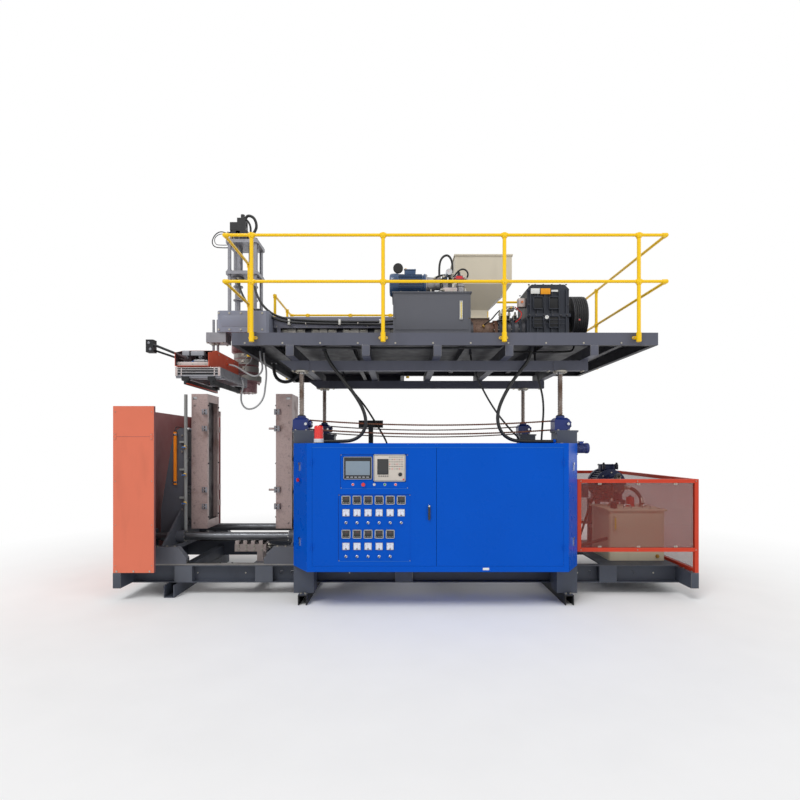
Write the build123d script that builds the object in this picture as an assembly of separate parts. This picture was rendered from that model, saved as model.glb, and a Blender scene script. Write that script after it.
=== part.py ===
from build123d import *
import math
import os

# Accumulator-head blow moulding machine with a sliding clamp, a lifting extruder deck and a control cabinet.
# Millimetres. +X runs to the right of the control front, +Y to the back, +Z up.
# The origin is on the floor, at the middle of the machine's box in plan.

# Running and seating clearances
SEAT_GAP = 0.3
RUNNING_GAP = 0.05

# Centre lines of the process
MOULD_X = -2224.0
AXIS_Y = -190.0
SCREW_AXIS_Z = 3520.0

# Base frame
BASE_END_X = 3465.0
BASE_FRONT_Y = -1340.0
BASE_REAR_Y = 950.0
END_BEAM_WIDTH = 91.0
END_BEAM_BOTTOM = 151.0
END_BEAM_TOP = 335.0
LONG_BEAM_FRONT_Y = -1070.0
LONG_BEAM_WIDTH = 100.0
LONG_BEAM_TOP = 362.0
BEAM_PLATE = 10.0
WEB_HOLE_RADIUS = 25.0
WEB_HOLES_X = (-2840.0, -1549.0, -1418.0, 2300.0, 2840.0)
WEB_BLOCK_WIDTH = 215.0
WEB_BLOCKS_X = (-2745.0, -1750.0, 2500.0)
CROSS_BEAM_WIDTH = 110.0
CROSS_BEAM_HEIGHT = 140.0
END_CROSS_INSET = 603.0
MIDDLE_CROSS_BEAMS_X = (-1950.0, -515.0, 700.0)
FOOT_WIDTH = 125.0
FOOT_OVERHANG = 135.0

POWER_PACK_PLATE = 20.0
POWER_PACK_LENGTH = 924.0
HOSE_POST_X = -515.0
HOSE_POST_Y = 480.0
HOSE_POST_SIZE = 70.0
HOSE_POST_TOP = 2120.0
HOSE_HEAD_HALF_LENGTH = 185.0
HOSE_HEAD_HEIGHT = 110.0

# Columns and their skids
COLUMN_SIZE = 235.0
COLUMN_WALL = 10.0
COLUMNS_X = (-1195.0, 1884.5)
COLUMN_FRONT_Y = -1292.5
COLUMN_REAR_Y = 580.0
COLUMN_TOP = 2000.0
CAP_PLATE = 20.0
CAP_HOLE_GAP = 20.0
CAP_OVERHANG = 16.0
SKID_WIDTH = 103.0
SKID_HEIGHT = 117.0
SKID_OVERHANG = 90.0
SKID_PLATE = 12.0

# Screw jacks
JACK_OFFSET_X = -45.0
SCREW_RADIUS = 30.0
SCREW_BOTTOM = 1450.0
JACK_WIDTH = 180.0
JACK_DEPTH = 170.0
JACK_HEIGHT = 150.0
JACK_SHAFT_Z = 2095.0
JACK_SHAFT_RADIUS = 17.0
SPROCKET_RADIUS = 46.0
SPROCKET_THICKNESS = 12.0
SPROCKET_TEETH = 16
CHAIN_SAG = 60.0
CHAIN_HEIGHT = 16.0
CHAIN_WIDTH = 22.0
CHAIN_SPANS = 10

# Guide rails and tie bars of the clamp
RAIL_WIDTH = 50.0
RAIL_HEIGHT = 22.0
RAIL_INSET = 30.0
RAIL_START_INSET = 165.0
RAIL_END_X = -1330.0
TIE_RADIUS = 53.0
TIE_HALF_SPACING = 400.0
TIE_Z = 643.0
TIE_START_INSET = 125.0
TIE_END_X = -1010.0
TIE_STAND_LENGTH = 60.0
TIE_STAND_HALF_WIDTH = 90.0

# Clamp carriages and platens
CLAMP_STROKE = 300.0
PLATEN_GAP_HALF = 465.0
PLATEN_THICKNESS = 219.0
PLATEN_HALF_WIDTH = 220.0
PLATEN_BOTTOM = 714.0
PLATEN_TOP = 2547.0
PLATEN_POCKET_DEPTH = 60.0
PLATEN_BORDER = 48.0
PLATEN_END_BORDER = 110.0
SPACER_LENGTH = 80.0
SPACER_RADIUS = 22.0
SPACER_HEIGHTS = (790.0, 1200.0, 1650.0, 2060.0)
SPACER_HALF_WIDTH = 130.0
UPRIGHT_THICKNESS = 52.0
UPRIGHT_HALF_WIDTH = 270.0
UPRIGHT_TOP = 2080.0
RIB_THICKNESS = 22.0
RIB_DEPTH = 260.0
RIB_TOP_DEPTH = 90.0
SHOE_LENGTH = 420.0
SHOE_WIDTH = 96.0
SHOE_TOP = 590.0
SHOE_SLOPE = 110.0
BED_BOTTOM = 500.0
BED_TOP = 556.0
BED_LENGTH = 170.0
BUSH_RADIUS = 78.0
CLAMP_BLOCK_SIZE = 62.0
CLAMP_BLOCK_DEPTH = 46.0
CLAMP_BLOCKS_Z = (2300.0, 2074.0, 1245.0, 1020.0)
GUIDE_PIN_RADIUS = 14.0
GUIDE_PIN_LENGTH = 75.0

# Rack and pinion that keep the two carriages together
GEAR_MODULE = 6.0
PINION_TEETH = 16
PRESSURE_ANGLE = 20.0
RACK_BODY = 18.0
RACK_WIDTH = 30.0
RACK_Y = 40.0
PINION_Z = 447.0
PINION_SHAFT_RADIUS = 16.0
BACKLASH = 0.8
UPPER_RACK_END_X = -2130.0
LOWER_RACK_END_X = -2320.0

# Clamp cylinder
CYLINDER_RADIUS = 55.0
PISTON_ROD_RADIUS = 24.0
CYLINDER_START_X = -1180.0
CYLINDER_END_X = -520.0
CYLINDER_Z = 528.0

# Left guard of folded sheet and right guard of tube
GUARD_SHEET = 3.0
LEFT_GUARD_LENGTH = 485.0
LEFT_GUARD_TOP = 2309.0
LEFT_GUARD_LIP = 40.0
GUARD_TUBE = 45.0
RIGHT_GUARD_COLUMN_GAP = 28.0
RIGHT_GUARD_BOTTOM = 585.0
RIGHT_GUARD_TOP = 1444.0
GUARD_PANEL = 4.0

# Control cabinet and its doors
CABINET_FRONT_Y = -1740.0
CABINET_BACK_Y = -1120.0
CABINET_LEFT_X = -1100.0
CABINET_RIGHT_X = 1798.0
CABINET_BOTTOM = 442.0
CABINET_TOP = 1867.0
CABINET_SHEET = 3.0
DOOR_LEFT_X = -1042.0
DOOR_SPLIT_X = 335.0
DOOR_RIGHT_X = 1741.0
DOOR_BOTTOM = 505.0
DOOR_TOP = 1817.0
DOOR_DEPTH = 22.0
DOOR_SHEET = 2.5
DOOR_GAP = 2.0
HINGE_RADIUS = 6.0
HINGE_LENGTH = 70.0
HINGES_Z = (680.0, 1620.0)

# Extruder deck
DECK_LEFT_X = -1947.0
DECK_RIGHT_X = 2811.0
DECK_FRONT_Y = -1690.0
DECK_REAR_Y = 860.0
DECK_STEP_X = 0.0
DECK_STEP_Y = 1690.0
DECK_BOTTOM = 2960.0
DECK_TOP = 3100.0
DECK_SHEET = 6.0
CHANNEL_FLANGE = 60.0
CHANNEL_PLATE = 8.0
LIFT_BEAM_BOTTOM = 2730.0
LIFT_BEAM_TOP = 2845.0
LIFT_BEAM_WIDTH = 90.0
LIFT_BEAM_START_X = -1359.0
LIFT_BEAM_END_X = 2157.0

# Handrails
POST_RADIUS = 21.0
RAIL_RADIUS = 17.0
FITTING_RADIUS = 28.0
FITTING_LENGTH = 60.0
RAIL_SOCKET_RADIUS = 24.0
POST_SOCKET_RADIUS = 27.0
ELBOW_RADIUS = 24.5
POST_BOTTOM = 2990.0
POST_CAP = 24.0
FLANGE_Z = 3040.0
FLANGE_RADIUS = 52.0
FLANGE_NECK_RADIUS = 24.0
FLANGE_THICKNESS = 12.0
FLANGE_SOCKET_HALF = 56.0
RAIL_OFFSET = 60.0
TOP_RAIL_Z = 4190.0
MID_RAIL_Z = 3670.0
FRONT_POSTS_X = (-1708.0, -256.0, 1084.0, 2568.0)
LEFT_GAP_FRONT_Y = -810.0
LEFT_GAP_REAR_Y = 570.0
REAR_POST_X = 1340.0
LEFT_REAR_POST_X = -950.0
END_POST_Y = 300.0

# Power pack
TANK_END_INSET = 125.0
TANK_LENGTH = 720.0
TANK_Y = (-800.0, -180.0)
TANK_TOP = 1000.0
TANK_LID = 22.0
TANK_LID_OVERHANG = 18.0
PUMP_END_INSET = 365.0
PUMP_LENGTH = 540.0
PUMP_Y = 160.0
PUMP_Z = 1230.0
PUMP_RADIUS = 175.0
PUMP_STAND_HALF_WIDTH = 150.0
FIN_HEIGHT = 12.0

# Door hinges and cabinet latches
LATCHES_Z = (750.0, 1600.0)
HINGE_PIN_RADIUS = 3.0
LEAF_WIDTH = 26.0
LEAF_THICKNESS = 2.5

# Instruments of the left door: places are middles in X and Z
RECESS_DEPTH = 4.0
UPPER_RECESS = ((-729.0, 22.0), (1362.0, 1744.0))
LOWER_RECESS = ((-753.0, 50.0), (558.0, 1301.0))
BEZEL_DEPTH = 9.0
BEZEL_LAP = 4.0
BODY_DEPTH = 55.0
SCREEN_PLACE = (-536.0, 1591.0)
SCREEN_SIZE = (318.0, 252.0)
CONTROLLER_PLACE = (-184.5, 1592.5)
CONTROLLER_SIZE = (359.0, 303.0)
ZONE_START_X = -666.0
ZONE_PITCH = 122.0
ZONE_ROWS = ((6, 1237.0, 1098.0, 986.0), (5, 861.0, 726.0, 613.0))
TEMPERATURE_SIZE = 96.0
AMMETER_SIZE = 80.0
SWITCH_RADIUS = 15.0
SWITCH_KNOB_WIDTH = 8.0
SWITCH_KNOB_DEPTH = 18.0
BUTTON_ROW_Z = 1409.0
BUTTON_RING_RADIUS = 16.0
BUTTON_RING_DEPTH = 6.0
BUTTON_RADIUS = 11.0
BUTTON_TRAVEL = 4.0
BUTTON_STEM = 24.0
MUSHROOM_RADIUS = 21.0
MUSHROOM_DEPTH = 14.0
PANEL_STOP_X = -474.0
KEY_X = -354.0
START_X = -237.0
LAMPS_X = (-590.0, -118.0)
HANDLE_X = 253.5
HANDLE_PIVOT_Z = 1170.0
HANDLE_LENGTH = 172.0
HANDLE_WIDTH = 30.0
SIDE_STOP_Z = 1450.0

# Warning beacon
BEACON_X = -990.0
BEACON_Y = -1600.0
BEACON_RADIUS = 55.0
BEACON_BASE = 50.0
BEACON_HEIGHT = 200.0

# Jack housings and the gearmotor of the lift
HOUSING_CHAMFER = 26.0
SIDE_COVER_RADIUS = 42.0
SIDE_COVER_LENGTH = 30.0
SPROCKET_GAP = 14.0
GEARMOTOR_RADIUS = 62.0
GEARMOTOR_LENGTH = 180.0
GEARMOTOR_Z = 1810.0

# Valve block of the clamp
VALVE_X = (-2290.0, -1870.0)
VALVE_Y = (-500.0, -330.0)
VALVE_Z = (420.0, 520.0)
VALVE_COUNT = 4

# Pinion bracket, water manifold and position sensor
PINION_BRACKET = 14.0
MANIFOLD_RADIUS = 22.0
MANIFOLD_Z = (690.0, 2530.0)
MANIFOLD_VALVES_Z = (1070.0, 1450.0, 1820.0)
SENSOR_Z = (1316.0, 2027.0)
SENSOR_WIDTH = 40.0

# Under the deck
LIFT_CROSS_X = (-1300.0, -450.0, 350.0, 1150.0, 2100.0)
LIFT_CROSS_WIDTH = 90.0
DECK_JOISTS_X = (-1600.0, -700.0, 700.0, 1600.0, 2450.0)
JOIST_HEIGHT = 100.0
SCREW_FLANGE_RADIUS = 80.0
SCREW_FLANGE_HEIGHT = 20.0
GLAND_WALL = 7.0
GLAND_LENGTH = 30.0

# Extruder
BARREL_HEIGHT = 330.0
BARREL_RADIUS = 95.0
BARREL_START_X = -1785.0
BARREL_END_X = 900.0
BORE_RADIUS = 50.0
FEED_END_X = 1230.0
FEED_RADIUS = 140.0
ADAPTOR_RADIUS = 165.0
BAND_RADIUS = 148.0
BAND_LENGTH = 340.0
BAND_GAP = 90.0
BAND_COUNT = 6
COVER_HALF_WIDTH = 250.0
COVER_RISE = 161.0
COVER_SKIRT_RISE = 7.0
COVER_START_X = -1780.0
COVER_END_X = 700.0
COVER_SHEET = 4.0
COVER_BEND = 6.0
GEARBOX_X = (1646.0, 2213.0)
GEARBOX_Y = (-490.0, 110.0)
GEARBOX_TOP = 4018.0
SHEAVE_X = (2278.0, 2468.0)
SHEAVE_RADIUS = 320.0
SHEAVE_Z = 3600.0
SHEAVE_GROOVES = 6
GROOVE_DEPTH = 16.0
GROOVE_SHARE = 0.9
GROOVE_BOTTOM_SHARE = 0.3
RIM_MARGIN = 10.0
BELT_SINK = 12.0
BELT_RISE = 2.0
PULLEY_RADIUS = 120.0
MOTOR_Y = 560.0
MOTOR_Z = 3360.0
MOTOR_RADIUS = 190.0
SHAFT_RADIUS = 40.0
MOTOR_SHAFT_RADIUS = 30.0
MOTOR_X = (1500.0, 2190.0)
PEDESTAL_WIDTH = 160.0
PEDESTALS_X = (-1560.0, -240.0)

# Hopper
HOPPER_TOP_X = (671.0, 1437.0)
HOPPER_TOP_Y = (-490.0, 110.0)
HOPPER_THROAT_X = (916.0, 1140.0)
HOPPER_THROAT_Y = (-302.0, -78.0)
HOPPER_TOP_HEIGHT = 396.0
HOPPER_TAPER_HEIGHT = 306.0
HOPPER_THROAT_HEIGHT = 115.0
THROAT_SEAT_RISE = 170.0
HOPPER_SHEET = 3.0

# Die head and its tower
DIE_RADIUS = 145.0
DIE_BOTTOM = 2580.0
DIE_TOP = 2710.0
MANDREL_RADIUS = 60.0
MANDREL_TRAVEL = 20.0
HEAD_RADIUS = 200.0
HEAD_NECK_RADIUS = 165.0
HEAD_BOX_X = (-2465.0, -1790.0)
HEAD_BOX_Y = (-690.0, 310.0)
HEAD_BOX_Z = (3328.0, 3608.0)
TOWER_X = (-2456.0, -2013.0)
TOWER_HALF_DEPTH = 200.0
TOWER_MIDDLE_Z = 4190.0
TOWER_TOP_Z = 4620.0
TOWER_PLATE = 45.0
TOWER_ROD_RADIUS = 24.0
TOWER_CYLINDER_RADIUS = 62.0
SERVO_X = (-2400.0, -2190.0)
SERVO_TOP = 5080.0

# Hydraulic station on the deck
STATION_X = (-150.0, 760.0)
STATION_Y = (-1390.0, -890.0)
STATION_TOP = 3646.0
STATION_LID = 14.0
STATION_MOTOR_X = (-195.0, 240.0)
STATION_MOTOR_RADIUS = 130.0
STATION_MOTOR_Z = 3785.0
STATION_MOTOR_Y = -1180.0

# Parison arm and pinch frame under the head
ARM_X = (-2651.0, -2262.0)
ARM_Y = (-1530.0, -430.0)
ARM_Z = (2752.0, 2977.0)
ARM_SHEET = 5.0
ARM_SIDE_REAR_Y = 110.0
HANGER_RODS_X = (-2553.0, -2495.0)
HANGER_Y = -560.0
PINCH_X = (-2658.0, -2134.0)
PINCH_Y = (-1500.0, -460.0)
PINCH_Z = (2640.0, 2743.0)
PINCH_BAR_Z = (2548.0, 2604.0)
PINCH_BAR_Y = (-1380.0, -480.0)
PINCH_TRAVEL = 100.0
PINCH_CLOSED_HALF_GAP = 50.0

# Free hoses: radius and route, from the deck down to the cabinet, the column or the hose post
CORDS = {
    "left_front_hose": (20.0, [
        (-950, -1400, 2950), (-915, -1400, 2850), (-830, -1402, 2730), (-705, -1402, 2575),
        (-585, -1400, 2420), (-495, -1396, 2260), (-462, -1394, 2110), (-505, -1392, 1975),
        (-620, -1390, 1898), (-770, -1385, 1889), (-925, -1365, 1890), (-1043, -1360, 1889),
    ]),
    "left_rear_hose": (14.0, [
        (-930, 400, 2950), (-905, 402, 2830), (-805, 404, 2690), (-690, 402, 2560),
        (-575, 398, 2410), (-465, 392, 2235), (-358, 388, 2060), (-262, 390, 1885),
        (-225, 400, 1700), (-240, 420, 1510), (-300, 445, 1330), (-385, 465, 1215),
        (-460, 480, 1180),
    ]),
    "right_front_hose": (20.0, [
        (1465, -1400, 2950), (1440, -1400, 2840), (1350, -1401, 2730), (1245, -1402, 2590),
        (1150, -1402, 2430), (1083, -1400, 2270), (1070, -1398, 2120), (1120, -1396, 1985),
        (1230, -1393, 1905), (1375, -1388, 1889), (1530, -1368, 1890), (1660, -1362, 1889),
        (1733, -1361, 1889),
    ]),
    "right_middle_hose": (11.0, [
        (790, -1150, 2950), (805, -1150, 2830), (875, -1151, 2660), (990, -1152, 2430),
        (1110, -1153, 2240), (1245, -1153, 2070), (1325, -1152, 1985), (1376, -1151, 1938),
        (1398, -1150, 1889),
    ]),
    "gearmotor_hose": (12.0, [
        (1575, -1150, 2950), (1580, -1150, 2800), (1625, -1151, 2620), (1672, -1152, 2440),
        (1682, -1152, 2250), (1665, -1151, 2070), (1655, -1150, 1897),
    ]),
    "upper_conduit": (12.0, [
        (-1848, -890, 3040), (-1846, -892, 2960), (-1812, -894, 2865), (-1818, -896, 2775),
        (-1885, -898, 2716), (-1975, -900, 2735), (-2085, -900, 2810), (-2175, -900, 2858),
        (-2240, -900, 2868),
    ]),
    "lower_conduit": (12.0, [
        (-1832, -760, 3040), (-1829, -760, 2950), (-1800, -760, 2845), (-1798, -760, 2725),
        (-1812, -760, 2600), (-1828, -760, 2475), (-1884, -760, 2378), (-1965, -760, 2318),
        (-2062, -760, 2312), (-2122, -760, 2390), (-2128, -760, 2490), (-2104, -760, 2580),
        (-2090, -760, 2640), (-2112, -760, 2688),
    ]),
}

# Values that follow from the sizes above
CROSS_BEAMS_X = (-BASE_END_X + END_CROSS_INSET, *MIDDLE_CROSS_BEAMS_X, BASE_END_X - END_CROSS_INSET)
FOOT_X = CROSS_BEAMS_X[0]
POWER_PACK_START_X = BASE_END_X - END_BEAM_WIDTH - POWER_PACK_LENGTH
RAIL_START_X = -BASE_END_X + RAIL_START_INSET
TIE_START_X = -BASE_END_X + TIE_START_INSET
LEFT_GUARD_INNER_X = -BASE_END_X + LEFT_GUARD_LENGTH
RIGHT_GUARD_START_X = COLUMNS_X[1] + COLUMN_SIZE / 2 + RIGHT_GUARD_COLUMN_GAP
TANK_X = (BASE_END_X - TANK_END_INSET - TANK_LENGTH, BASE_END_X - TANK_END_INSET)
PUMP_X = (BASE_END_X - PUMP_END_INSET - PUMP_LENGTH, BASE_END_X - PUMP_END_INSET)
BARREL_Z = DECK_TOP + BARREL_HEIGHT
COVER_TOP = BARREL_Z + COVER_RISE
COVER_BOTTOM = BARREL_Z + COVER_SKIRT_RISE
THROAT_SEAT_Z = BARREL_Z + THROAT_SEAT_RISE
HOPPER_THROAT_Z = THROAT_SEAT_Z + HOPPER_THROAT_HEIGHT
HOPPER_BREAK_Z = HOPPER_THROAT_Z + HOPPER_TAPER_HEIGHT
HOPPER_TOP_Z = HOPPER_BREAK_Z + HOPPER_TOP_HEIGHT
LONG_BEAM_REAR_Y = 2 * AXIS_Y - LONG_BEAM_FRONT_Y
JACKS = [(x + JACK_OFFSET_X, y) for x in COLUMNS_X for y in (COLUMN_FRONT_Y, COLUMN_REAR_Y)]
HOUSING_BOTTOM = COLUMN_TOP + CAP_PLATE
HOUSING_TOP = HOUSING_BOTTOM + JACK_HEIGHT
RAIL_TOP = LONG_BEAM_TOP + RAIL_HEIGHT
RAILS_Y = (LONG_BEAM_FRONT_Y + RAIL_INSET, LONG_BEAM_REAR_Y - RAIL_INSET)
TIES_Y = (AXIS_Y - TIE_HALF_SPACING, AXIS_Y + TIE_HALF_SPACING)
PITCH_RADIUS = GEAR_MODULE * PINION_TEETH / 2
PLATEN_INNER_X = MOULD_X - PLATEN_GAP_HALF
PLATEN_OUTER_X = PLATEN_INNER_X - PLATEN_THICKNESS
UPRIGHT_FACE_X = PLATEN_OUTER_X - SPACER_LENGTH
UPRIGHT_BACK_X = UPRIGHT_FACE_X - UPRIGHT_THICKNESS


def block(x, y, z):
    """A box between the two limits given on each axis."""
    return Pos(sum(x) / 2, sum(y) / 2, sum(z) / 2) * Box(x[1] - x[0], y[1] - y[0], z[1] - z[0])


def rod(start, end, radius):
    """A round bar from one point to another."""
    line = Vector(*end) - Vector(*start)
    return Solid.make_cylinder(radius, line.length, Plane(origin=start, z_dir=line))


def hexagon_bar(start, end, radius):
    """A hexagon head, nut or union from one point to another."""
    line = Vector(*end) - Vector(*start)
    return extrude(Plane(origin=start, z_dir=line) * RegularPolygon(radius, 6), line.length)


def along_x(outline, start, end):
    """A prism along X of an outline in Y and Z."""
    return extrude(Plane.YZ.offset(start) * Polygon(*outline, align=None), end - start, dir=(1, 0, 0))


def along_y(outline, start, end):
    """A prism along Y of an outline in X and Z."""
    return extrude(Plane.XZ.offset(-start) * Polygon(*outline, align=None), end - start, dir=(0, 1, 0))


def along_z(outline, start, end):
    """A prism along Z of an outline in X and Y."""
    return extrude(Plane.XY.offset(start) * Polygon(*outline, align=None), end - start, dir=(0, 0, 1))


def fuse(pieces):
    """One welded or cast piece made of several forms."""
    return Part() + pieces


def channel_outline(back, open_edge, bottom, top, plate):
    """Outline of a channel whose web stands at back and whose flanges reach to open_edge."""
    inner = back + math.copysign(plate, open_edge - back)
    return [
        (back, bottom), (open_edge, bottom), (open_edge, bottom + plate), (inner, bottom + plate),
        (inner, top - plate), (open_edge, top - plate), (open_edge, top), (back, top),
    ]


def box_section(x, y, z, wall, axis):
    """A square or rectangular hollow section, open at its two ends along the named axis."""
    limits = {"x": x, "y": y, "z": z}
    inner = {name: pair if name == axis else (pair[0] + wall, pair[1] - wall) for name,
             pair in limits.items()}
    return block(x, y, z) - block(inner["x"], inner["y"], inner["z"])


def mirrored_in_mould(shape):
    """The same piece on the other side of the mould's parting plane."""
    return mirror(shape, Plane.YZ.offset(MOULD_X))


def save(node, *shapes):
    """Write one named sub-part with all its solids."""
    solids = [solid for shape in shapes for solid in shape.solids()]
    export_step(solids[0] if len(solids) == 1 else Compound(solids), f"parts/{node}.step")


def base_frame():
    """Two long channels, two end beams, cross beams, web blocks and the left foot."""
    long_start = -BASE_END_X + END_BEAM_WIDTH
    long_end = BASE_END_X - END_BEAM_WIDTH
    pieces = []
    for open_edge, direction in ((LONG_BEAM_FRONT_Y, 1), (LONG_BEAM_REAR_Y, -1)):
        back = open_edge + direction * LONG_BEAM_WIDTH
        outline = channel_outline(back, open_edge, END_BEAM_BOTTOM, LONG_BEAM_TOP, BEAM_PLATE)
        beam = along_x(outline, long_start, long_end)
        middle = (END_BEAM_BOTTOM + LONG_BEAM_TOP) / 2
        for x in WEB_HOLES_X:
            beam -= rod((x, back - LONG_BEAM_WIDTH, middle), (x, back + LONG_BEAM_WIDTH, middle),
                        WEB_HOLE_RADIUS)
        pieces.append(beam)
        near, far = sorted((open_edge, back))
        for x in WEB_BLOCKS_X:
            pieces.append(block((x - WEB_BLOCK_WIDTH / 2, x + WEB_BLOCK_WIDTH / 2), (near, far),
                                (END_BEAM_BOTTOM, LONG_BEAM_TOP)))
    for side in (-1, 1):
        x_limits = sorted((side * BASE_END_X, side * (BASE_END_X - END_BEAM_WIDTH)))
        pieces.append(box_section(x_limits, (BASE_FRONT_Y, BASE_REAR_Y), (END_BEAM_BOTTOM, END_BEAM_TOP),
                                  BEAM_PLATE, "y"))
    inside_y = (LONG_BEAM_FRONT_Y + LONG_BEAM_WIDTH - BEAM_PLATE,
                LONG_BEAM_REAR_Y - LONG_BEAM_WIDTH + BEAM_PLATE)
    for x in CROSS_BEAMS_X:
        pieces.append(box_section((x - CROSS_BEAM_WIDTH / 2, x + CROSS_BEAM_WIDTH / 2), inside_y,
                                  (END_BEAM_BOTTOM, END_BEAM_BOTTOM + CROSS_BEAM_HEIGHT), BEAM_PLATE, "y"))
    foot_y = (LONG_BEAM_FRONT_Y - FOOT_OVERHANG, LONG_BEAM_REAR_Y + FOOT_OVERHANG)
    foot_outline = channel_outline(0, END_BEAM_BOTTOM, FOOT_X - FOOT_WIDTH / 2, FOOT_X + FOOT_WIDTH / 2,
                                   BEAM_PLATE)
    pieces.append(along_y([(across, up) for up, across in foot_outline], *foot_y))
    pieces.append(block((POWER_PACK_START_X, long_end), inside_y,
                        (LONG_BEAM_TOP - POWER_PACK_PLATE, LONG_BEAM_TOP)))
    half_post = HOSE_POST_SIZE / 2
    pieces.append(box_section((HOSE_POST_X - half_post, HOSE_POST_X + half_post),
                              (HOSE_POST_Y - half_post, HOSE_POST_Y + half_post),
                              (END_BEAM_BOTTOM + CROSS_BEAM_HEIGHT, HOSE_POST_TOP), GUARD_PANEL, "z"))
    pieces.append(block((HOSE_POST_X - HOSE_HEAD_HALF_LENGTH, HOSE_POST_X + HOSE_HEAD_HALF_LENGTH),
                        (HOSE_POST_Y - half_post, HOSE_POST_Y + half_post),
                        (HOSE_POST_TOP, HOSE_POST_TOP + HOSE_HEAD_HEIGHT)))
    frame = fuse(pieces + [lower_gland("left_rear_hose")])
    for x in COLUMNS_X:
        frame -= block((x - COLUMN_SIZE / 2 - SEAT_GAP, x + COLUMN_SIZE / 2 + SEAT_GAP),
                       (COLUMN_REAR_Y - COLUMN_SIZE / 2 - SEAT_GAP, COLUMN_REAR_Y + COLUMN_SIZE),
                       (0, COLUMN_TOP))
    return frame


def columns():
    """Four hollow columns with bored caps, on two open skids that tie front to back."""
    pieces = []
    half = COLUMN_SIZE / 2
    for x in COLUMNS_X:
        for y in (COLUMN_FRONT_Y, COLUMN_REAR_Y):
            pieces.append(box_section((x - half, x + half), (y - half, y + half), (SKID_HEIGHT, COLUMN_TOP),
                                      COLUMN_WALL, "z"))
            reach = half + CAP_OVERHANG
            cap = block((x - reach, x + reach), (y - half, y + half), (COLUMN_TOP, HOUSING_BOTTOM))
            screw_x = x + JACK_OFFSET_X
            hole = rod((screw_x, y, COLUMN_TOP), (screw_x, y, HOUSING_BOTTOM), SCREW_RADIUS + CAP_HOLE_GAP)
            pieces.append(cap - hole)
        skid_outline = channel_outline(SKID_HEIGHT, 0, x - SKID_WIDTH / 2, x + SKID_WIDTH / 2, SKID_PLATE)
        skid_y = (COLUMN_FRONT_Y - half - SKID_OVERHANG, COLUMN_REAR_Y + half + SKID_OVERHANG)
        pieces.append(along_y([(across, up) for up, across in skid_outline], *skid_y))
        tie_y = (COLUMN_FRONT_Y + half, LONG_BEAM_FRONT_Y - SEAT_GAP)
        pieces.append(block((x - SKID_WIDTH, x + SKID_WIDTH), tie_y, (END_BEAM_BOTTOM, END_BEAM_TOP)))
    return fuse(pieces)


def clamp_rails():
    """Two flat guide rails on the long beams and two tie bars in their end stands."""
    pieces = []
    for y in RAILS_Y:
        pieces.append(block((RAIL_START_X, RAIL_END_X), (y - RAIL_WIDTH / 2, y + RAIL_WIDTH / 2),
                            (LONG_BEAM_TOP, RAIL_TOP)))
    for y in TIES_Y:
        pieces.append(rod((TIE_START_X, y, TIE_Z), (TIE_END_X, y, TIE_Z), TIE_RADIUS))
    for x in (TIE_START_X, TIE_END_X):
        stand = block((x - TIE_STAND_LENGTH / 2, x + TIE_STAND_LENGTH / 2),
                      (TIES_Y[0] - TIE_STAND_HALF_WIDTH, TIES_Y[1] + TIE_STAND_HALF_WIDTH),
                      (LONG_BEAM_TOP, TIE_Z + TIE_STAND_HALF_WIDTH))
        window = block((x - TIE_STAND_LENGTH, x + TIE_STAND_LENGTH),
                       (TIES_Y[0] + TIE_STAND_HALF_WIDTH, TIES_Y[1] - TIE_STAND_HALF_WIDTH),
                       (LONG_BEAM_TOP + RAIL_WIDTH, TIE_Z + TIE_STAND_HALF_WIDTH))
        sill = block((x - TIE_STAND_LENGTH / 2, x + TIE_STAND_LENGTH / 2),
                     (LONG_BEAM_FRONT_Y, LONG_BEAM_REAR_Y), (LONG_BEAM_TOP, LONG_BEAM_TOP + RAIL_WIDTH))
        pieces.append(stand - window + sill)
    return fuse(pieces)


def left_guard():
    """Folded sheet guard round the left end: front and rear panels with lips, and the end wall."""
    outer_x = -BASE_END_X + 2
    inner_x = outer_x + GUARD_SHEET
    lip_x = LEFT_GUARD_INNER_X - GUARD_SHEET
    outline = [(LEFT_GUARD_INNER_X, BASE_FRONT_Y), (outer_x, BASE_FRONT_Y), (outer_x, BASE_REAR_Y),
               (LEFT_GUARD_INNER_X, BASE_REAR_Y), (LEFT_GUARD_INNER_X, BASE_REAR_Y - LEFT_GUARD_LIP),
               (lip_x, BASE_REAR_Y - LEFT_GUARD_LIP), (lip_x, BASE_REAR_Y - GUARD_SHEET),
               (inner_x, BASE_REAR_Y - GUARD_SHEET), (inner_x, BASE_FRONT_Y + GUARD_SHEET),
               (lip_x, BASE_FRONT_Y + GUARD_SHEET), (lip_x, BASE_FRONT_Y + LEFT_GUARD_LIP),
               (LEFT_GUARD_INNER_X, BASE_FRONT_Y + LEFT_GUARD_LIP)]
    return along_z(outline, END_BEAM_TOP, LEFT_GUARD_TOP)


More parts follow.
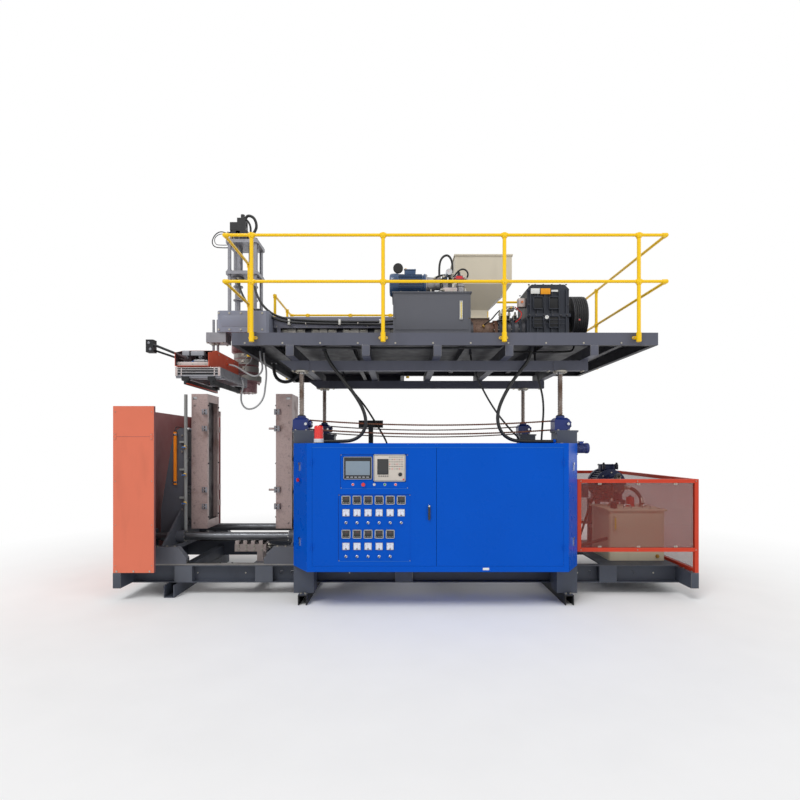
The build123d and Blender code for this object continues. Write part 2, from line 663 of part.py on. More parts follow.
def right_guard_frame():
    """Welded square tube frame of the right guard: front, end and rear."""
    t = GUARD_TUBE
    front_y = (BASE_FRONT_Y, BASE_FRONT_Y + t)
    rear_y = (BASE_REAR_Y - t, BASE_REAR_Y)
    end_x = (BASE_END_X - t, BASE_END_X)
    pieces = []
    for y in (front_y, rear_y):
        pieces.append(block((RIGHT_GUARD_START_X, RIGHT_GUARD_START_X + t), y,
                            (RIGHT_GUARD_BOTTOM, RIGHT_GUARD_TOP)))
        pieces.append(block(end_x, y, (END_BEAM_TOP, RIGHT_GUARD_TOP)))
        for z in (RIGHT_GUARD_BOTTOM, RIGHT_GUARD_TOP - t):
            pieces.append(block((RIGHT_GUARD_START_X, BASE_END_X), y, (z, z + t)))
    for z in (END_BEAM_TOP, RIGHT_GUARD_TOP - t):
        pieces.append(block(end_x, (BASE_FRONT_Y, BASE_REAR_Y), (z, z + t)))
    for y in (COLUMN_FRONT_Y, BASE_REAR_Y - t / 2):
        pieces.append(block((COLUMNS_X[1] + COLUMN_SIZE / 2 + SEAT_GAP, RIGHT_GUARD_START_X + t),
                            (y - t / 2, y + t / 2), (RIGHT_GUARD_TOP - 2 * t, RIGHT_GUARD_TOP - t)))
    return fuse(pieces)


def right_guard_panels():
    """Clear tinted panels held in the tube frame."""
    t = GUARD_TUBE
    gap = SEAT_GAP
    inner_z = (RIGHT_GUARD_BOTTOM + t + gap, RIGHT_GUARD_TOP - t - gap)
    inner_x = (RIGHT_GUARD_START_X + t + gap, BASE_END_X - t - gap)
    panels = []
    for y in (BASE_FRONT_Y + t / 2, BASE_REAR_Y - t / 2):
        panels.append(block(inner_x, (y - GUARD_PANEL / 2, y + GUARD_PANEL / 2), inner_z))
    x = BASE_END_X - t / 2
    panels.append(block((x - GUARD_PANEL / 2, x + GUARD_PANEL / 2),
                        (BASE_FRONT_Y + t + gap, BASE_REAR_Y - t - gap),
                        (END_BEAM_TOP + t + gap, inner_z[1])))
    return panels


def oil_tank():
    """Rounded sheet tank with a lid, a filler cap and a level gauge rib."""
    body = fillet(block(TANK_X, TANK_Y, (LONG_BEAM_TOP, TANK_TOP)).edges().filter_by(Axis.Z), 30)
    lid = block((TANK_X[0] - TANK_LID_OVERHANG, TANK_X[1] + TANK_LID_OVERHANG),
                (TANK_Y[0] - TANK_LID_OVERHANG, TANK_Y[1] + TANK_LID_OVERHANG),
                (TANK_TOP, TANK_TOP + TANK_LID))
    cap_x = TANK_X[0] + 110
    cap_y = TANK_Y[0] + 120
    cap = rod((cap_x, cap_y, TANK_TOP), (cap_x, cap_y, TANK_TOP + TANK_LID + 70), 42)
    gauge = block((TANK_X[0] + 60, TANK_X[0] + 95), (TANK_Y[0] - 14, TANK_Y[0]),
                  (TANK_TOP - 260, TANK_TOP - 60))
    return fuse([body, lid, cap, gauge])


def finned_motor(start, end, y, z, radius, fins):
    """A motor body along X with a row of cooling fins and a domed fan cover at its end."""
    body = rod((start, y, z), (end, y, z), radius - FIN_HEIGHT)
    length = end - start
    cover_start = end - 0.22 * math.copysign(abs(length), length)
    cover = rod((cover_start, y, z), (end, y, z), radius)
    pieces = [body, cover]
    for index in range(fins):
        fin = block(sorted((start, cover_start)), (y - 3, y + 3), (z, z + radius))
        pieces.append(fin.rotate(Axis((0, y, z), (1, 0, 0)), 360 * (index + 0.5) / fins))
    return fuse(pieces)


def pump_motor():
    """Electric pump set of the power pack: finned motor, terminal box, bell housing, pump and stand."""
    motor_start = PUMP_X[0] + 190
    motor = finned_motor(motor_start, PUMP_X[1], PUMP_Y, PUMP_Z, PUMP_RADIUS, 12)
    box_x = (motor_start + 60, motor_start + 260)
    taper = along_x([(PUMP_Y - 130, PUMP_Z + 120), (PUMP_Y + 130, PUMP_Z + 120), (PUMP_Y + 90, PUMP_Z + 330),
                     (PUMP_Y - 90, PUMP_Z + 330)], *box_x)
    bell = Solid.make_cone(PUMP_RADIUS, 90, 110,
                           Plane(origin=(motor_start, PUMP_Y, PUMP_Z), z_dir=(-1, 0, 0)))
    pump = rod((motor_start - 110, PUMP_Y, PUMP_Z), (PUMP_X[0], PUMP_Y, PUMP_Z), 78)
    stand_y = (PUMP_Y - PUMP_STAND_HALF_WIDTH, PUMP_Y + PUMP_STAND_HALF_WIDTH)
    stand = box_section((motor_start + 20, PUMP_X[1] - 60), stand_y,
                        (LONG_BEAM_TOP, PUMP_Z - PUMP_RADIUS + 30), 8, "y")
    return fuse([motor, taper, bell, pump, stand])


def cabinet_plan(inset):
    """Plan outline of the cabinet: flat front, chamfers back to the columns, body between the columns."""
    half = COLUMN_SIZE / 2
    left_face = COLUMNS_X[0] + half + SEAT_GAP
    right_face = COLUMNS_X[1] - half - SEAT_GAP
    chamfer_y = COLUMN_FRONT_Y - half - SEAT_GAP
    left_edge = COLUMNS_X[0] - half
    right_edge = COLUMNS_X[1] + half
    points = [(CABINET_LEFT_X, CABINET_FRONT_Y), (CABINET_RIGHT_X, CABINET_FRONT_Y), (right_edge, chamfer_y),
              (right_face, chamfer_y), (right_face, CABINET_BACK_Y), (left_face, CABINET_BACK_Y),
              (left_face, chamfer_y), (left_edge, chamfer_y)]
    plan = Polygon(*points, align=None)
    if inset:
        plan = offset(plan, -inset, kind=Kind.INTERSECTION)
    return plan


def control_cabinet():
    """Sheet cabinet, hollow inside, with one opening for the two doors."""
    outer = extrude(Plane.XY.offset(CABINET_BOTTOM) * cabinet_plan(0), CABINET_TOP - CABINET_BOTTOM)
    inner = extrude(Plane.XY.offset(CABINET_BOTTOM + CABINET_SHEET) * cabinet_plan(CABINET_SHEET),
                    CABINET_TOP - CABINET_BOTTOM - 2 * CABINET_SHEET)
    opening = block((DOOR_LEFT_X, DOOR_RIGHT_X), (CABINET_FRONT_Y - 10, CABINET_FRONT_Y + 10),
                    (DOOR_BOTTOM, DOOR_TOP))
    return outer - inner - opening


def chamfer_plane(side, height):
    """A plane on the middle of a chamfered side of the cabinet, its normal pointing out."""
    front_x = CABINET_LEFT_X if side < 0 else CABINET_RIGHT_X
    back_x = COLUMNS_X[0] - COLUMN_SIZE / 2 if side < 0 else COLUMNS_X[1] + COLUMN_SIZE / 2
    back_y = COLUMN_FRONT_Y - COLUMN_SIZE / 2 - SEAT_GAP
    run_x = back_x - front_x
    run_y = back_y - CABINET_FRONT_Y
    middle = (front_x + run_x / 2, CABINET_FRONT_Y + run_y / 2, height)
    return Plane(origin=middle, x_dir=(0, 0, 1), z_dir=(side * run_y, -side * run_x, 0))


def hinge_pin_y():
    """Distance of the hinge axis in front of the cabinet."""
    return CABINET_FRONT_Y - HINGE_RADIUS - SEAT_GAP


def hinge_half(hinge_x, direction, z, fixed):
    """One half of a door hinge: the fixed half carries the pin, the moving half is bored for it."""
    y = hinge_pin_y()
    middle = z + HINGE_LENGTH / 2
    low, high = (z, middle - SEAT_GAP) if fixed else (middle, z + HINGE_LENGTH)
    knuckle = rod((hinge_x, y, low), (hinge_x, y, high), HINGE_RADIUS)
    edge = hinge_x + direction * LEAF_WIDTH * (-1 if fixed else 1)
    leaf = block(sorted((hinge_x, edge)), (CABINET_FRONT_Y - LEAF_THICKNESS, CABINET_FRONT_Y), (low, high))
    pin_radius = HINGE_PIN_RADIUS if fixed else HINGE_PIN_RADIUS + RUNNING_GAP
    pin = rod((hinge_x, y, z), (hinge_x, y, z + HINGE_LENGTH), pin_radius)
    half = fuse([knuckle, leaf])
    return half + pin if fixed else half - pin


def cabinet_hardware():
    """Four toggle latches on the chamfered sides and the fixed halves of the door hinges."""
    pieces = []
    for side in (-1, 1):
        for z in LATCHES_Z:
            plane = chamfer_plane(side, z)
            base = extrude(plane * Rectangle(96, 26), 5)
            hook = extrude(plane * (Pos(36, 0) * Rectangle(24, 34)), 14)
            lever = extrude(plane * (Pos(-14, 0) * SlotOverall(70, 18)), 11)
            pieces.append(fuse([base, hook, lever]))
    for hinge_x, direction in ((DOOR_LEFT_X, 1), (DOOR_RIGHT_X, -1)):
        for z in HINGES_Z:
            pieces.append(hinge_half(hinge_x, direction, z, True))
    return pieces


def switchgear():
    """Mounting plate at the back of the cabinet with rails, wire ducts and rows of switching devices."""
    plate_y = CABINET_BACK_Y - CABINET_SHEET - 30
    plate_x = (CABINET_LEFT_X + 120, CABINET_RIGHT_X - 120)
    pieces = [block(plate_x, (plate_y - 3, plate_y), (DOOR_BOTTOM + 40, DOOR_TOP - 40))]
    for x in (plate_x[0] + 40, plate_x[1] - 40):
        for z in (DOOR_BOTTOM + 90, DOOR_TOP - 90):
            pieces.append(rod((x, plate_y, z), (x, CABINET_BACK_Y - CABINET_SHEET, z), 10))
    for row in range(4):
        z = DOOR_BOTTOM + 190 + row * 300
        pieces.append(block((plate_x[0] + 40, plate_x[1] - 40), (plate_y - 63, plate_y - 3),
                            (z + 110, z + 160)))
        for column in range(10):
            x = plate_x[0] + 90 + column * 250
            width = 150 if (row + column) % 3 else 90
            pieces.append(block((x, x + width), (plate_y - 93, plate_y - 3), (z - 60, z + 70)))
    return fuse(pieces)


def instrument_places():
    """Every framed instrument as middle and size in X and Z."""
    places = [(SCREEN_PLACE, SCREEN_SIZE), (CONTROLLER_PLACE, CONTROLLER_SIZE)]
    for count, temperature_z, ammeter_z, _ in ZONE_ROWS:
        for index in range(count):
            x = ZONE_START_X + index * ZONE_PITCH
            places.append(((x, temperature_z), (TEMPERATURE_SIZE, TEMPERATURE_SIZE)))
            places.append(((x, ammeter_z), (AMMETER_SIZE, AMMETER_SIZE)))
    return places


def switch_places():
    """The middles of the selector switches under the ammeters."""
    return [(ZONE_START_X + index * ZONE_PITCH, row[3]) for row in ZONE_ROWS for index in range(row[0])]


def door_shell(x, hinge_x, direction):
    """A flush sheet door with returned edges and the moving halves of its hinges."""
    z = (DOOR_BOTTOM + DOOR_GAP, DOOR_TOP - DOOR_GAP)
    y = (CABINET_FRONT_Y, CABINET_FRONT_Y + DOOR_DEPTH)
    shell = block(x, y, z) - block((x[0] + DOOR_SHEET, x[1] - DOOR_SHEET), (y[0] + DOOR_SHEET, y[1]),
                                   (z[0] + DOOR_SHEET, z[1] - DOOR_SHEET))
    return fuse([shell] + [hinge_half(hinge_x, direction, height, False) for height in HINGES_Z])


def left_door():
    """Instrument door: two shallow recesses, cut-outs for the instruments and holes for the controls."""
    door = door_shell((DOOR_LEFT_X + DOOR_GAP, DOOR_SPLIT_X - DOOR_GAP), DOOR_LEFT_X, 1)
    face = CABINET_FRONT_Y
    seat = face + RECESS_DEPTH
    for x, z in (UPPER_RECESS, LOWER_RECESS):
        door += block((x[0] - DOOR_SHEET, x[1] + DOOR_SHEET), (face, seat + DOOR_SHEET),
                      (z[0] - DOOR_SHEET, z[1] + DOOR_SHEET))
        door -= block(x, (face - 1, seat), z)
    cut_y = (face - 1, face + DOOR_DEPTH)
    cuts = []
    for (x, z), (width, height) in instrument_places():
        half_x = width / 2 - BEZEL_LAP
        half_z = height / 2 - BEZEL_LAP
        cuts.append(block((x - half_x, x + half_x), cut_y, (z - half_z, z + half_z)))
    holes = [(x, BUTTON_ROW_Z) for x in (PANEL_STOP_X, KEY_X, START_X, *LAMPS_X)]
    for x, z in holes:
        cuts.append(rod((x, cut_y[0], z), (x, cut_y[1], z), BUTTON_RADIUS + SEAT_GAP))
    cuts.append(rod((HANDLE_X, cut_y[0], HANDLE_PIVOT_Z), (HANDLE_X, cut_y[1], HANDLE_PIVOT_Z), 10))
    return door - cuts


def right_door():
    """Plain door of the drive side."""
    return door_shell((DOOR_SPLIT_X + DOOR_GAP, DOOR_RIGHT_X - DOOR_GAP), DOOR_RIGHT_X, -1)


def panel_instruments():
    """Screens, controllers and ammeters, selector switches, button rings and the handle's lock body."""
    seat = CABINET_FRONT_Y + RECESS_DEPTH
    pieces = []
    for (x, z), (width, height) in instrument_places():
        bezel = block((x - width / 2, x + width / 2), (seat - BEZEL_DEPTH, seat),
                      (z - height / 2, z + height / 2))
        half_x = width / 2 - BEZEL_LAP - 0.5
        half_z = height / 2 - BEZEL_LAP - 0.5
        body = block((x - half_x, x + half_x), (seat, seat + BODY_DEPTH), (z - half_z, z + half_z))
        pieces.append(fuse([bezel, body]))
    for x, z in switch_places():
        ring = rod((x, seat, z), (x, seat - BUTTON_RING_DEPTH, z), SWITCH_RADIUS)
        knob = block((x - SWITCH_KNOB_WIDTH / 2, x + SWITCH_KNOB_WIDTH / 2),
                     (seat - BUTTON_RING_DEPTH - SWITCH_KNOB_DEPTH, seat),
                     (z - SWITCH_RADIUS, z + SWITCH_RADIUS))
        pieces.append(fuse([ring, knob]))
    for x in (PANEL_STOP_X, KEY_X, START_X):
        ring = rod((x, seat, BUTTON_ROW_Z), (x, seat - BUTTON_RING_DEPTH, BUTTON_ROW_Z), BUTTON_RING_RADIUS)
        pieces.append(ring - rod((x, seat, BUTTON_ROW_Z), (x, seat - BUTTON_RING_DEPTH, BUTTON_ROW_Z),
                                 BUTTON_RADIUS + RUNNING_GAP))
    for x in LAMPS_X:
        lens = rod((x, seat, BUTTON_ROW_Z), (x, seat - 2 * BUTTON_RING_DEPTH, BUTTON_ROW_Z), BUTTON_RADIUS)
        body = rod((x, seat, BUTTON_ROW_Z), (x, seat - BUTTON_RING_DEPTH, BUTTON_ROW_Z), BUTTON_RING_RADIUS)
        pieces.append(fuse([lens, body]))
    face = CABINET_FRONT_Y
    lock = block((HANDLE_X - HANDLE_WIDTH / 2 - 6, HANDLE_X + HANDLE_WIDTH / 2 + 6), (face - 5, face),
                 (HANDLE_PIVOT_Z - HANDLE_LENGTH, HANDLE_PIVOT_Z + 24))
    lock -= rod((HANDLE_X, face, HANDLE_PIVOT_Z), (HANDLE_X, face - 5, HANDLE_PIVOT_Z), 8 + RUNNING_GAP)
    pieces.append(lock)
    return pieces


def door_handle():
    """Swing lever with its spindle, turning in the lock body."""
    face = CABINET_FRONT_Y - 5 - SEAT_GAP
    spindle = rod((HANDLE_X, face, HANDLE_PIVOT_Z), (HANDLE_X, face + 30, HANDLE_PIVOT_Z), 8)
    lever = Pos(HANDLE_X, face, HANDLE_PIVOT_Z - HANDLE_LENGTH / 2 + HANDLE_WIDTH / 2) * Rot(90, 0,
                                                                                             0) * extrude(
        Rot(0, 0, 90) * SlotOverall(HANDLE_LENGTH - 6, HANDLE_WIDTH - 6), 14)
    return fuse([spindle, lever])


def push_button(x, mushroom):
    """A button cap in its ring, with its stem through the door."""
    seat = CABINET_FRONT_Y + RECESS_DEPTH
    ring_front = seat - BUTTON_RING_DEPTH
    z = BUTTON_ROW_Z
    front = ring_front - BUTTON_TRAVEL - 2
    cap = rod((x, front, z), (x, seat + BUTTON_STEM, z), BUTTON_RADIUS)
    if mushroom:
        cap += rod((x, front, z), (x, front - MUSHROOM_DEPTH, z), MUSHROOM_RADIUS)
    return cap


def key_switch():
    """Key barrel in its ring, with the bow of the key standing out."""
    barrel = push_button(KEY_X, False)
    front = CABINET_FRONT_Y + RECESS_DEPTH - BUTTON_RING_DEPTH - BUTTON_TRAVEL
    bow = block((KEY_X - 1.5, KEY_X + 1.5), (front - 24, front), (BUTTON_ROW_Z - 9, BUTTON_ROW_Z + 9))
    return barrel + bow


def side_stop_base():
    """Fixed collar of the emergency stop on the left chamfer."""
    plane = chamfer_plane(-1, SIDE_STOP_Z)
    collar = extrude(plane * Circle(24), 14)
    return collar - extrude(plane * Circle(BUTTON_RADIUS + RUNNING_GAP), 14)


def emergency_stop():
    """Red mushroom head of the emergency stop on the left chamfer, with its stem in the collar."""
    plane = chamfer_plane(-1, SIDE_STOP_Z)
    stem = extrude(plane.offset(5) * Circle(BUTTON_RADIUS), 22)
    head = extrude(plane.offset(20) * Circle(MUSHROOM_RADIUS), 16)
    return fuse([stem, head])


def warning_beacon():
    """White foot and red domed lens of the warning beacon on the cabinet roof."""
    at = Pos(BEACON_X, BEACON_Y, CABINET_TOP)
    foot = at * Cylinder(BEACON_RADIUS, BEACON_BASE, align=(Align.CENTER, Align.CENTER, Align.MIN))
    lens = at * Pos(0, 0, BEACON_BASE) * Cylinder(BEACON_RADIUS - 5, BEACON_HEIGHT - BEACON_BASE,
                                                  align=(Align.CENTER, Align.CENTER, Align.MIN))
    return foot, fillet(lens.edges().sort_by(Axis.Z)[-1], 22)


def jack_housings():
    """Four cast worm gear housings on the column caps, each bored for its screw and with its drive shaft."""
    housings = []
    for x, y in JACKS:
        body = block((x - JACK_WIDTH / 2, x + JACK_WIDTH / 2), (y - JACK_DEPTH / 2, y + JACK_DEPTH / 2),
                     (HOUSING_BOTTOM, HOUSING_TOP))
        body = chamfer(body.edges().group_by(Axis.Z)[-1], HOUSING_CHAMFER)
        collar = rod((x, y, HOUSING_TOP - 10), (x, y, HOUSING_TOP + 22), SCREW_RADIUS + 22)
        cover_x = x + JACK_WIDTH / 2
        cover = rod((cover_x, y, JACK_SHAFT_Z), (cover_x + SIDE_COVER_LENGTH, y, JACK_SHAFT_Z),
                    SIDE_COVER_RADIUS)
        bore = rod((x, y, HOUSING_BOTTOM - 1), (x, y, HOUSING_TOP + 30), SCREW_RADIUS + RUNNING_GAP)
        shaft_x = x + JACK_WIDTH / 2 - JACK_SHAFT_RADIUS - 8
        end_y = y + JACK_DEPTH / 2
        shaft = rod((shaft_x, y - JACK_DEPTH / 2 - 28, JACK_SHAFT_Z),
                    (shaft_x, end_y + SPROCKET_GAP + SPROCKET_THICKNESS + 8, JACK_SHAFT_Z), JACK_SHAFT_RADIUS)
        housings.append(fuse([body, collar, cover]) - bore + shaft)
    return housings


def sprocket_place(x, y):
    """Middle of the sprocket's near face on a jack shaft."""
    return x + JACK_WIDTH / 2 - JACK_SHAFT_RADIUS - 8, y + JACK_DEPTH / 2 + SPROCKET_GAP


def drive_chains():
    """Front and rear roller chain loops between the left and right jacks, with their sprockets."""
    pieces = []
    half = CHAIN_HEIGHT / 2
    middle_radius = SPROCKET_RADIUS + SEAT_GAP + half
    for y in (COLUMN_FRONT_Y, COLUMN_REAR_Y):
        ends = []
        for column_x in COLUMNS_X:
            x, near = sprocket_place(column_x + JACK_OFFSET_X, y)
            teeth = []
            for index in range(SPROCKET_TEETH):
                for radius, share in ((SPROCKET_RADIUS, 0.25), (SPROCKET_RADIUS - 7, 0.75)):
                    angle = 2 * math.pi * (index + share) / SPROCKET_TEETH
                    teeth.append((x + radius * math.cos(angle), JACK_SHAFT_Z + radius * math.sin(angle)))
            disc = along_y(teeth, near, near + SPROCKET_THICKNESS)
            shaft_hole = rod((x, near - 1, JACK_SHAFT_Z), (x, near + SPROCKET_THICKNESS + 1, JACK_SHAFT_Z),
                             JACK_SHAFT_RADIUS + SEAT_GAP)
            pieces.append(disc - shaft_hole)
            ends.append(x)
        near -= (CHAIN_WIDTH - SPROCKET_THICKNESS) / 2
        length = ends[1] - ends[0]
        shares = [index / CHAIN_SPANS for index in range(CHAIN_SPANS + 1)]
        line = [(ends[0] + length * share, -4 * CHAIN_SAG * share * (1 - share)) for share in shares]
        loop = []
        for level in (middle_radius, -middle_radius):
            upper = [(x, JACK_SHAFT_Z + level + sag + half) for x, sag in line]
            lower = [(x, JACK_SHAFT_Z + level + sag - half) for x, sag in reversed(line)]
            loop.append(along_y(upper + lower, near, near + CHAIN_WIDTH))
        for x, turn in zip(ends, (90, -90)):
            disc = Cylinder(middle_radius + half, CHAIN_WIDTH, arc_size=180)
            ring = disc - Cylinder(middle_radius - half, CHAIN_WIDTH)
            loop.append(Pos(x, near + CHAIN_WIDTH / 2, JACK_SHAFT_Z) * Rot(90, 0, 0) * Rot(0, 0, turn) * ring)
        pieces.append(fuse(loop))
    return pieces


def lift_gearmotor():
    """Small gearmotor of the lift on the outer side of the right front column."""
    start = COLUMNS_X[1] + COLUMN_SIZE / 2 + SEAT_GAP
    y = COLUMN_FRONT_Y + 20
    flange = block((start, start + 26), (y - 80, y + 80), (GEARMOTOR_Z - 85, GEARMOTOR_Z + 85))
    body = finned_motor(start + 26, start + GEARMOTOR_LENGTH, y, GEARMOTOR_Z, GEARMOTOR_RADIUS, 10)
    box = block((start + 50, start + 120), (y - 34, y + 34), (GEARMOTOR_Z + 40, GEARMOTOR_Z + 88))
    return fuse([flange, body, box])


def clamp_hydraulics():
    """Clamp cylinder on its cradle, and the valve manifold with its solenoid valves on a bracket."""
    gland = CYLINDER_START_X + 30
    barrel = rod((CYLINDER_START_X, AXIS_Y, CYLINDER_Z), (CYLINDER_END_X, AXIS_Y, CYLINDER_Z),
                 CYLINDER_RADIUS)
    head = block((CYLINDER_START_X, gland), (AXIS_Y - 70, AXIS_Y + 70), (CYLINDER_Z - 70, CYLINDER_Z + 70))
    bore = rod((CYLINDER_START_X - 1, AXIS_Y, CYLINDER_Z), (CYLINDER_END_X - 30, AXIS_Y, CYLINDER_Z),
               PISTON_ROD_RADIUS + RUNNING_GAP)
    beam_top = END_BEAM_BOTTOM + CROSS_BEAM_HEIGHT
    cradle_x = HOSE_POST_X
    cradle = block((cradle_x - 50, cradle_x + 50), (AXIS_Y - 80, AXIS_Y + 80), (beam_top, CYLINDER_Z))
    end_cap = block((CYLINDER_END_X - 10, CYLINDER_END_X + 30), (AXIS_Y - 70, AXIS_Y + 70),
                    (CYLINDER_Z - 70, CYLINDER_Z + 70))
    cylinder = fuse([barrel, head, cradle, end_cap]) - bore
    valves = [block(VALVE_X, VALVE_Y, VALVE_Z)]
    pitch = (VALVE_X[1] - VALVE_X[0]) / VALVE_COUNT
    middle_y = sum(VALVE_Y) / 2
    for index in range(VALVE_COUNT):
        x = VALVE_X[0] + (index + 0.5) * pitch
        valves.append(block((x - 30, x + 30), (middle_y - 45, middle_y + 45), (VALVE_Z[1], VALVE_Z[1] + 62)))
        valves.append(block((x - 24, x + 24), (VALVE_Y[0] - 70, middle_y - 45),
                            (VALVE_Z[1] + 10, VALVE_Z[1] + 55)))
        valves.append(rod((x, middle_y, VALVE_Z[1] + 60), (x, middle_y, VALVE_Z[1] + 105), 12))
    leg_x = CROSS_BEAMS_X[1]
    valves.append(block((leg_x - 40, leg_x + 40), VALVE_Y, (beam_top, VALVE_Z[0])))
    return cylinder, fuse(valves)


def left_carriage():
    """Left clamp carriage: slotted upright, tapered ribs, bushes on the tie bars and shoes on the rails."""
    half = UPRIGHT_HALF_WIDTH
    low = BED_TOP
    upright = block((UPRIGHT_BACK_X, UPRIGHT_FACE_X), (AXIS_Y - half, AXIS_Y + half), (low, UPRIGHT_TOP))
    pieces = [upright]
    for y in (AXIS_Y - half, AXIS_Y + half - RIB_THICKNESS):
        rib = [(UPRIGHT_BACK_X, low), (UPRIGHT_BACK_X - RIB_DEPTH, low),
               (UPRIGHT_BACK_X - RIB_DEPTH, low + 420),
               (UPRIGHT_BACK_X - RIB_TOP_DEPTH, UPRIGHT_TOP - 60), (UPRIGHT_BACK_X, UPRIGHT_TOP)]
        pieces.append(along_y(rib, y, y + RIB_THICKNESS))
    shoe_start = UPRIGHT_BACK_X - 81
    for y in RAILS_Y:
        near = y - SHOE_WIDTH / 2
        shoe = [(shoe_start, RAIL_TOP + SEAT_GAP), (shoe_start + SHOE_LENGTH, RAIL_TOP + SEAT_GAP),
                (shoe_start + SHOE_LENGTH, RAIL_TOP + 70), (shoe_start + SHOE_LENGTH - SHOE_SLOPE, SHOE_TOP),
                (shoe_start, SHOE_TOP)]
        pieces.append(along_y(shoe, near, near + SHOE_WIDTH))
        toward = 1 if y < AXIS_Y else -1
        wing = [(near + SHOE_WIDTH / 2, SHOE_TOP - 20), (AXIS_Y - toward * half, low + 420),
                (AXIS_Y - toward * half, low),
                (near + SHOE_WIDTH / 2, low)]
        pieces.append(along_x(wing, UPRIGHT_BACK_X, UPRIGHT_BACK_X + RIB_THICKNESS))
    pieces.append(block((shoe_start, shoe_start + BED_LENGTH), RAILS_Y, (BED_BOTTOM, BED_TOP)))
    for y in TIES_Y:
        pieces.append(rod((shoe_start, y, TIE_Z), (shoe_start + BED_LENGTH + 40, y, TIE_Z), BUSH_RADIUS))
    for z in SPACER_HEIGHTS:
        for y in (AXIS_Y - SPACER_HALF_WIDTH, AXIS_Y + SPACER_HALF_WIDTH):
            pieces.append(rod((UPRIGHT_FACE_X, y, z), (PLATEN_OUTER_X, y, z), SPACER_RADIUS))
    body = fuse(pieces)
    for y in TIES_Y:
        body -= rod((TIE_START_X, y, TIE_Z), (MOULD_X, y, TIE_Z), TIE_RADIUS + RUNNING_GAP)
    window = block((UPRIGHT_BACK_X - 1, UPRIGHT_FACE_X + 1), (AXIS_Y - half + 110, AXIS_Y + half - 110),
                   (SPACER_HEIGHTS[1] + 80, SPACER_HEIGHTS[2] - 80))
    return body - window


def left_platen():
    """Left platen: cast plate with a pocketed mould side, tapped holes and clamp blocks on its edges."""
    front = AXIS_Y - PLATEN_HALF_WIDTH
    rear = AXIS_Y + PLATEN_HALF_WIDTH
    plate = block((PLATEN_OUTER_X, PLATEN_INNER_X), (front, rear), (PLATEN_BOTTOM, PLATEN_TOP))
    pocket = block((PLATEN_INNER_X - PLATEN_POCKET_DEPTH, PLATEN_INNER_X),
                   (front + PLATEN_BORDER, rear - PLATEN_BORDER),
                   (PLATEN_BOTTOM + PLATEN_END_BORDER, PLATEN_TOP - PLATEN_END_BORDER))
    pieces = [plate - pocket]
    for z in CLAMP_BLOCKS_Z:
        for edge, out in ((front, -1), (rear, 1)):
            y_limits = sorted((edge, edge + out * CLAMP_BLOCK_DEPTH))
            x_limits = (PLATEN_INNER_X - CLAMP_BLOCK_SIZE, PLATEN_INNER_X + 14)
            tall = CLAMP_BLOCK_SIZE * 0.62
            bar = block(x_limits, y_limits, (z - tall, z + tall))
            screw_y = edge + out * CLAMP_BLOCK_DEPTH
            pieces.append(bar)
            for step in (-18, 18):
                pieces.append(rod((PLATEN_INNER_X - 34, screw_y, z + step),
                                  (PLATEN_INNER_X - 34, screw_y + out * 6, z + step), 7))
    body = fuse(pieces)
    for z in (PLATEN_TOP - 55, PLATEN_TOP - 160, PLATEN_BOTTOM + 70):
        x = PLATEN_INNER_X - 170
        body -= rod((x, front - 1, z), (x, front + 24, z), 9)
    return body


def right_platen():
    """Right platen: mirrored plate, with guide pins standing out of its middle clamp blocks."""
    plate = mirrored_in_mould(left_platen())
    pins = []
    inner_x = 2 * MOULD_X - PLATEN_INNER_X
    for z in CLAMP_BLOCKS_Z[1:3]:
        y = AXIS_Y - PLATEN_HALF_WIDTH - CLAMP_BLOCK_DEPTH / 2
        pins.append(rod((inner_x - 14, y, z), (inner_x - 14 - GUIDE_PIN_LENGTH, y, z), GUIDE_PIN_RADIUS))
    return fuse([plate] + pins)


def rack(start_x, end_x, pitch_z, teeth_up):
    """A straight rack along X, its teeth in step with the pinion standing at MOULD_X."""
    pitch = math.pi * GEAR_MODULE
    slope = math.tan(math.radians(PRESSURE_ANGLE))
    side = 1 if teeth_up else -1
    tip = pitch_z + side * GEAR_MODULE
    root = pitch_z - side * 1.25 * GEAR_MODULE
    back = root - side * RACK_BODY
    half_at_pitch = pitch / 4 - BACKLASH / 2
    outline = [(start_x, back), (start_x, root)]
    first = math.ceil((start_x + pitch - MOULD_X) / pitch)
    last = math.floor((end_x - pitch - MOULD_X) / pitch)
    for index in range(first, last + 1):
        middle = MOULD_X + (index + 0.5) * pitch
        foot = half_at_pitch + slope * 1.25 * GEAR_MODULE
        crown = half_at_pitch - slope * GEAR_MODULE
        outline += [(middle - foot, root), (middle - crown, tip), (middle + crown, tip),
                    (middle + foot, root)]
    outline += [(end_x, root), (end_x, back)]
    return along_y(outline, RACK_Y - RACK_WIDTH / 2, RACK_Y + RACK_WIDTH / 2)


def pinion_outline():
    """Involute outline of the pinion, with a tooth pointing straight up and one straight down."""
    pressure = math.radians(PRESSURE_ANGLE)
    base = PITCH_RADIUS * math.cos(pressure)
    tip = PITCH_RADIUS + GEAR_MODULE
    root = PITCH_RADIUS - 1.25 * GEAR_MODULE
    half_tooth = math.pi / (2 * PINION_TEETH) - BACKLASH / 2 / PITCH_RADIUS
    half_base = half_tooth + math.tan(pressure) - pressure
    flank = []
    for step in range(5):
        radius = base + (tip - base) * step / 4
        unwind = math.sqrt((radius / base) ** 2 - 1)
        flank.append((radius, half_base - (unwind - math.atan(unwind))))
    points = []
    for index in range(PINION_TEETH):
        middle = math.pi / 2 + 2 * math.pi * index / PINION_TEETH
        outline = [(root, -half_base)] + [(radius, -angle) for radius, angle in flank]
        outline += [(radius, angle) for radius, angle in reversed(flank)] + [(root, half_base)]
        points += [(MOULD_X + radius * math.cos(middle + angle), PINION_Z + radius * math.sin(middle + angle))
                   for radius, angle in outline]
    return points


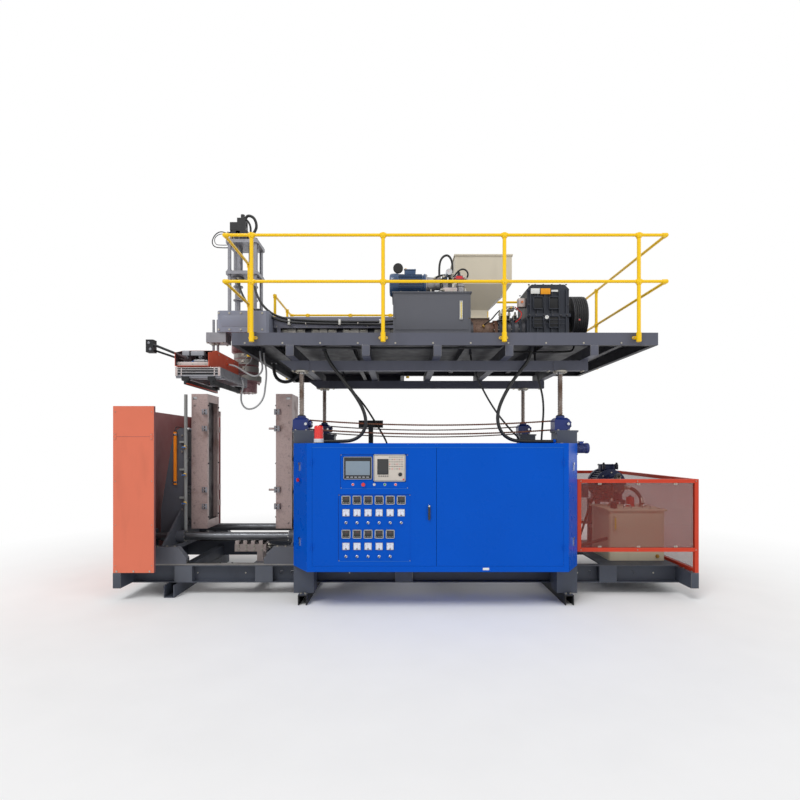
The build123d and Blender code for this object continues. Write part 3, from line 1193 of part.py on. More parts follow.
def sync_pinion():
    """Pinion between the two racks, bored for its stub shaft."""
    gear = along_y(pinion_outline(), RACK_Y - RACK_WIDTH / 2, RACK_Y + RACK_WIDTH / 2)
    return gear - rod((MOULD_X, RACK_Y - RACK_WIDTH, PINION_Z), (MOULD_X, RACK_Y + RACK_WIDTH, PINION_Z),
                      PINION_SHAFT_RADIUS + RUNNING_GAP)


def pinion_stand():
    """Bracket on the base that carries the pinion's stub shaft."""
    near = RACK_Y + RACK_WIDTH / 2 + SEAT_GAP
    inner_rear = LONG_BEAM_REAR_Y - LONG_BEAM_WIDTH
    arm_z = (LONG_BEAM_TOP - 60, LONG_BEAM_TOP - 24)
    bracket = block((MOULD_X - 35, MOULD_X + 35), (near, near + PINION_BRACKET), (arm_z[0], PINION_Z + 26))
    arm = block((MOULD_X - 35, MOULD_X + 35), (near, inner_rear), arm_z)
    shaft = rod((MOULD_X, RACK_Y - RACK_WIDTH / 2 - 4, PINION_Z), (MOULD_X, near + 4, PINION_Z),
                PINION_SHAFT_RADIUS)
    return fuse([bracket, arm, shaft])


def left_rack():
    """Upper rack, bolted under the left carriage's bed."""
    start = UPRIGHT_BACK_X - 81 + BED_LENGTH / 2
    bar = rack(start, UPPER_RACK_END_X, PINION_Z + PITCH_RADIUS, False)
    return bar


def right_rack():
    """Lower rack on a drop bracket under the right carriage's bed."""
    bed_edge = 2 * MOULD_X - (UPRIGHT_BACK_X - 81 + BED_LENGTH)
    bar = rack(LOWER_RACK_END_X, bed_edge + 120, PINION_Z - PITCH_RADIUS, True)
    bracket = block((bed_edge + 30, bed_edge + 100), (RACK_Y - RACK_WIDTH / 2, RACK_Y + RACK_WIDTH / 2),
                    (PINION_Z - PITCH_RADIUS - 10, BED_BOTTOM))
    return bar + bracket


def piston_rod():
    """Rod of the clamp cylinder, fixed to the right carriage's bed."""
    bed_end = 2 * MOULD_X - (UPRIGHT_BACK_X - 81)
    return rod((bed_end, AXIS_Y, CYLINDER_Z), (CYLINDER_START_X + 480, AXIS_Y, CYLINDER_Z), PISTON_ROD_RADIUS)


def left_water_manifold():
    """Upright cooling water pipe in front of the left carriage, with its ball valves and brackets."""
    x = (UPRIGHT_FACE_X + PLATEN_OUTER_X) / 2
    y = AXIS_Y - UPRIGHT_HALF_WIDTH - MANIFOLD_RADIUS - 18
    pieces = [rod((x, y, MANIFOLD_Z[0]), (x, y, MANIFOLD_Z[1]), MANIFOLD_RADIUS)]
    for z in MANIFOLD_VALVES_Z:
        pieces.append(rod((x, y, z), (x, y - 62, z), 15))
        pieces.append(block((x - 32, x + 32), (y - 70, y - 58), (z - 8, z + 8)))
        pieces.append(block((UPRIGHT_BACK_X + 6, x), (y, AXIS_Y - UPRIGHT_HALF_WIDTH - SEAT_GAP),
                            (z + 60, z + 84)))
    return fuse(pieces)


def position_sensor():
    """Bar sensor of the clamp position on the front rib of the left carriage."""
    x = UPRIGHT_BACK_X - 60
    near = AXIS_Y - UPRIGHT_HALF_WIDTH - SEAT_GAP
    bar = block((x - SENSOR_WIDTH / 2, x + SENSOR_WIDTH / 2), (near - 34, near), SENSOR_Z)
    return chamfer(bar.edges().filter_by(Axis.Z), 8)


def deck_plan(inset):
    """Plan outline of the deck: a rectangle with its left part reaching further back."""
    points = [(DECK_LEFT_X + inset, DECK_FRONT_Y + inset), (DECK_RIGHT_X - inset, DECK_FRONT_Y + inset),
              (DECK_RIGHT_X - inset, DECK_REAR_Y - inset), (DECK_STEP_X - inset, DECK_REAR_Y - inset),
              (DECK_STEP_X - inset, DECK_STEP_Y - inset), (DECK_LEFT_X + inset, DECK_STEP_Y - inset)]
    return points


def deck_frame():
    """Welded deck: channel edge, plate, joists, lift beams and their cross beams."""
    edge = along_z(deck_plan(0), DECK_BOTTOM, DECK_TOP) - along_z(deck_plan(CHANNEL_PLATE), DECK_BOTTOM,
                                                                  DECK_TOP)
    flange = along_z(deck_plan(0), DECK_BOTTOM, DECK_BOTTOM + CHANNEL_PLATE)
    flange -= along_z(deck_plan(CHANNEL_FLANGE), DECK_BOTTOM, DECK_BOTTOM + CHANNEL_PLATE)
    plate = along_z(deck_plan(0), DECK_TOP - DECK_SHEET, DECK_TOP)
    pieces = [edge, flange, plate]
    under_plate = DECK_TOP - DECK_SHEET
    for x in DECK_JOISTS_X:
        rear = DECK_STEP_Y if x < DECK_STEP_X else DECK_REAR_Y
        outline = channel_outline(x, x + CHANNEL_FLANGE, under_plate - JOIST_HEIGHT, under_plate,
                                  CHANNEL_PLATE)
        pieces.append(along_y(outline, DECK_FRONT_Y + CHANNEL_PLATE, rear - CHANNEL_PLATE))
    for y in (COLUMN_FRONT_Y, COLUMN_REAR_Y):
        pieces.append(box_section((LIFT_BEAM_START_X, LIFT_BEAM_END_X),
                                  (y - LIFT_BEAM_WIDTH / 2, y + LIFT_BEAM_WIDTH / 2),
                                  (LIFT_BEAM_BOTTOM, LIFT_BEAM_TOP), CHANNEL_PLATE, "x"))
    for x in LIFT_CROSS_X:
        pieces.append(box_section((x - LIFT_CROSS_WIDTH / 2, x + LIFT_CROSS_WIDTH / 2),
                                  (DECK_FRONT_Y, DECK_REAR_Y),
                                  (LIFT_BEAM_TOP, DECK_BOTTOM), CHANNEL_PLATE, "y"))
    for x, y in JACKS:
        out = -1 if x < 0 else 1
        gusset = [(x + out * 95, LIFT_BEAM_BOTTOM), (x + out * 250, LIFT_BEAM_TOP),
                  (x - out * 95, LIFT_BEAM_TOP),
                  (x - out * 95, LIFT_BEAM_BOTTOM)]
        for face in (y - LIFT_BEAM_WIDTH / 2 - CHANNEL_PLATE, y + LIFT_BEAM_WIDTH / 2):
            pieces.append(along_y(gusset, face, face + CHANNEL_PLATE))
    for radius, route in CORDS.values():
        start = Vector(*route[0])
        back = (start - Vector(*route[1])).normalized() * GLAND_LENGTH
        top = start + back
        pieces.append(rod(tuple(start), tuple(top), radius + GLAND_WALL))
        pieces.append(rod(tuple(top), (top.X, top.Y, under_plate), radius + GLAND_WALL / 2))
    return fuse(pieces)


def jack_screws():
    """Four lifting screws with their flanges under the lift beams."""
    screws = []
    for x, y in JACKS:
        screw = rod((x, y, SCREW_BOTTOM), (x, y, LIFT_BEAM_BOTTOM), SCREW_RADIUS)
        flange = rod((x, y, LIFT_BEAM_BOTTOM - SCREW_FLANGE_HEIGHT), (x, y, LIFT_BEAM_BOTTOM),
                     SCREW_FLANGE_RADIUS)
        screws.append(fuse([screw, flange]))
    return screws


def rail_post(x, y, to_x, to_y):
    """One handrail post with its cross and top fittings, and its side flange seated on the deck's channel."""
    half = FITTING_LENGTH / 2
    along_x_share, along_y_share = abs(to_y), abs(to_x)
    pieces = [rod((x, y, POST_BOTTOM), (x, y, TOP_RAIL_Z + POST_CAP), POST_RADIUS)]
    for z, above in ((MID_RAIL_Z, half), (TOP_RAIL_Z, POST_CAP)):
        reach_x = half * along_x_share
        reach_y = half * along_y_share
        pieces.append(rod((x - reach_x, y - reach_y, z), (x + reach_x, y + reach_y, z), RAIL_SOCKET_RADIUS))
        pieces.append(rod((x, y, z - half), (x, y, z + above), POST_SOCKET_RADIUS))
    reach = RAIL_OFFSET - SEAT_GAP
    face = (x + to_x * reach, y + to_y * reach, FLANGE_Z)
    back = (x + to_x * (reach - FLANGE_THICKNESS), y + to_y * (reach - FLANGE_THICKNESS), FLANGE_Z)
    pieces.append(rod((x, y, FLANGE_Z), face, FLANGE_NECK_RADIUS))
    pieces.append(rod(back, face, FLANGE_RADIUS))
    pieces.append(rod((x, y, FLANGE_Z - FLANGE_SOCKET_HALF), (x, y, FLANGE_Z + FLANGE_SOCKET_HALF),
                      FITTING_RADIUS))
    return fuse(pieces)


def rail_run(near, far, z, places):
    """Straight rails from one corner to the next, between the fittings of the posts that stand on the run."""
    length = math.dist(near, far)
    to_x = (far[0] - near[0]) / length
    to_y = (far[1] - near[1]) / length
    stops = []
    for x, y, *facing in places:
        along = (x - near[0]) * to_x + (y - near[1]) * to_y
        aside = (y - near[1]) * to_x - (x - near[0]) * to_y
        if abs(aside) < RAIL_RADIUS and -RAIL_RADIUS < along < length + RAIL_RADIUS:
            stops.append(along)
    half = FITTING_LENGTH / 2
    rails = []
    start = 0.0
    for stop in sorted(stops) + [length + half]:
        end = stop - half
        if end > start:
            first = (near[0] + start * to_x, near[1] + start * to_y, z)
            last = (near[0] + end * to_x, near[1] + end * to_y, z)
            rails.append(rod(first, last, RAIL_RADIUS))
        start = stop + half
    return rails


def handrails():
    """Tube handrail in two heights: straight rails between cast fittings on fourteen posts."""
    left = DECK_LEFT_X - RAIL_OFFSET
    right = DECK_RIGHT_X + RAIL_OFFSET
    front = DECK_FRONT_Y - RAIL_OFFSET
    rear = DECK_REAR_Y + RAIL_OFFSET
    step_y = DECK_STEP_Y + RAIL_OFFSET
    step_x = DECK_STEP_X + RAIL_OFFSET
    inset = DECK_RIGHT_X - FRONT_POSTS_X[-1]
    places = [(x, front, 0, 1) for x in FRONT_POSTS_X]
    places += [(left, y, 1, 0) for y in (LEFT_GAP_FRONT_Y, LEFT_GAP_REAR_Y, DECK_STEP_Y - inset)]
    places += [(x, step_y, 0, -1) for x in (FRONT_POSTS_X[0], LEFT_REAR_POST_X, DECK_STEP_X - inset)]
    places += [(step_x, (DECK_REAR_Y + DECK_STEP_Y) / 2, -1, 0)]
    places += [(x, rear, 0, -1) for x in (REAR_POST_X, FRONT_POSTS_X[-1])]
    places += [(right, END_POST_Y, -1, 0)]
    posts = [rail_post(*place) for place in places]
    path = [(left, LEFT_GAP_FRONT_Y), (left, front), (right, front), (right, rear), (step_x, rear),
            (step_x, step_y), (left, step_y), (left, LEFT_GAP_REAR_Y)]
    rails = []
    for z in (MID_RAIL_Z, TOP_RAIL_Z):
        elbow = None
        for index, (near, far) in enumerate(zip(path, path[1:])):
            run = rail_run(near, far, z, places)
            if elbow is not None:
                run[0] -= elbow
            if index < len(path) - 2:
                elbow = Pos(*far, z) * Sphere(ELBOW_RADIUS)
                run[-1] += elbow
            rails += run
    return posts + rails


def barrel():
    """Extruder barrel with its feed block, adaptor to the gearbox and pedestals, bored for the screw."""
    y = AXIS_Y
    z = BARREL_Z
    pieces = [rod((BARREL_START_X, y, z), (BARREL_END_X, y, z), BARREL_RADIUS),
              rod((BARREL_END_X, y, z), (BARREL_END_X + 40, y, z), FEED_RADIUS + 15),
              rod((BARREL_END_X + 40, y, z), (FEED_END_X, y, z), FEED_RADIUS),
              rod((FEED_END_X, y, z), (FEED_END_X + 45, y, z), ADAPTOR_RADIUS),
              Solid.make_cone(ADAPTOR_RADIUS - 25, ADAPTOR_RADIUS + 20,
                              GEARBOX_X[0] - FEED_END_X - 45 - SEAT_GAP,
                              Plane(origin=(FEED_END_X + 45, y, z), z_dir=(1, 0, 0))),
              block((HOPPER_THROAT_X[0] - 30, HOPPER_THROAT_X[1] + 30), (y - 110, y + 110),
                    (z, THROAT_SEAT_Z))]
    for x in PEDESTALS_X:
        foot = [(x - PEDESTAL_WIDTH, DECK_TOP), (x + PEDESTAL_WIDTH, DECK_TOP),
                (x + 20, z - BARREL_RADIUS + 30),
                (x - 20, z - BARREL_RADIUS + 30)]
        pieces.append(along_y(foot, y - 90, y + 90))
    feed_foot_x = (BARREL_END_X + FEED_END_X) / 2
    pieces.append(block((feed_foot_x - 70, feed_foot_x + 70), (y - 110, y + 110), (DECK_TOP, z)))
    bore = rod((BARREL_START_X - 1, y, z), (GEARBOX_X[0] + 1, y, z), BORE_RADIUS + RUNNING_GAP)
    throat = block((HOPPER_THROAT_X[0] + 20, HOPPER_THROAT_X[1] - 20), (y - 60, y + 60),
                   (z, THROAT_SEAT_Z + 1))
    return fuse(pieces) - bore - throat


def extruder_screw():
    """Screw inside the barrel: shank, conical tip and the flight as a row of collars."""
    y = AXIS_Y
    z = BARREL_Z
    start = BARREL_START_X + 60
    core = rod((start, y, z), (GEARBOX_X[0] - SEAT_GAP, y, z), BORE_RADIUS - 12)
    tip = Solid.make_cone(BORE_RADIUS - 12, 6, 50, Plane(origin=(start, y, z), z_dir=(-1, 0, 0)))
    pitch = 2 * BORE_RADIUS * 2
    flights = []
    x = start + pitch / 2
    while x < FEED_END_X:
        flights.append(rod((x, y, z), (x + 14, y, z), BORE_RADIUS))
        x += pitch
    seal = rod((FEED_END_X + 60, y, z), (GEARBOX_X[0] - SEAT_GAP, y, z), BORE_RADIUS)
    return fuse([core, tip, seal] + flights)


def band_starts():
    """Left ends of the heater bands along the barrel."""
    return [BARREL_START_X + 70 + index * (BAND_LENGTH + BAND_GAP) for index in range(BAND_COUNT)]


def heater_bands():
    """Clamped heater bands round the barrel, each with its terminal box."""
    bands = []
    for x in band_starts():
        inner = BARREL_RADIUS + SEAT_GAP
        end = x + BAND_LENGTH
        ring = rod((x, AXIS_Y, BARREL_Z), (end, AXIS_Y, BARREL_Z), BAND_RADIUS)
        box = block((x + 120, x + 220), (AXIS_Y - BAND_RADIUS - 34, AXIS_Y), (BARREL_Z - 40, BARREL_Z + 40))
        bore = rod((x - 1, AXIS_Y, BARREL_Z), (end + 1, AXIS_Y, BARREL_Z), inner)
        pedestals = [block((foot - PEDESTAL_WIDTH, foot + PEDESTAL_WIDTH), (AXIS_Y - 91, AXIS_Y + 91),
                           (DECK_TOP, BARREL_Z)) for foot in PEDESTALS_X]
        bands.append(fuse([ring, box]) - bore - pedestals)
    return bands


def barrel_cover():
    """Folded sheet cover over the barrel, standing on legs outside the bands."""
    y = AXIS_Y
    w = COVER_HALF_WIDTH
    s = COVER_SHEET
    bend = COVER_BEND
    outline = [(y - w, COVER_BOTTOM), (y - w, COVER_TOP - bend), (y - w + bend, COVER_TOP),
               (y + w - bend, COVER_TOP), (y + w, COVER_TOP - bend), (y + w, COVER_BOTTOM),
               (y + w - s, COVER_BOTTOM), (y + w - s, COVER_TOP - s), (y - w + s, COVER_TOP - s),
               (y - w + s, COVER_BOTTOM)]
    pieces = [along_x(outline, COVER_START_X, COVER_END_X)]
    for start in (COVER_START_X + 40, COVER_END_X - 90):
        for side in (-1, 1):
            leg_y = sorted((y + side * (w - s), y + side * (w - s - 30)))
            pieces.append(block((start, start + 50), leg_y, (DECK_TOP, COVER_TOP - 2 * s)))
    return fuse(pieces)


def hopper_form(inset):
    """Solid form of the hopper: throat, tapered middle and straight top, drawn in by the inset."""
    def rectangle(x, y, z):
        width = x[1] - x[0] - 2 * inset
        depth = y[1] - y[0] - 2 * inset
        return Pos(sum(x) / 2, sum(y) / 2, z) * Rectangle(width, depth)

    low = rectangle(HOPPER_THROAT_X, HOPPER_THROAT_Y, HOPPER_THROAT_Z)
    high = rectangle(HOPPER_TOP_X, HOPPER_TOP_Y, HOPPER_BREAK_Z)
    extra = 1 if inset else 0
    throat = extrude(rectangle(HOPPER_THROAT_X, HOPPER_THROAT_Y, THROAT_SEAT_Z - extra),
                     HOPPER_THROAT_Z - THROAT_SEAT_Z + extra)
    top = extrude(high, HOPPER_TOP_Z - HOPPER_BREAK_Z + extra)
    return fuse([throat, loft([low, high]), top])


def hopper():
    """Open sheet hopper standing on the feed block."""
    shell = hopper_form(0) - hopper_form(HOPPER_SHEET)
    rim_y = HOPPER_TOP_Y
    rim_x = HOPPER_TOP_X
    rim = block((rim_x[0] - 12, rim_x[1] + 12), (rim_y[0] - 12, rim_y[1] + 12),
                (HOPPER_TOP_Z - 20, HOPPER_TOP_Z))
    rim -= block((rim_x[0] + 1, rim_x[1] - 1), (rim_y[0] + 1, rim_y[1] - 1),
                 (HOPPER_TOP_Z - 21, HOPPER_TOP_Z + 1))
    seat = block((HOPPER_THROAT_X[0] - 25, HOPPER_THROAT_X[1] + 25),
                 (HOPPER_THROAT_Y[0] - 25, HOPPER_THROAT_Y[1] + 25),
                 (THROAT_SEAT_Z, THROAT_SEAT_Z + 10))
    seat -= block((HOPPER_THROAT_X[0] + 1, HOPPER_THROAT_X[1] - 1),
                  (HOPPER_THROAT_Y[0] + 1, HOPPER_THROAT_Y[1] - 1),
                  (THROAT_SEAT_Z - 1, THROAT_SEAT_Z + 11))
    return fuse([shell, rim, seat])


def gearbox():
    """Ribbed cast gearbox with a split line flange, bearing bosses and feet."""
    low = DECK_TOP
    split = SHEAVE_Z
    corner = 60
    outline = [(GEARBOX_X[0], low), (GEARBOX_X[1], low), (GEARBOX_X[1], GEARBOX_TOP - corner),
               (GEARBOX_X[1] - corner, GEARBOX_TOP), (GEARBOX_X[0] + corner, GEARBOX_TOP),
               (GEARBOX_X[0], GEARBOX_TOP - corner)]
    y0, y1 = GEARBOX_Y
    rib_depth = 22
    pieces = [along_y(outline, y0 + rib_depth, y1 - rib_depth)]
    pieces.append(block((GEARBOX_X[0], GEARBOX_X[1] + 20), (y0, y1), (split - 20, split + 20)))
    pieces.append(block((GEARBOX_X[0], GEARBOX_X[1] + 30), (y0 - 10, y1 + 10), (low, low + 30)))
    count = 6
    pitch = (GEARBOX_X[1] - GEARBOX_X[0] - 80) / (count - 1)
    for index in range(count):
        x = GEARBOX_X[0] + 40 + index * pitch
        pieces.append(block((x - 8, x + 8), (y0, y1), (low, GEARBOX_TOP - 70)))
    boss_end = SHEAVE_X[0] - 22
    pieces.append(rod((GEARBOX_X[1], AXIS_Y, SHEAVE_Z), (boss_end, AXIS_Y, SHEAVE_Z), 110))
    shaft_bore = rod((GEARBOX_X[1] - 100, AXIS_Y, SHEAVE_Z), (boss_end + 1, AXIS_Y, SHEAVE_Z),
                     SHAFT_RADIUS + RUNNING_GAP)
    pieces.append(rod((GEARBOX_X[0] + 200, AXIS_Y, GEARBOX_TOP - 5),
                      (GEARBOX_X[0] + 200, AXIS_Y, GEARBOX_TOP + 50), 30))
    return fuse(pieces) - shaft_bore


def groove_pitch():
    """Distance from one belt groove to the next."""
    return (SHEAVE_X[1] - SHEAVE_X[0] - 2 * RIM_MARGIN) / SHEAVE_GROOVES


def grooved_wheel(y, z, radius, web):
    """A multi-groove belt wheel on the belt line, turned about X."""
    start, end = SHEAVE_X
    pitch = groove_pitch()
    flank_run = pitch * (GROOVE_SHARE - GROOVE_BOTTOM_SHARE) / 2
    rim = [(start, 0), (start, radius)]
    for index in range(SHEAVE_GROOVES):
        x = start + RIM_MARGIN + index * pitch
        far = x + pitch * GROOVE_SHARE
        rim += [(x, radius), (x + flank_run, radius - GROOVE_DEPTH), (far - flank_run, radius - GROOVE_DEPTH),
                (far, radius)]
    rim += [(end, radius), (end, 0)]
    face = Plane.XZ * Polygon(*rim, align=None)
    wheel = Pos(0, y, z) * revolve(face, Axis.X)
    if web:
        recess = rod((end - 60, y, z), (end + 1, y, z), radius - 50) - rod((end - 60, y, z), (end + 1, y, z),
                                                                           85)
        wheel -= recess
        for index in range(5):
            angle = 2 * math.pi * index / 5
            hole_y = y + (radius - 145) * math.cos(angle)
            hole_z = z + (radius - 145) * math.sin(angle)
            wheel -= rod((start - 1, hole_y, hole_z), (end + 1, hole_y, hole_z), 48)
    return wheel


def drive_sheave():
    """Large sheave with its shaft in the gearbox boss."""
    shaft = rod((GEARBOX_X[1] - 80, AXIS_Y, SHEAVE_Z), (SHEAVE_X[1] + 15, AXIS_Y, SHEAVE_Z), SHAFT_RADIUS)
    return fuse([grooved_wheel(AXIS_Y, SHEAVE_Z, SHEAVE_RADIUS, True), shaft])


def motor_pulley():
    """Small pulley on the main motor's shaft."""
    shaft = rod((MOTOR_X[1] - 60, MOTOR_Y, MOTOR_Z), (SHEAVE_X[1] + 10, MOTOR_Y, MOTOR_Z), MOTOR_SHAFT_RADIUS)
    return fuse([grooved_wheel(MOTOR_Y, MOTOR_Z, PULLEY_RADIUS, False), shaft])


def main_motor():
    """Main extruder motor with fins, terminal box, feet and a boss bored for the pulley's shaft."""
    body = finned_motor(MOTOR_X[1] - 30, MOTOR_X[0], MOTOR_Y, MOTOR_Z, MOTOR_RADIUS, 16)
    shield = rod((MOTOR_X[1] - 30, MOTOR_Y, MOTOR_Z), (MOTOR_X[1], MOTOR_Y, MOTOR_Z), MOTOR_RADIUS - 30)
    box = block((MOTOR_X[0] + 230, MOTOR_X[0] + 430), (MOTOR_Y - 90, MOTOR_Y + 90),
                (MOTOR_Z + 150, MOTOR_Z + 260))
    feet = [block((MOTOR_X[0] + 160, MOTOR_X[1] - 60), (MOTOR_Y + side - 35, MOTOR_Y + side + 35),
                  (DECK_TOP, MOTOR_Z - 90)) for side in (-130, 130)]
    bore = rod((MOTOR_X[1] - 90, MOTOR_Y, MOTOR_Z), (MOTOR_X[1] + 1, MOTOR_Y, MOTOR_Z),
               MOTOR_SHAFT_RADIUS + RUNNING_GAP)
    return fuse([body, shield, box] + feet) - bore


def drive_belts():
    """V belts round the sheave and the pulley, one in each groove, seated on the groove's flanks."""
    run_y = MOTOR_Y - AXIS_Y
    run_z = MOTOR_Z - SHEAVE_Z
    distance = math.hypot(run_y, run_z)
    heading = math.atan2(run_z, run_y)

    def loop_face(offset_from_rim):
        big = SHEAVE_RADIUS + offset_from_rim
        small = PULLEY_RADIUS + offset_from_rim
        lean = math.acos((big - small) / distance)

        def around(centre_y, centre_z, radius, angle):
            return 0, centre_y + radius * math.cos(angle), centre_z + radius * math.sin(angle)

        back = ThreePointArc(*(around(AXIS_Y, SHEAVE_Z, big, heading + angle) for angle in (lean, math.pi,
                                                                                            -lean)))
        front = ThreePointArc(*(around(MOTOR_Y, MOTOR_Z, small, heading + angle) for angle in (-lean, 0,
                                                                                               lean)))
        return make_face([back, Line(back @ 1, front @ 0), front, Line(front @ 1, back @ 0)])

    pitch = groove_pitch()
    half_top = pitch * GROOVE_SHARE / 2
    half_bottom = pitch * GROOVE_BOTTOM_SHARE / 2
    flank = math.atan2(half_top - half_bottom, GROOVE_DEPTH)
    half = half_top + (half_bottom - half_top) * BELT_SINK / GROOVE_DEPTH - SEAT_GAP / math.cos(flank)
    loop = loop_face(BELT_RISE) - loop_face(-BELT_SINK)
    belts = []
    for index in range(SHEAVE_GROOVES):
        middle = SHEAVE_X[0] + RIM_MARGIN + index * pitch + half_top
        belts.append(extrude(Pos(middle - half, 0, 0) * loop, 2 * half, dir=(1, 0, 0)))
    return belts


def die_head():
    """Accumulator head: stepped body with its die, hung in a housing that is carried by the deck's edge."""
    profile = [(0, DIE_BOTTOM), (DIE_RADIUS, DIE_BOTTOM), (DIE_RADIUS, DIE_TOP), (HEAD_RADIUS, DIE_TOP + 18),
               (HEAD_RADIUS, DIE_TOP + 100), (HEAD_NECK_RADIUS, DIE_TOP + 130), (HEAD_NECK_RADIUS, 3110),
               (HEAD_RADIUS, 3140), (HEAD_RADIUS, HEAD_BOX_Z[0]), (0, HEAD_BOX_Z[0])]
    body = Pos(MOULD_X, AXIS_Y, 0) * revolve(Plane.XZ * Polygon(*profile, align=None), Axis.Z)
    housing = chamfer(block(HEAD_BOX_X, HEAD_BOX_Y, HEAD_BOX_Z).edges().filter_by(Axis.Z), 30)
    legs = []
    for y in (HEAD_BOX_Y[0] + 60, HEAD_BOX_Y[1] - 60):
        legs.append(block((DECK_LEFT_X, HEAD_BOX_X[1]), (y - 60, y + 60), (DECK_TOP, HEAD_BOX_Z[0])))
    stem_bore = rod((MOULD_X, AXIS_Y, DIE_BOTTOM - 1), (MOULD_X, AXIS_Y, HEAD_BOX_Z[0]),
                    MANDREL_RADIUS + RUNNING_GAP)
    inlet = rod((HEAD_BOX_X[1] - 10, AXIS_Y, BARREL_Z), (BARREL_START_X - SEAT_GAP, AXIS_Y, BARREL_Z),
                BARREL_RADIUS + 20)
    studs = []
    for index in range(8):
        angle = 2 * math.pi * (index + 0.5) / 8
        x = MOULD_X + (DIE_RADIUS + 26) * math.cos(angle)
        y = AXIS_Y + (DIE_RADIUS + 26) * math.sin(angle)
        studs.append(hexagon_bar((x, y, DIE_TOP - 12), (x, y, DIE_TOP + 60), 13))
    return fuse([body, housing, inlet] + legs + studs) - stem_bore


def die_mandrel():
    """Mandrel that sets the parison's wall, sliding in the head's bore."""
    low = DIE_BOTTOM + MANDREL_TRAVEL
    return rod((MOULD_X, AXIS_Y, low), (MOULD_X, AXIS_Y, HEAD_BOX_Z[0] - MANDREL_TRAVEL - 30), MANDREL_RADIUS)


def head_tower():
    """Tower on the head: three flanges on four tie rods, two push-out cylinders and the servo valve block."""
    y_limits = (AXIS_Y - TOWER_HALF_DEPTH, AXIS_Y + TOWER_HALF_DEPTH)
    pieces = []
    for z in (HEAD_BOX_Z[1], TOWER_MIDDLE_Z, TOWER_TOP_Z):
        flange = block(TOWER_X, y_limits, (z, z + TOWER_PLATE))
        pieces.append(chamfer(flange.edges().filter_by(Axis.Z), 25))
    middle_x = sum(TOWER_X) / 2
    for x in (TOWER_X[0] + 45, TOWER_X[1] - 45):
        for y in (y_limits[0] + 45, y_limits[1] - 45):
            pieces.append(rod((x, y, HEAD_BOX_Z[1]), (x, y, TOWER_TOP_Z + TOWER_PLATE + 30),
                              TOWER_ROD_RADIUS))
            for z in (TOWER_MIDDLE_Z + TOWER_PLATE, TOWER_TOP_Z + TOWER_PLATE):
                pieces.append(hexagon_bar((x, y, z), (x, y, z + 22), 36))
    for x in (middle_x - 105, middle_x + 105):
        pieces.append(rod((x, AXIS_Y, TOWER_MIDDLE_Z), (x, AXIS_Y, TOWER_TOP_Z), TOWER_CYLINDER_RADIUS))
        pieces.append(rod((x, AXIS_Y, HEAD_BOX_Z[1]), (x, AXIS_Y, TOWER_MIDDLE_Z), TOWER_CYLINDER_RADIUS / 2))
    tower = fuse(pieces)
    top = TOWER_TOP_Z + TOWER_PLATE
    middle_servo = sum(SERVO_X) / 2
    servo = [block(SERVO_X, (AXIS_Y - 80, AXIS_Y + 80), (top, top + 170)),
             block((middle_servo - 45, middle_servo + 75), (AXIS_Y - 55, AXIS_Y + 55),
                   (top + 170, SERVO_TOP - 60)),
             rod((middle_servo + 20, AXIS_Y, SERVO_TOP - 60), (middle_servo + 20, AXIS_Y, SERVO_TOP), 28),
             block((SERVO_X[0] - 45, SERVO_X[0] + 60), (AXIS_Y - 40, AXIS_Y + 40), (top + 190, top + 300)),
             block((SERVO_X[0] - 45, SERVO_X[0]), (AXIS_Y - 30, AXIS_Y + 30), (top + 60, top + 190))]
    return tower, fuse(servo)


def station_tank():
    """Grey oil tank with a lid plate, a side cover with its seam and a level gauge."""
    tank = block(STATION_X, STATION_Y, (DECK_TOP + 40, STATION_TOP - STATION_LID))
    lid = block((STATION_X[0] - 14, STATION_X[1] + 14), (STATION_Y[0] - 14, STATION_Y[1] + 14),
                (STATION_TOP - STATION_LID, STATION_TOP))
    plate = block((STATION_X[0] + 30, STATION_X[1] - 30), (STATION_Y[0] - 6, STATION_Y[0]),
                  (DECK_TOP + 100, STATION_TOP - 90))
    gauge = block((STATION_X[1] - 130, STATION_X[1] - 96), (STATION_Y[0] - 18, STATION_Y[0]),
                  (STATION_TOP - 330, STATION_TOP - 110))
    feet = [block((x, x + 90), STATION_Y, (DECK_TOP, DECK_TOP + 40)) for x in (STATION_X[0] + 60,
                                                                               STATION_X[1] - 150)]
    return fuse([tank, lid, plate, gauge] + feet)


def hose_run(points, radius):
    """A bent hose along straight runs joined by arcs as large as its runs allow."""
    corners = [Vector(*point) for point in points]
    radii = []
    for before, corner, after in zip(corners, corners[1:], corners[2:]):
        first = corner - before
        second = after - corner
        turn = math.radians(first.get_angle(second))
        radii.append(0.45 * min(first.length, second.length) / math.tan(turn / 2))
    line = FilletPolyline(*points, radius=radii)
    section = Plane(origin=line @ 0, z_dir=line % 0) * Circle(radius)
    return sweep(section, line), line, radii


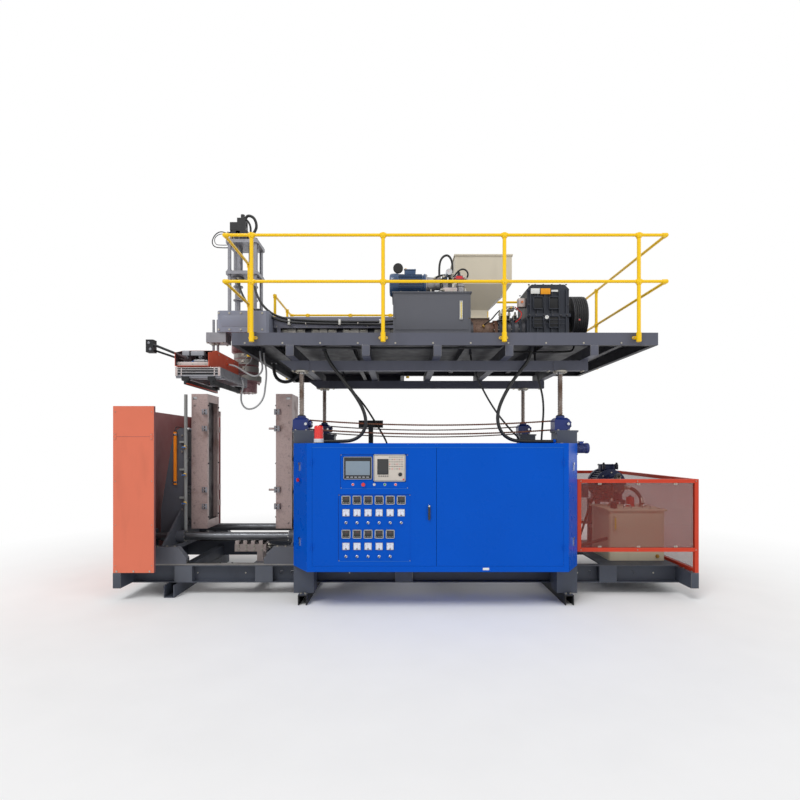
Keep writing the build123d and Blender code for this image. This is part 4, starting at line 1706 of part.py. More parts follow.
def station_pump_set():
    """Pump set on the tank's lid: finned motor, bell housing, pump, valve stack, filter, gauge and hoses."""
    y = STATION_MOTOR_Y
    z = STATION_MOTOR_Z
    motor = finned_motor(STATION_MOTOR_X[1], STATION_MOTOR_X[0], y, z, STATION_MOTOR_RADIUS, 14)
    box = block((STATION_MOTOR_X[0] + 150, STATION_MOTOR_X[0] + 300), (y - 70, y + 70), (z + 90, z + 175))
    foot = block((STATION_MOTOR_X[0] + 110, STATION_MOTOR_X[1] - 30), (y - 110, y + 110),
                 (STATION_TOP, z - 90))
    bell = rod((STATION_MOTOR_X[1], y, z), (STATION_MOTOR_X[1] + 90, y, z), 92)
    pump = rod((STATION_MOTOR_X[1] + 90, y, z), (STATION_MOTOR_X[1] + 200, y, z), 62)
    set_body = fuse([motor, box, foot, bell, pump])
    stack_x = 520.0
    stack = [block((stack_x - 60, stack_x + 110), (y - 60, y + 60), (STATION_TOP, STATION_TOP + 120)),
             block((stack_x - 40, stack_x + 40), (y - 50, y + 50), (STATION_TOP + 120, STATION_TOP + 250)),
             block((stack_x + 50, stack_x + 100), (y - 40, y + 40), (STATION_TOP + 120, STATION_TOP + 300)),
             rod((stack_x, y, STATION_TOP + 250), (stack_x, y, STATION_TOP + 340), 24),
             rod((stack_x - 20, y - 70, STATION_TOP + 330), (stack_x - 20, y - 42, STATION_TOP + 330), 34),
             rod((stack_x - 20, y - 45, STATION_TOP + 330), (stack_x, y, STATION_TOP + 330), 8)]
    filter_x = 670.0
    filter_pot = [rod((filter_x, y, STATION_TOP), (filter_x, y, STATION_TOP + 170), 48),
                  rod((filter_x, y, STATION_TOP + 170), (filter_x, y, STATION_TOP + 195), 56)]
    pieces = [set_body] + stack + filter_pot
    top = STATION_TOP
    hoses = [[(330, y, z + 62), (330, y - 10, z + 230), (400, y - 20, z + 350), (480, y - 30, z + 250),
              (495, y - 20, top + 250)],
             [(360, y, z + 62), (365, y + 20, z + 180), (450, y + 60, z + 260), (560, y + 60, z + 200),
              (570, y + 20, top + 300)],
             [(600, y - 60, top + 60), (650, y - 150, top + 110), (700, y - 125, top + 70),
              (700, y - 125, top)]]
    for points in hoses:
        pieces.append(hose_run(points, 13)[0])
    return fuse(pieces)


def parison_arm():
    """Sheet arm, open in front, with its cylinder inside, hung on two rods from a bracket on the head."""
    shell = block(ARM_X, ARM_Y, ARM_Z)
    shell -= block((ARM_X[0] + ARM_SHEET, ARM_X[1] - ARM_SHEET), (ARM_Y[0] - 1, ARM_Y[1] - ARM_SHEET),
                   (ARM_Z[0] + ARM_SHEET, ARM_Z[1] - ARM_SHEET))
    side = block((ARM_X[0], ARM_X[0] + 90), (ARM_Y[1], ARM_SIDE_REAR_Y), (ARM_Z[0], ARM_Z[1] - 60))
    slope = along_x([(ARM_Y[0] - 1, ARM_Z[1] + 1), (ARM_Y[0] - 1, ARM_Z[1] - 70),
                     (ARM_Y[0] + 260, ARM_Z[1] + 1)],
                    ARM_X[0] - 1, ARM_X[1] + 1)
    shell = fuse([shell, side]) - slope
    bracket = block((HANGER_RODS_X[0] - 60, HEAD_BOX_X[0] + 110), (HANGER_Y - 110, HANGER_Y + 110),
                    (HEAD_BOX_Z[0] - 130, HEAD_BOX_Z[0]))
    rods = [rod((x, HANGER_Y, ARM_Z[1] - ARM_SHEET), (x, HANGER_Y, HEAD_BOX_Z[1] - 90),
                16) for x in HANGER_RODS_X]
    inside = []
    middle_z = sum(ARM_Z) / 2
    for x in (ARM_X[0] + 110, ARM_X[1] - 110):
        inside.append(rod((x, ARM_Y[0] + 40, middle_z), (x, ARM_Y[1] - ARM_SHEET, middle_z), 20))
        inside.append(block((x - 45, x + 45), (ARM_Y[0] + 90, ARM_Y[0] + 210),
                            (ARM_Z[0] + ARM_SHEET, middle_z + 45)))
    lever_x = ARM_X[0] - 290
    front = ARM_Y[0] + 40
    struts = [rod((lever_x - 40, front, ARM_Z[1] + 55), (ARM_X[0] + 120, front, ARM_Z[0] + 100), 14),
              rod((lever_x + 20, front + 60, ARM_Z[1] - 30), (ARM_X[0] + 130, front + 60, ARM_Z[0] + 60), 12),
              block((lever_x - 55, lever_x + 30), (front - 15, front + 75), (ARM_Z[1] - 60, ARM_Z[1] + 85))]
    return fuse([shell, bracket, lower_gland("upper_conduit")] + rods + inside + struts)


def pinch_frame():
    """Open frame under the arm with two guide bars for the pinch bars."""
    frame = block(PINCH_X, PINCH_Y, PINCH_Z)
    frame -= block((PINCH_X[0] + 60, PINCH_X[1] - 60), (PINCH_Y[0] + 60, PINCH_Y[1] - 60),
                   (PINCH_Z[0] - 1, PINCH_Z[1] + 1))
    posts = []
    for x in (ARM_X[0] + 30, ARM_X[1] - 30):
        for y in (PINCH_Y[0] + 30, PINCH_Y[1] - 30):
            posts.append(rod((x, y, PINCH_Z[1]), (x, y, ARM_Z[0]), 18))
    rails = [block((PINCH_X[0], PINCH_X[1]), (y - 12, y + 12), (PINCH_Z[0] - 20, PINCH_Z[0]))
             for y in (PINCH_Y[0] + 30, PINCH_Y[1] - 30)]
    return fuse([frame, lower_gland("lower_conduit")] + posts + rails)


def pinch_bar(side):
    """One pinch bar with its slides on the guide bars of the pinch frame."""
    middle = sum(PINCH_X) / 2
    x = middle + side * (PINCH_TRAVEL + PINCH_CLOSED_HALF_GAP)
    bar_half = 14
    pieces = [block((x - bar_half, x + bar_half), PINCH_Y, PINCH_BAR_Z)]
    for y in (PINCH_Y[0] + 30, PINCH_Y[1] - 30):
        slide = block((x - 40, x + 40), (y - 30, y + 30), (PINCH_BAR_Z[1] - 14, PINCH_Z[0] - SEAT_GAP))
        slide -= block((x - 41, x + 41), (y - 12 - SEAT_GAP, y + 12 + SEAT_GAP),
                       (PINCH_Z[0] - 20 - SEAT_GAP, PINCH_Z[0]))
        pieces.append(slide)
    return fuse(pieces)


def lower_gland(name):
    """Fitting at a hose's lower end, one gland length along the hose's last direction."""
    radius, route = CORDS[name]
    end = Vector(*route[-1])
    step = (end - Vector(*route[-2])).normalized() * GLAND_LENGTH
    return rod(tuple(end), tuple(end + step), radius + GLAND_WALL)


def write_parts():
    """Write every sub-part of the machine."""
    save("base_frame", base_frame())
    save("columns", columns())
    save("clamp_rails", clamp_rails(), pinion_stand())
    save("left_guard", left_guard())
    save("right_guard_frame", right_guard_frame())
    save("right_guard_panels", *right_guard_panels())
    save("oil_tank", oil_tank())
    save("pump_motor", pump_motor())
    roof_glands = [lower_gland(name) for name in ("right_middle_hose", "gearmotor_hose")]
    side_glands = [lower_gland(name) for name in ("left_front_hose", "right_front_hose")]
    save("control_cabinet", fuse([control_cabinet(), side_stop_base()] + roof_glands + side_glands))
    save("cabinet_hardware", *cabinet_hardware())
    save("switchgear", switchgear())
    save("left_door", left_door())
    save("right_door", right_door())
    save("panel_instruments", *panel_instruments())
    save("door_handle", door_handle())
    save("panel_stop_button", push_button(PANEL_STOP_X, True))
    save("start_button", push_button(START_X, False))
    save("key_switch", key_switch())
    save("emergency_stop", emergency_stop())
    save("warning_beacon", *warning_beacon())
    save("jack_housings", *jack_housings())
    save("drive_chains", *drive_chains())
    save("lift_gearmotor", lift_gearmotor())
    save("clamp_hydraulics", *clamp_hydraulics())
    save("left_carriage", fuse([left_carriage(), left_rack()]))
    save("left_platen", left_platen())
    save("left_water_manifold", left_water_manifold())
    save("position_sensor", position_sensor())
    save("right_carriage", fuse([mirrored_in_mould(left_carriage()), right_rack()]), piston_rod())
    save("right_platen", right_platen())
    save("sync_pinion", sync_pinion())
    save("deck_frame", deck_frame())
    save("jack_screws", *jack_screws())
    save("handrails", *handrails())
    save("barrel", barrel())
    save("heater_bands", *heater_bands())
    save("barrel_cover", barrel_cover())
    save("extruder_screw", extruder_screw())
    save("hopper", hopper())
    save("gearbox", gearbox())
    save("main_motor", main_motor())
    save("drive_sheave", drive_sheave())
    save("motor_pulley", motor_pulley())
    save("drive_belts", *drive_belts())
    save("die_head", die_head())
    save("die_mandrel", die_mandrel())
    save("head_tower", *head_tower())
    save("station_tank", station_tank())
    save("station_pump_set", station_pump_set())
    save("parison_arm", parison_arm())
    save("pinch_frame", pinch_frame())
    for name, side in (("left_pinch_bar", -1), ("right_pinch_bar", 1)):
        save(name, pinch_bar(side))
    for name, (radius, points) in CORDS.items():
        hose, line, radii = hose_run(points, radius)
        print(name, "length", round(line.length), "smallest bend", round(min(radii)),
              "volume share", round(hose.volume / (math.pi * radius ** 2 * line.length), 3))
        save(name, hose)


os.makedirs("parts", exist_ok=True)
write_parts()
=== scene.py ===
import math
from itertools import product

import bmesh
import bpy
from mathutils import Matrix, Vector


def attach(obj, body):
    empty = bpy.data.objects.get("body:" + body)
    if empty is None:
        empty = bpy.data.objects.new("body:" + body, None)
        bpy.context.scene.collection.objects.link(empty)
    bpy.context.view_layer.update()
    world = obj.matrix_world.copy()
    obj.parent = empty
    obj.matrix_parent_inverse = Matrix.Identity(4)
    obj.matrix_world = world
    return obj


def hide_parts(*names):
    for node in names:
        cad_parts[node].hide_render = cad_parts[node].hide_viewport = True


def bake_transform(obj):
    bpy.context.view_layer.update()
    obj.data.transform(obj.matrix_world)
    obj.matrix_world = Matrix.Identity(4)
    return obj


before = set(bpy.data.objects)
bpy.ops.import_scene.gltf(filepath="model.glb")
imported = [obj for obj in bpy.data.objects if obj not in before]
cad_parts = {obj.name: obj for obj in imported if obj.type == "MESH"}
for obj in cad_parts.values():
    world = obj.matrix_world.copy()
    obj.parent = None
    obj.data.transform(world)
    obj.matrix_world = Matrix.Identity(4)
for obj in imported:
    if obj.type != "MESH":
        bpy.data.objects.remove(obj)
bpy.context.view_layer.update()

MM = 0.001
AXES = {"x": Vector((1, 0, 0)), "y": Vector((0, 1, 0)), "z": Vector((0, 0, 1))}
FORWARD = (0, -1, 0)
LEFTWARD = (-1, 0, 0)
DOWN = (0, 0, -1)

# Places of the main parts in millimetres, which their details share
PARTING_X = -2224
AXIS_Y = -190
BARREL_Z = 3430
COVER_TOP = 3591
SHEAVE_Z = 3600
DECK_TOP = 3100
COLUMNS_X = (-1195.0, 1884.5)
COLUMNS_Y = (-1292.5, 580.0)
RAILS_Y = (-1040, 660)
TIE_BARS_Y = (-590, 210)
TIE_BAR_Z = 643
GUARD_FRONT = -1340
TANK_LID = 1022

# Edges that turn by more than CORNER_ANGLE, in radians, are rounded, and those over SHARP_DEGREES shade sharp
BEVEL_SEGMENTS = 2
CORNER_ANGLE = 0.6
SHARP_DEGREES = 32.0


# Materials


def colour(red, green, blue):
    """An sRGB colour of 0 to 255 as the linear colour that a shader takes."""
    linear = []
    for channel in (red, green, blue):
        value = channel / 255
        linear.append(value / 12.92 if value <= 0.04045 else ((value + 0.055) / 1.055) ** 2.4)
    return (*linear, 1.0)


def shaded(rgb, factor):
    """The colour made lighter or darker by a factor."""
    return tuple(min(255, max(0, channel * factor)) for channel in rgb)


class Nodes:
    """Short calls for the nodes of one material."""

    def __init__(self, name):
        self.material = bpy.data.materials.new(name)
        self.material.use_nodes = True
        self.tree = self.material.node_tree
        self.shader = self.tree.nodes["Principled BSDF"]
        self.place = self.tree.nodes.new("ShaderNodeTexCoord").outputs["Object"]

    def noise(self, scale, detail=4.0, stretch=(1, 1, 1)):
        mapping = self.tree.nodes.new("ShaderNodeMapping")
        mapping.inputs["Scale"].default_value = stretch
        self.tree.links.new(self.place, mapping.inputs["Vector"])
        noise = self.tree.nodes.new("ShaderNodeTexNoise")
        noise.inputs["Scale"].default_value = scale
        noise.inputs["Detail"].default_value = detail
        self.tree.links.new(mapping.outputs["Vector"], noise.inputs["Vector"])
        return noise.outputs["Fac"]

    def ranged(self, value, low, high, to_low, to_high):
        node = self.tree.nodes.new("ShaderNodeMapRange")
        for socket, number in zip(("From Min", "From Max", "To Min", "To Max"), (low, high, to_low, to_high)):
            node.inputs[socket].default_value = number
        self.tree.links.new(value, node.inputs["Value"])
        return node.outputs["Result"]

    def mixed(self, share, first, second):
        """Colour first where share is 0 and second where it is 1."""
        node = self.tree.nodes.new("ShaderNodeMix")
        node.data_type = "RGBA"
        for socket, value in ((node.inputs[0], share), (node.inputs[6], first), (node.inputs[7], second)):
            if isinstance(value, (tuple, float)):
                socket.default_value = value
            else:
                self.tree.links.new(value, socket)
        return node.outputs[2]

    def multiplied(self, first, second):
        node = self.tree.nodes.new("ShaderNodeMath")
        node.operation = "MULTIPLY"
        for socket, value in zip(node.inputs, (first, second)):
            if isinstance(value, float):
                socket.default_value = value
            else:
                self.tree.links.new(value, socket)
        return node.outputs[0]

    def edges(self, radius):
        """A share that is 1 along the edges of the piece and 0 on its flats."""
        bevel = self.tree.nodes.new("ShaderNodeBevel")
        bevel.samples = 4
        bevel.inputs["Radius"].default_value = radius
        flat = self.tree.nodes.new("ShaderNodeNewGeometry")
        dot = self.tree.nodes.new("ShaderNodeVectorMath")
        dot.operation = "DOT_PRODUCT"
        self.tree.links.new(bevel.outputs["Normal"], dot.inputs[0])
        self.tree.links.new(flat.outputs["Normal"], dot.inputs[1])
        return self.ranged(dot.outputs["Value"], 0.97, 0.80, 0.0, 1.0)

    def set(self, socket, value):
        if isinstance(value, (int, float, tuple)):
            self.shader.inputs[socket].default_value = value
        else:
            self.tree.links.new(value, self.shader.inputs[socket])

    def bump(self, height, strength, distance):
        node = self.tree.nodes.new("ShaderNodeBump")
        node.inputs["Strength"].default_value = strength
        node.inputs["Distance"].default_value = distance
        self.tree.links.new(height, node.inputs["Height"])
        self.tree.links.new(node.outputs["Normal"], self.shader.inputs["Normal"])


def paint(name, rgb, rough=0.42, variation=0.07, dirt=0.25, grain=260.0, bump=0.12, coat=0.0, wear=0.0,
          worn=(150, 150, 150), gloss=0.35):
    """Painted steel: uneven tone, streaks of dirt, orange peel and, where wear is above 0, worn edges."""
    nodes = Nodes(name)
    tone = nodes.mixed(nodes.noise(1.6, 5.0), colour(*shaded(rgb, 1 - variation)),
                       colour(*shaded(rgb, 1 + variation)))
    streaks = nodes.ranged(nodes.noise(5.0, 6.0, (1, 1, 0.25)), 0.56, 0.80, 0.0, dirt)
    tone = nodes.mixed(streaks, tone, colour(*shaded(rgb, 0.62)))
    if wear:
        scratches = nodes.ranged(nodes.noise(38.0, 5.0), 0.42, 0.62, 0.0, wear)
        tone = nodes.mixed(nodes.multiplied(nodes.edges(0.004), scratches), tone, colour(*worn))
    nodes.set("Base Color", tone)
    nodes.set("Roughness", nodes.ranged(nodes.noise(7.0, 5.0), 0.3, 0.7, rough - 0.07, rough + 0.10))
    nodes.set("Specular IOR Level", gloss)
    nodes.set("Coat Weight", coat)
    nodes.set("Coat Roughness", 0.12)
    nodes.bump(nodes.noise(grain, 3.0), bump, 0.0006)
    return nodes.material


def metal(name, rgb, rough=0.32, variation=0.12, stretch=(1, 1, 1), grain=180.0, bump=0.12, dirt=0.3,
          metallic=1.0):
    """Bare or plated metal: clouded tone, stains and fine marks."""
    nodes = Nodes(name)
    tone = nodes.mixed(nodes.noise(6.0, 6.0), colour(*shaded(rgb, 1 - variation)),
                       colour(*shaded(rgb, 1 + variation)))
    stains = nodes.ranged(nodes.noise(14.0, 8.0), 0.55, 0.75, 0.0, dirt)
    nodes.set("Base Color", nodes.mixed(stains, tone, colour(*shaded(rgb, 0.5))))
    nodes.set("Metallic", metallic)
    nodes.set("Roughness",
              nodes.ranged(nodes.noise(22.0, 6.0, stretch), 0.3, 0.7, rough - 0.08, rough + 0.14))
    nodes.bump(nodes.noise(grain, 4.0, stretch), bump, 0.0005)
    return nodes.material


def rusted(name, base, rust, amount=0.5, rough=0.62, metallic=0.35, scale=4.0, speckles=0.8):
    """Steel with a film of rust in clouds and speckles."""
    nodes = Nodes(name)
    cloud = nodes.ranged(nodes.noise(scale, 8.0), 0.62 - 0.3 * amount, 0.72 - 0.2 * amount, 0.0, 1.0)
    speckle = nodes.ranged(nodes.noise(60.0, 6.0), 0.50, 0.68, 0.0, speckles)
    tone = nodes.mixed(cloud, colour(*base), colour(*rust))
    nodes.set("Base Color", nodes.mixed(speckle, tone, colour(*shaded(rust, 0.62))))
    nodes.set("Metallic", metallic)
    nodes.set("Roughness", nodes.ranged(cloud, 0.0, 1.0, rough - 0.15, rough + 0.15))
    nodes.bump(nodes.noise(140.0, 6.0), 0.25, 0.0008)
    return nodes.material


def plastic(name, rgb, rough=0.4, coat=0.0, grain=500.0, bump=0.1, variation=0.06):
    """Moulded plastic or rubber with a fine grain."""
    nodes = Nodes(name)
    nodes.set("Base Color", nodes.mixed(nodes.noise(9.0, 4.0), colour(*shaded(rgb, 1 - variation)),
                                        colour(*shaded(rgb, 1 + variation))))
    nodes.set("Roughness", nodes.ranged(nodes.noise(30.0, 3.0), 0.3, 0.7, rough - 0.05, rough + 0.08))
    nodes.set("Coat Weight", coat)
    nodes.bump(nodes.noise(grain, 2.0), bump, 0.0003)
    return nodes.material


def lens(name, rgb, alpha=1.0, rough=0.08, glow=0.0, coat=0.6):
    """Coloured glass or a clear panel, with faint smears."""
    nodes = Nodes(name)
    smear = nodes.noise(5.0, 6.0)
    nodes.set("Base Color", nodes.mixed(smear, colour(*shaded(rgb, 0.92)), colour(*shaded(rgb, 1.06))))
    nodes.set("Roughness", nodes.ranged(smear, 0.3, 0.7, rough, rough + 0.08))
    nodes.set("Alpha", alpha)
    nodes.set("Coat Weight", coat)
    if glow:
        nodes.set("Emission Color", colour(*rgb))
        nodes.set("Emission Strength", glow)
    nodes.bump(nodes.noise(40.0, 2.0), 0.03, 0.0005)
    return nodes.material


slate = paint("slate_paint", (70, 75, 86), 0.5, 0.09, 0.35, wear=0.75, worn=(140, 132, 124))
deck_paint = paint("deck_paint", (84, 86, 98), 0.5, 0.09, 0.3, wear=0.6, worn=(150, 142, 134))
# Painted shade: the deck's underside is painted darker for the shade under the deck
under_deck_shade = paint("under_deck_painted_shade", (44, 44, 50), 0.55, 0.08, 0.3)
# Painted light: the die head's housing is painted lighter for the bright light on it
head_painted_light = paint("head_housing_painted_light", (134, 138, 154), 0.46, 0.07, 0.3, wear=0.6, worn=(170, 165, 165))
block_grey = paint("block_grey_paint", (84, 88, 97), 0.46, 0.08, 0.25, wear=0.5)
shadow_black = paint("black_paint", (24, 25, 28), 0.5, 0.08, 0.2, wear=0.4, worn=(110, 110, 112))
cabinet_blue = paint("cabinet_blue_paint", (0, 80, 188), 0.30, 0.03, 0.05, grain=420.0, bump=0.06, gloss=0.08)
# Painted shadow and painted highlight of the door recesses: dark blue along their left and top edges, light
# blue along their bottom edges
recess_shadow_blue = paint("recess_painted_shadow", (2, 44, 128), 0.34, 0.03, 0.05, gloss=0.12)
lit_blue = paint("edge_painted_highlight", (60, 130, 214), 0.34, 0.03, 0.05, gloss=0.12)
housing_blue = paint("housing_blue_paint", (20, 40, 104), 0.38, 0.10, 0.3, wear=0.6, coat=0.2)
motor_blue = paint("motor_blue_paint", (12, 72, 172), 0.36, 0.08, 0.25, wear=0.4, coat=0.1, gloss=0.2)
station_blue = paint("station_blue_paint", (44, 72, 108), 0.36, 0.10, 0.3, wear=0.4, coat=0.3)
pump_blue = paint("pump_blue_paint", (24, 34, 70), 0.4, 0.12, 0.35, wear=0.4, coat=0.1, gloss=0.2)
guard_orange = paint("guard_orange_paint", (216, 116, 90), 0.42, 0.04, 0.16, wear=0.35,
                     worn=(236, 196, 178), gloss=0.2)
# Painted shade: the inside of the left guard is painted darker for the shade within it
guard_inside_shade = paint("guard_inside_painted_shade", (146, 92, 92), 0.5, 0.08, 0.2, gloss=0.2)
guard_red = paint("guard_red_paint", (196, 62, 38), 0.38, 0.05, 0.15, wear=0.3, worn=(235, 180, 160),
                  coat=0.08, gloss=0.2)
rail_yellow = paint("rail_yellow_paint", (246, 200, 16), 0.34, 0.02, 0.03, grain=90.0, bump=0.02,
                    coat=0.15, gloss=0.25)
tank_beige = paint("tank_beige_paint", (216, 206, 180), 0.44, 0.03, 0.18, wear=0.3, worn=(150, 140, 120))
hopper_beige = paint("hopper_beige_paint", (208, 199, 180), 0.44, 0.03, 0.12, wear=0.25, worn=(160, 150, 132))
tank_grey = paint("tank_grey_paint", (94, 96, 104), 0.46, 0.05, 0.22, wear=0.3)
gearbox_grey = paint("gearbox_grey_paint", (44, 48, 58), 0.5, 0.10, 0.3, wear=0.5, worn=(130, 128, 128))
carriage_grey = paint("carriage_grey_paint", (88, 90, 98), 0.46, 0.07, 0.3, wear=0.6, worn=(170, 165, 160))
arm_orange = paint("arm_orange_paint", (204, 86, 62), 0.42, 0.05, 0.18, wear=0.35,
                   worn=(230, 180, 160), gloss=0.2)
# Painted shade: the inside of the parison arm's box is painted dark for the shade within it
arm_inside_shade = paint("arm_inside_painted_shade", (58, 40, 44), 0.5, 0.08, 0.2)
cover_paint = paint("cover_paint", (120, 121, 134), 0.42, 0.05, 0.22, wear=0.3)
rack_grey = paint("device_grey_paint", (150, 152, 150), 0.5, 0.05, 0.1)
plate_orange = paint("plate_orange_paint", (240, 160, 24), 0.4, 0.02, 0.08)
white_paint = paint("white_paint", (228, 228, 224), 0.4, 0.02, 0.1)
valve_orange = paint("sensor_orange_paint", (240, 136, 28), 0.4, 0.04, 0.15)

steel = metal("machined_steel", (168, 168, 170), 0.30)
bright = metal("bright_steel", (205, 206, 208), 0.18, 0.05, dirt=0.12)
bar_steel = metal("tie_bar_steel", (104, 106, 110), 0.36, 0.10, metallic=0.85)
rail_steel = metal("rail_steel", (128, 126, 124), 0.34, 0.15, (0.1, 1, 1))
zinc = metal("zinc_plate", (176, 172, 162), 0.38, 0.12)
dark_metal = metal("dark_steel", (74, 74, 78), 0.42, 0.15, metallic=0.85)
copper = metal("copper", (196, 120, 84), 0.34, 0.08)
brass = metal("brass", (196, 160, 84), 0.30, 0.08)
alloy = metal("cast_alloy", (150, 148, 150), 0.46, 0.08, metallic=0.75)
pink_alloy = metal("anodised_alloy", (186, 172, 168), 0.42, 0.06, metallic=0.7)
platen_steel = rusted("platen_steel", (184, 162, 158), (158, 134, 128), 0.25, 0.55, 0.25, speckles=0.3)
pocket_steel = rusted("pocket_steel", (88, 86, 88), (70, 62, 62), 0.4, 0.6, 0.2)
feed_steel = rusted("feed_steel", (116, 92, 78), (96, 60, 42), 0.5, 0.6, 0.3)
chain_steel = rusted("chain_steel", (110, 78, 58), (122, 66, 40), 0.7, 0.6, 0.5, 9.0)
die_steel = rusted("die_steel", (152, 116, 120), (128, 86, 86), 0.35, 0.5, 0.45)
tower_steel = metal("tower_steel", (142, 142, 148), 0.44, 0.10, metallic=0.6)
thread_steel = rusted("thread_steel", (150, 138, 130), (110, 84, 66), 0.3, 0.45, 0.5)
band_steel = metal("band_steel", (150, 148, 144), 0.40, 0.12, metallic=0.8)
cover_steel = metal("cover_sheet", (128, 130, 134), 0.40, 0.06, (0.15, 1, 1), metallic=0.7)

black_plastic = plastic("black_plastic", (26, 26, 28), 0.38)
knob_black = plastic("knob_black", (16, 16, 18), 0.28, 0.3)
grey_plastic = plastic("grey_plastic", (150, 153, 158), 0.42)
light_plastic = plastic("light_plastic", (214, 214, 208), 0.38)
instrument_white = plastic("instrument_white", (236, 236, 230), 0.3)
dial_white = plastic("dial_white", (216, 222, 236), 0.25, 0.3)
silver_plastic = plastic("silver_plastic", (198, 190, 180), 0.38, 0.1)
rubber = plastic("black_rubber", (22, 22, 23), 0.5, grain=700.0, bump=0.2)
conduit_grey = plastic("conduit_grey", (176, 177, 178), 0.48)
signal_red = plastic("signal_red", (206, 28, 24), 0.26, 0.5)
signal_green = plastic("signal_green", (30, 140, 70), 0.26, 0.5)
marker_teal = plastic("marker_teal", (60, 190, 170), 0.35)
marker_blue = plastic("marker_blue", (40, 110, 190), 0.35)
red_lens = lens("red_lens", (214, 30, 22), glow=0.15)
dim_red = lens("dim_red_digits", (120, 34, 30), glow=0.05)
dim_green = lens("dim_green_digits", (40, 84, 52), glow=0.03)
beacon_lens = lens("beacon_lens", (222, 34, 24), glow=0.12)
display = lens("dark_display", (20, 22, 26), rough=0.06)
screen = lens("lit_screen", (112, 128, 142), rough=0.1, glow=0.12)
gauge_face = plastic("gauge_face", (240, 240, 234), 0.25, 0.6)
# Painted light: the level glasses glow faintly, though they are no lamps
level_painted_glow = lens("level_painted_glow", (222, 196, 70), glow=0.1)
tint_panel = lens("tint_panel", (122, 40, 26), alpha=0.42, rough=0.05, coat=0.0)
ink = plastic("ink", (30, 30, 32), 0.5)


# Mesh helpers


def link(name, data):
    """A new object in the scene."""
    thing = bpy.data.objects.new(name, data)
    bpy.context.collection.objects.link(thing)
    return thing


def direction_of(axis):
    """The unit vector of an axis, which is x, y, z or three numbers."""
    return AXES[axis] if isinstance(axis, str) else Vector(axis).normalized()


def circle(centre, axis, radius, count, distance=0.0):
    """Places evenly round an axis, that far along it from centre."""
    rotation = direction_of(axis).to_track_quat("Z", "Y").to_matrix()
    angles = [2 * math.pi * index / count for index in range(count)]
    return [Vector(centre) + rotation @ Vector((radius * math.cos(angle), radius * math.sin(angle), distance))
            for angle in angles]


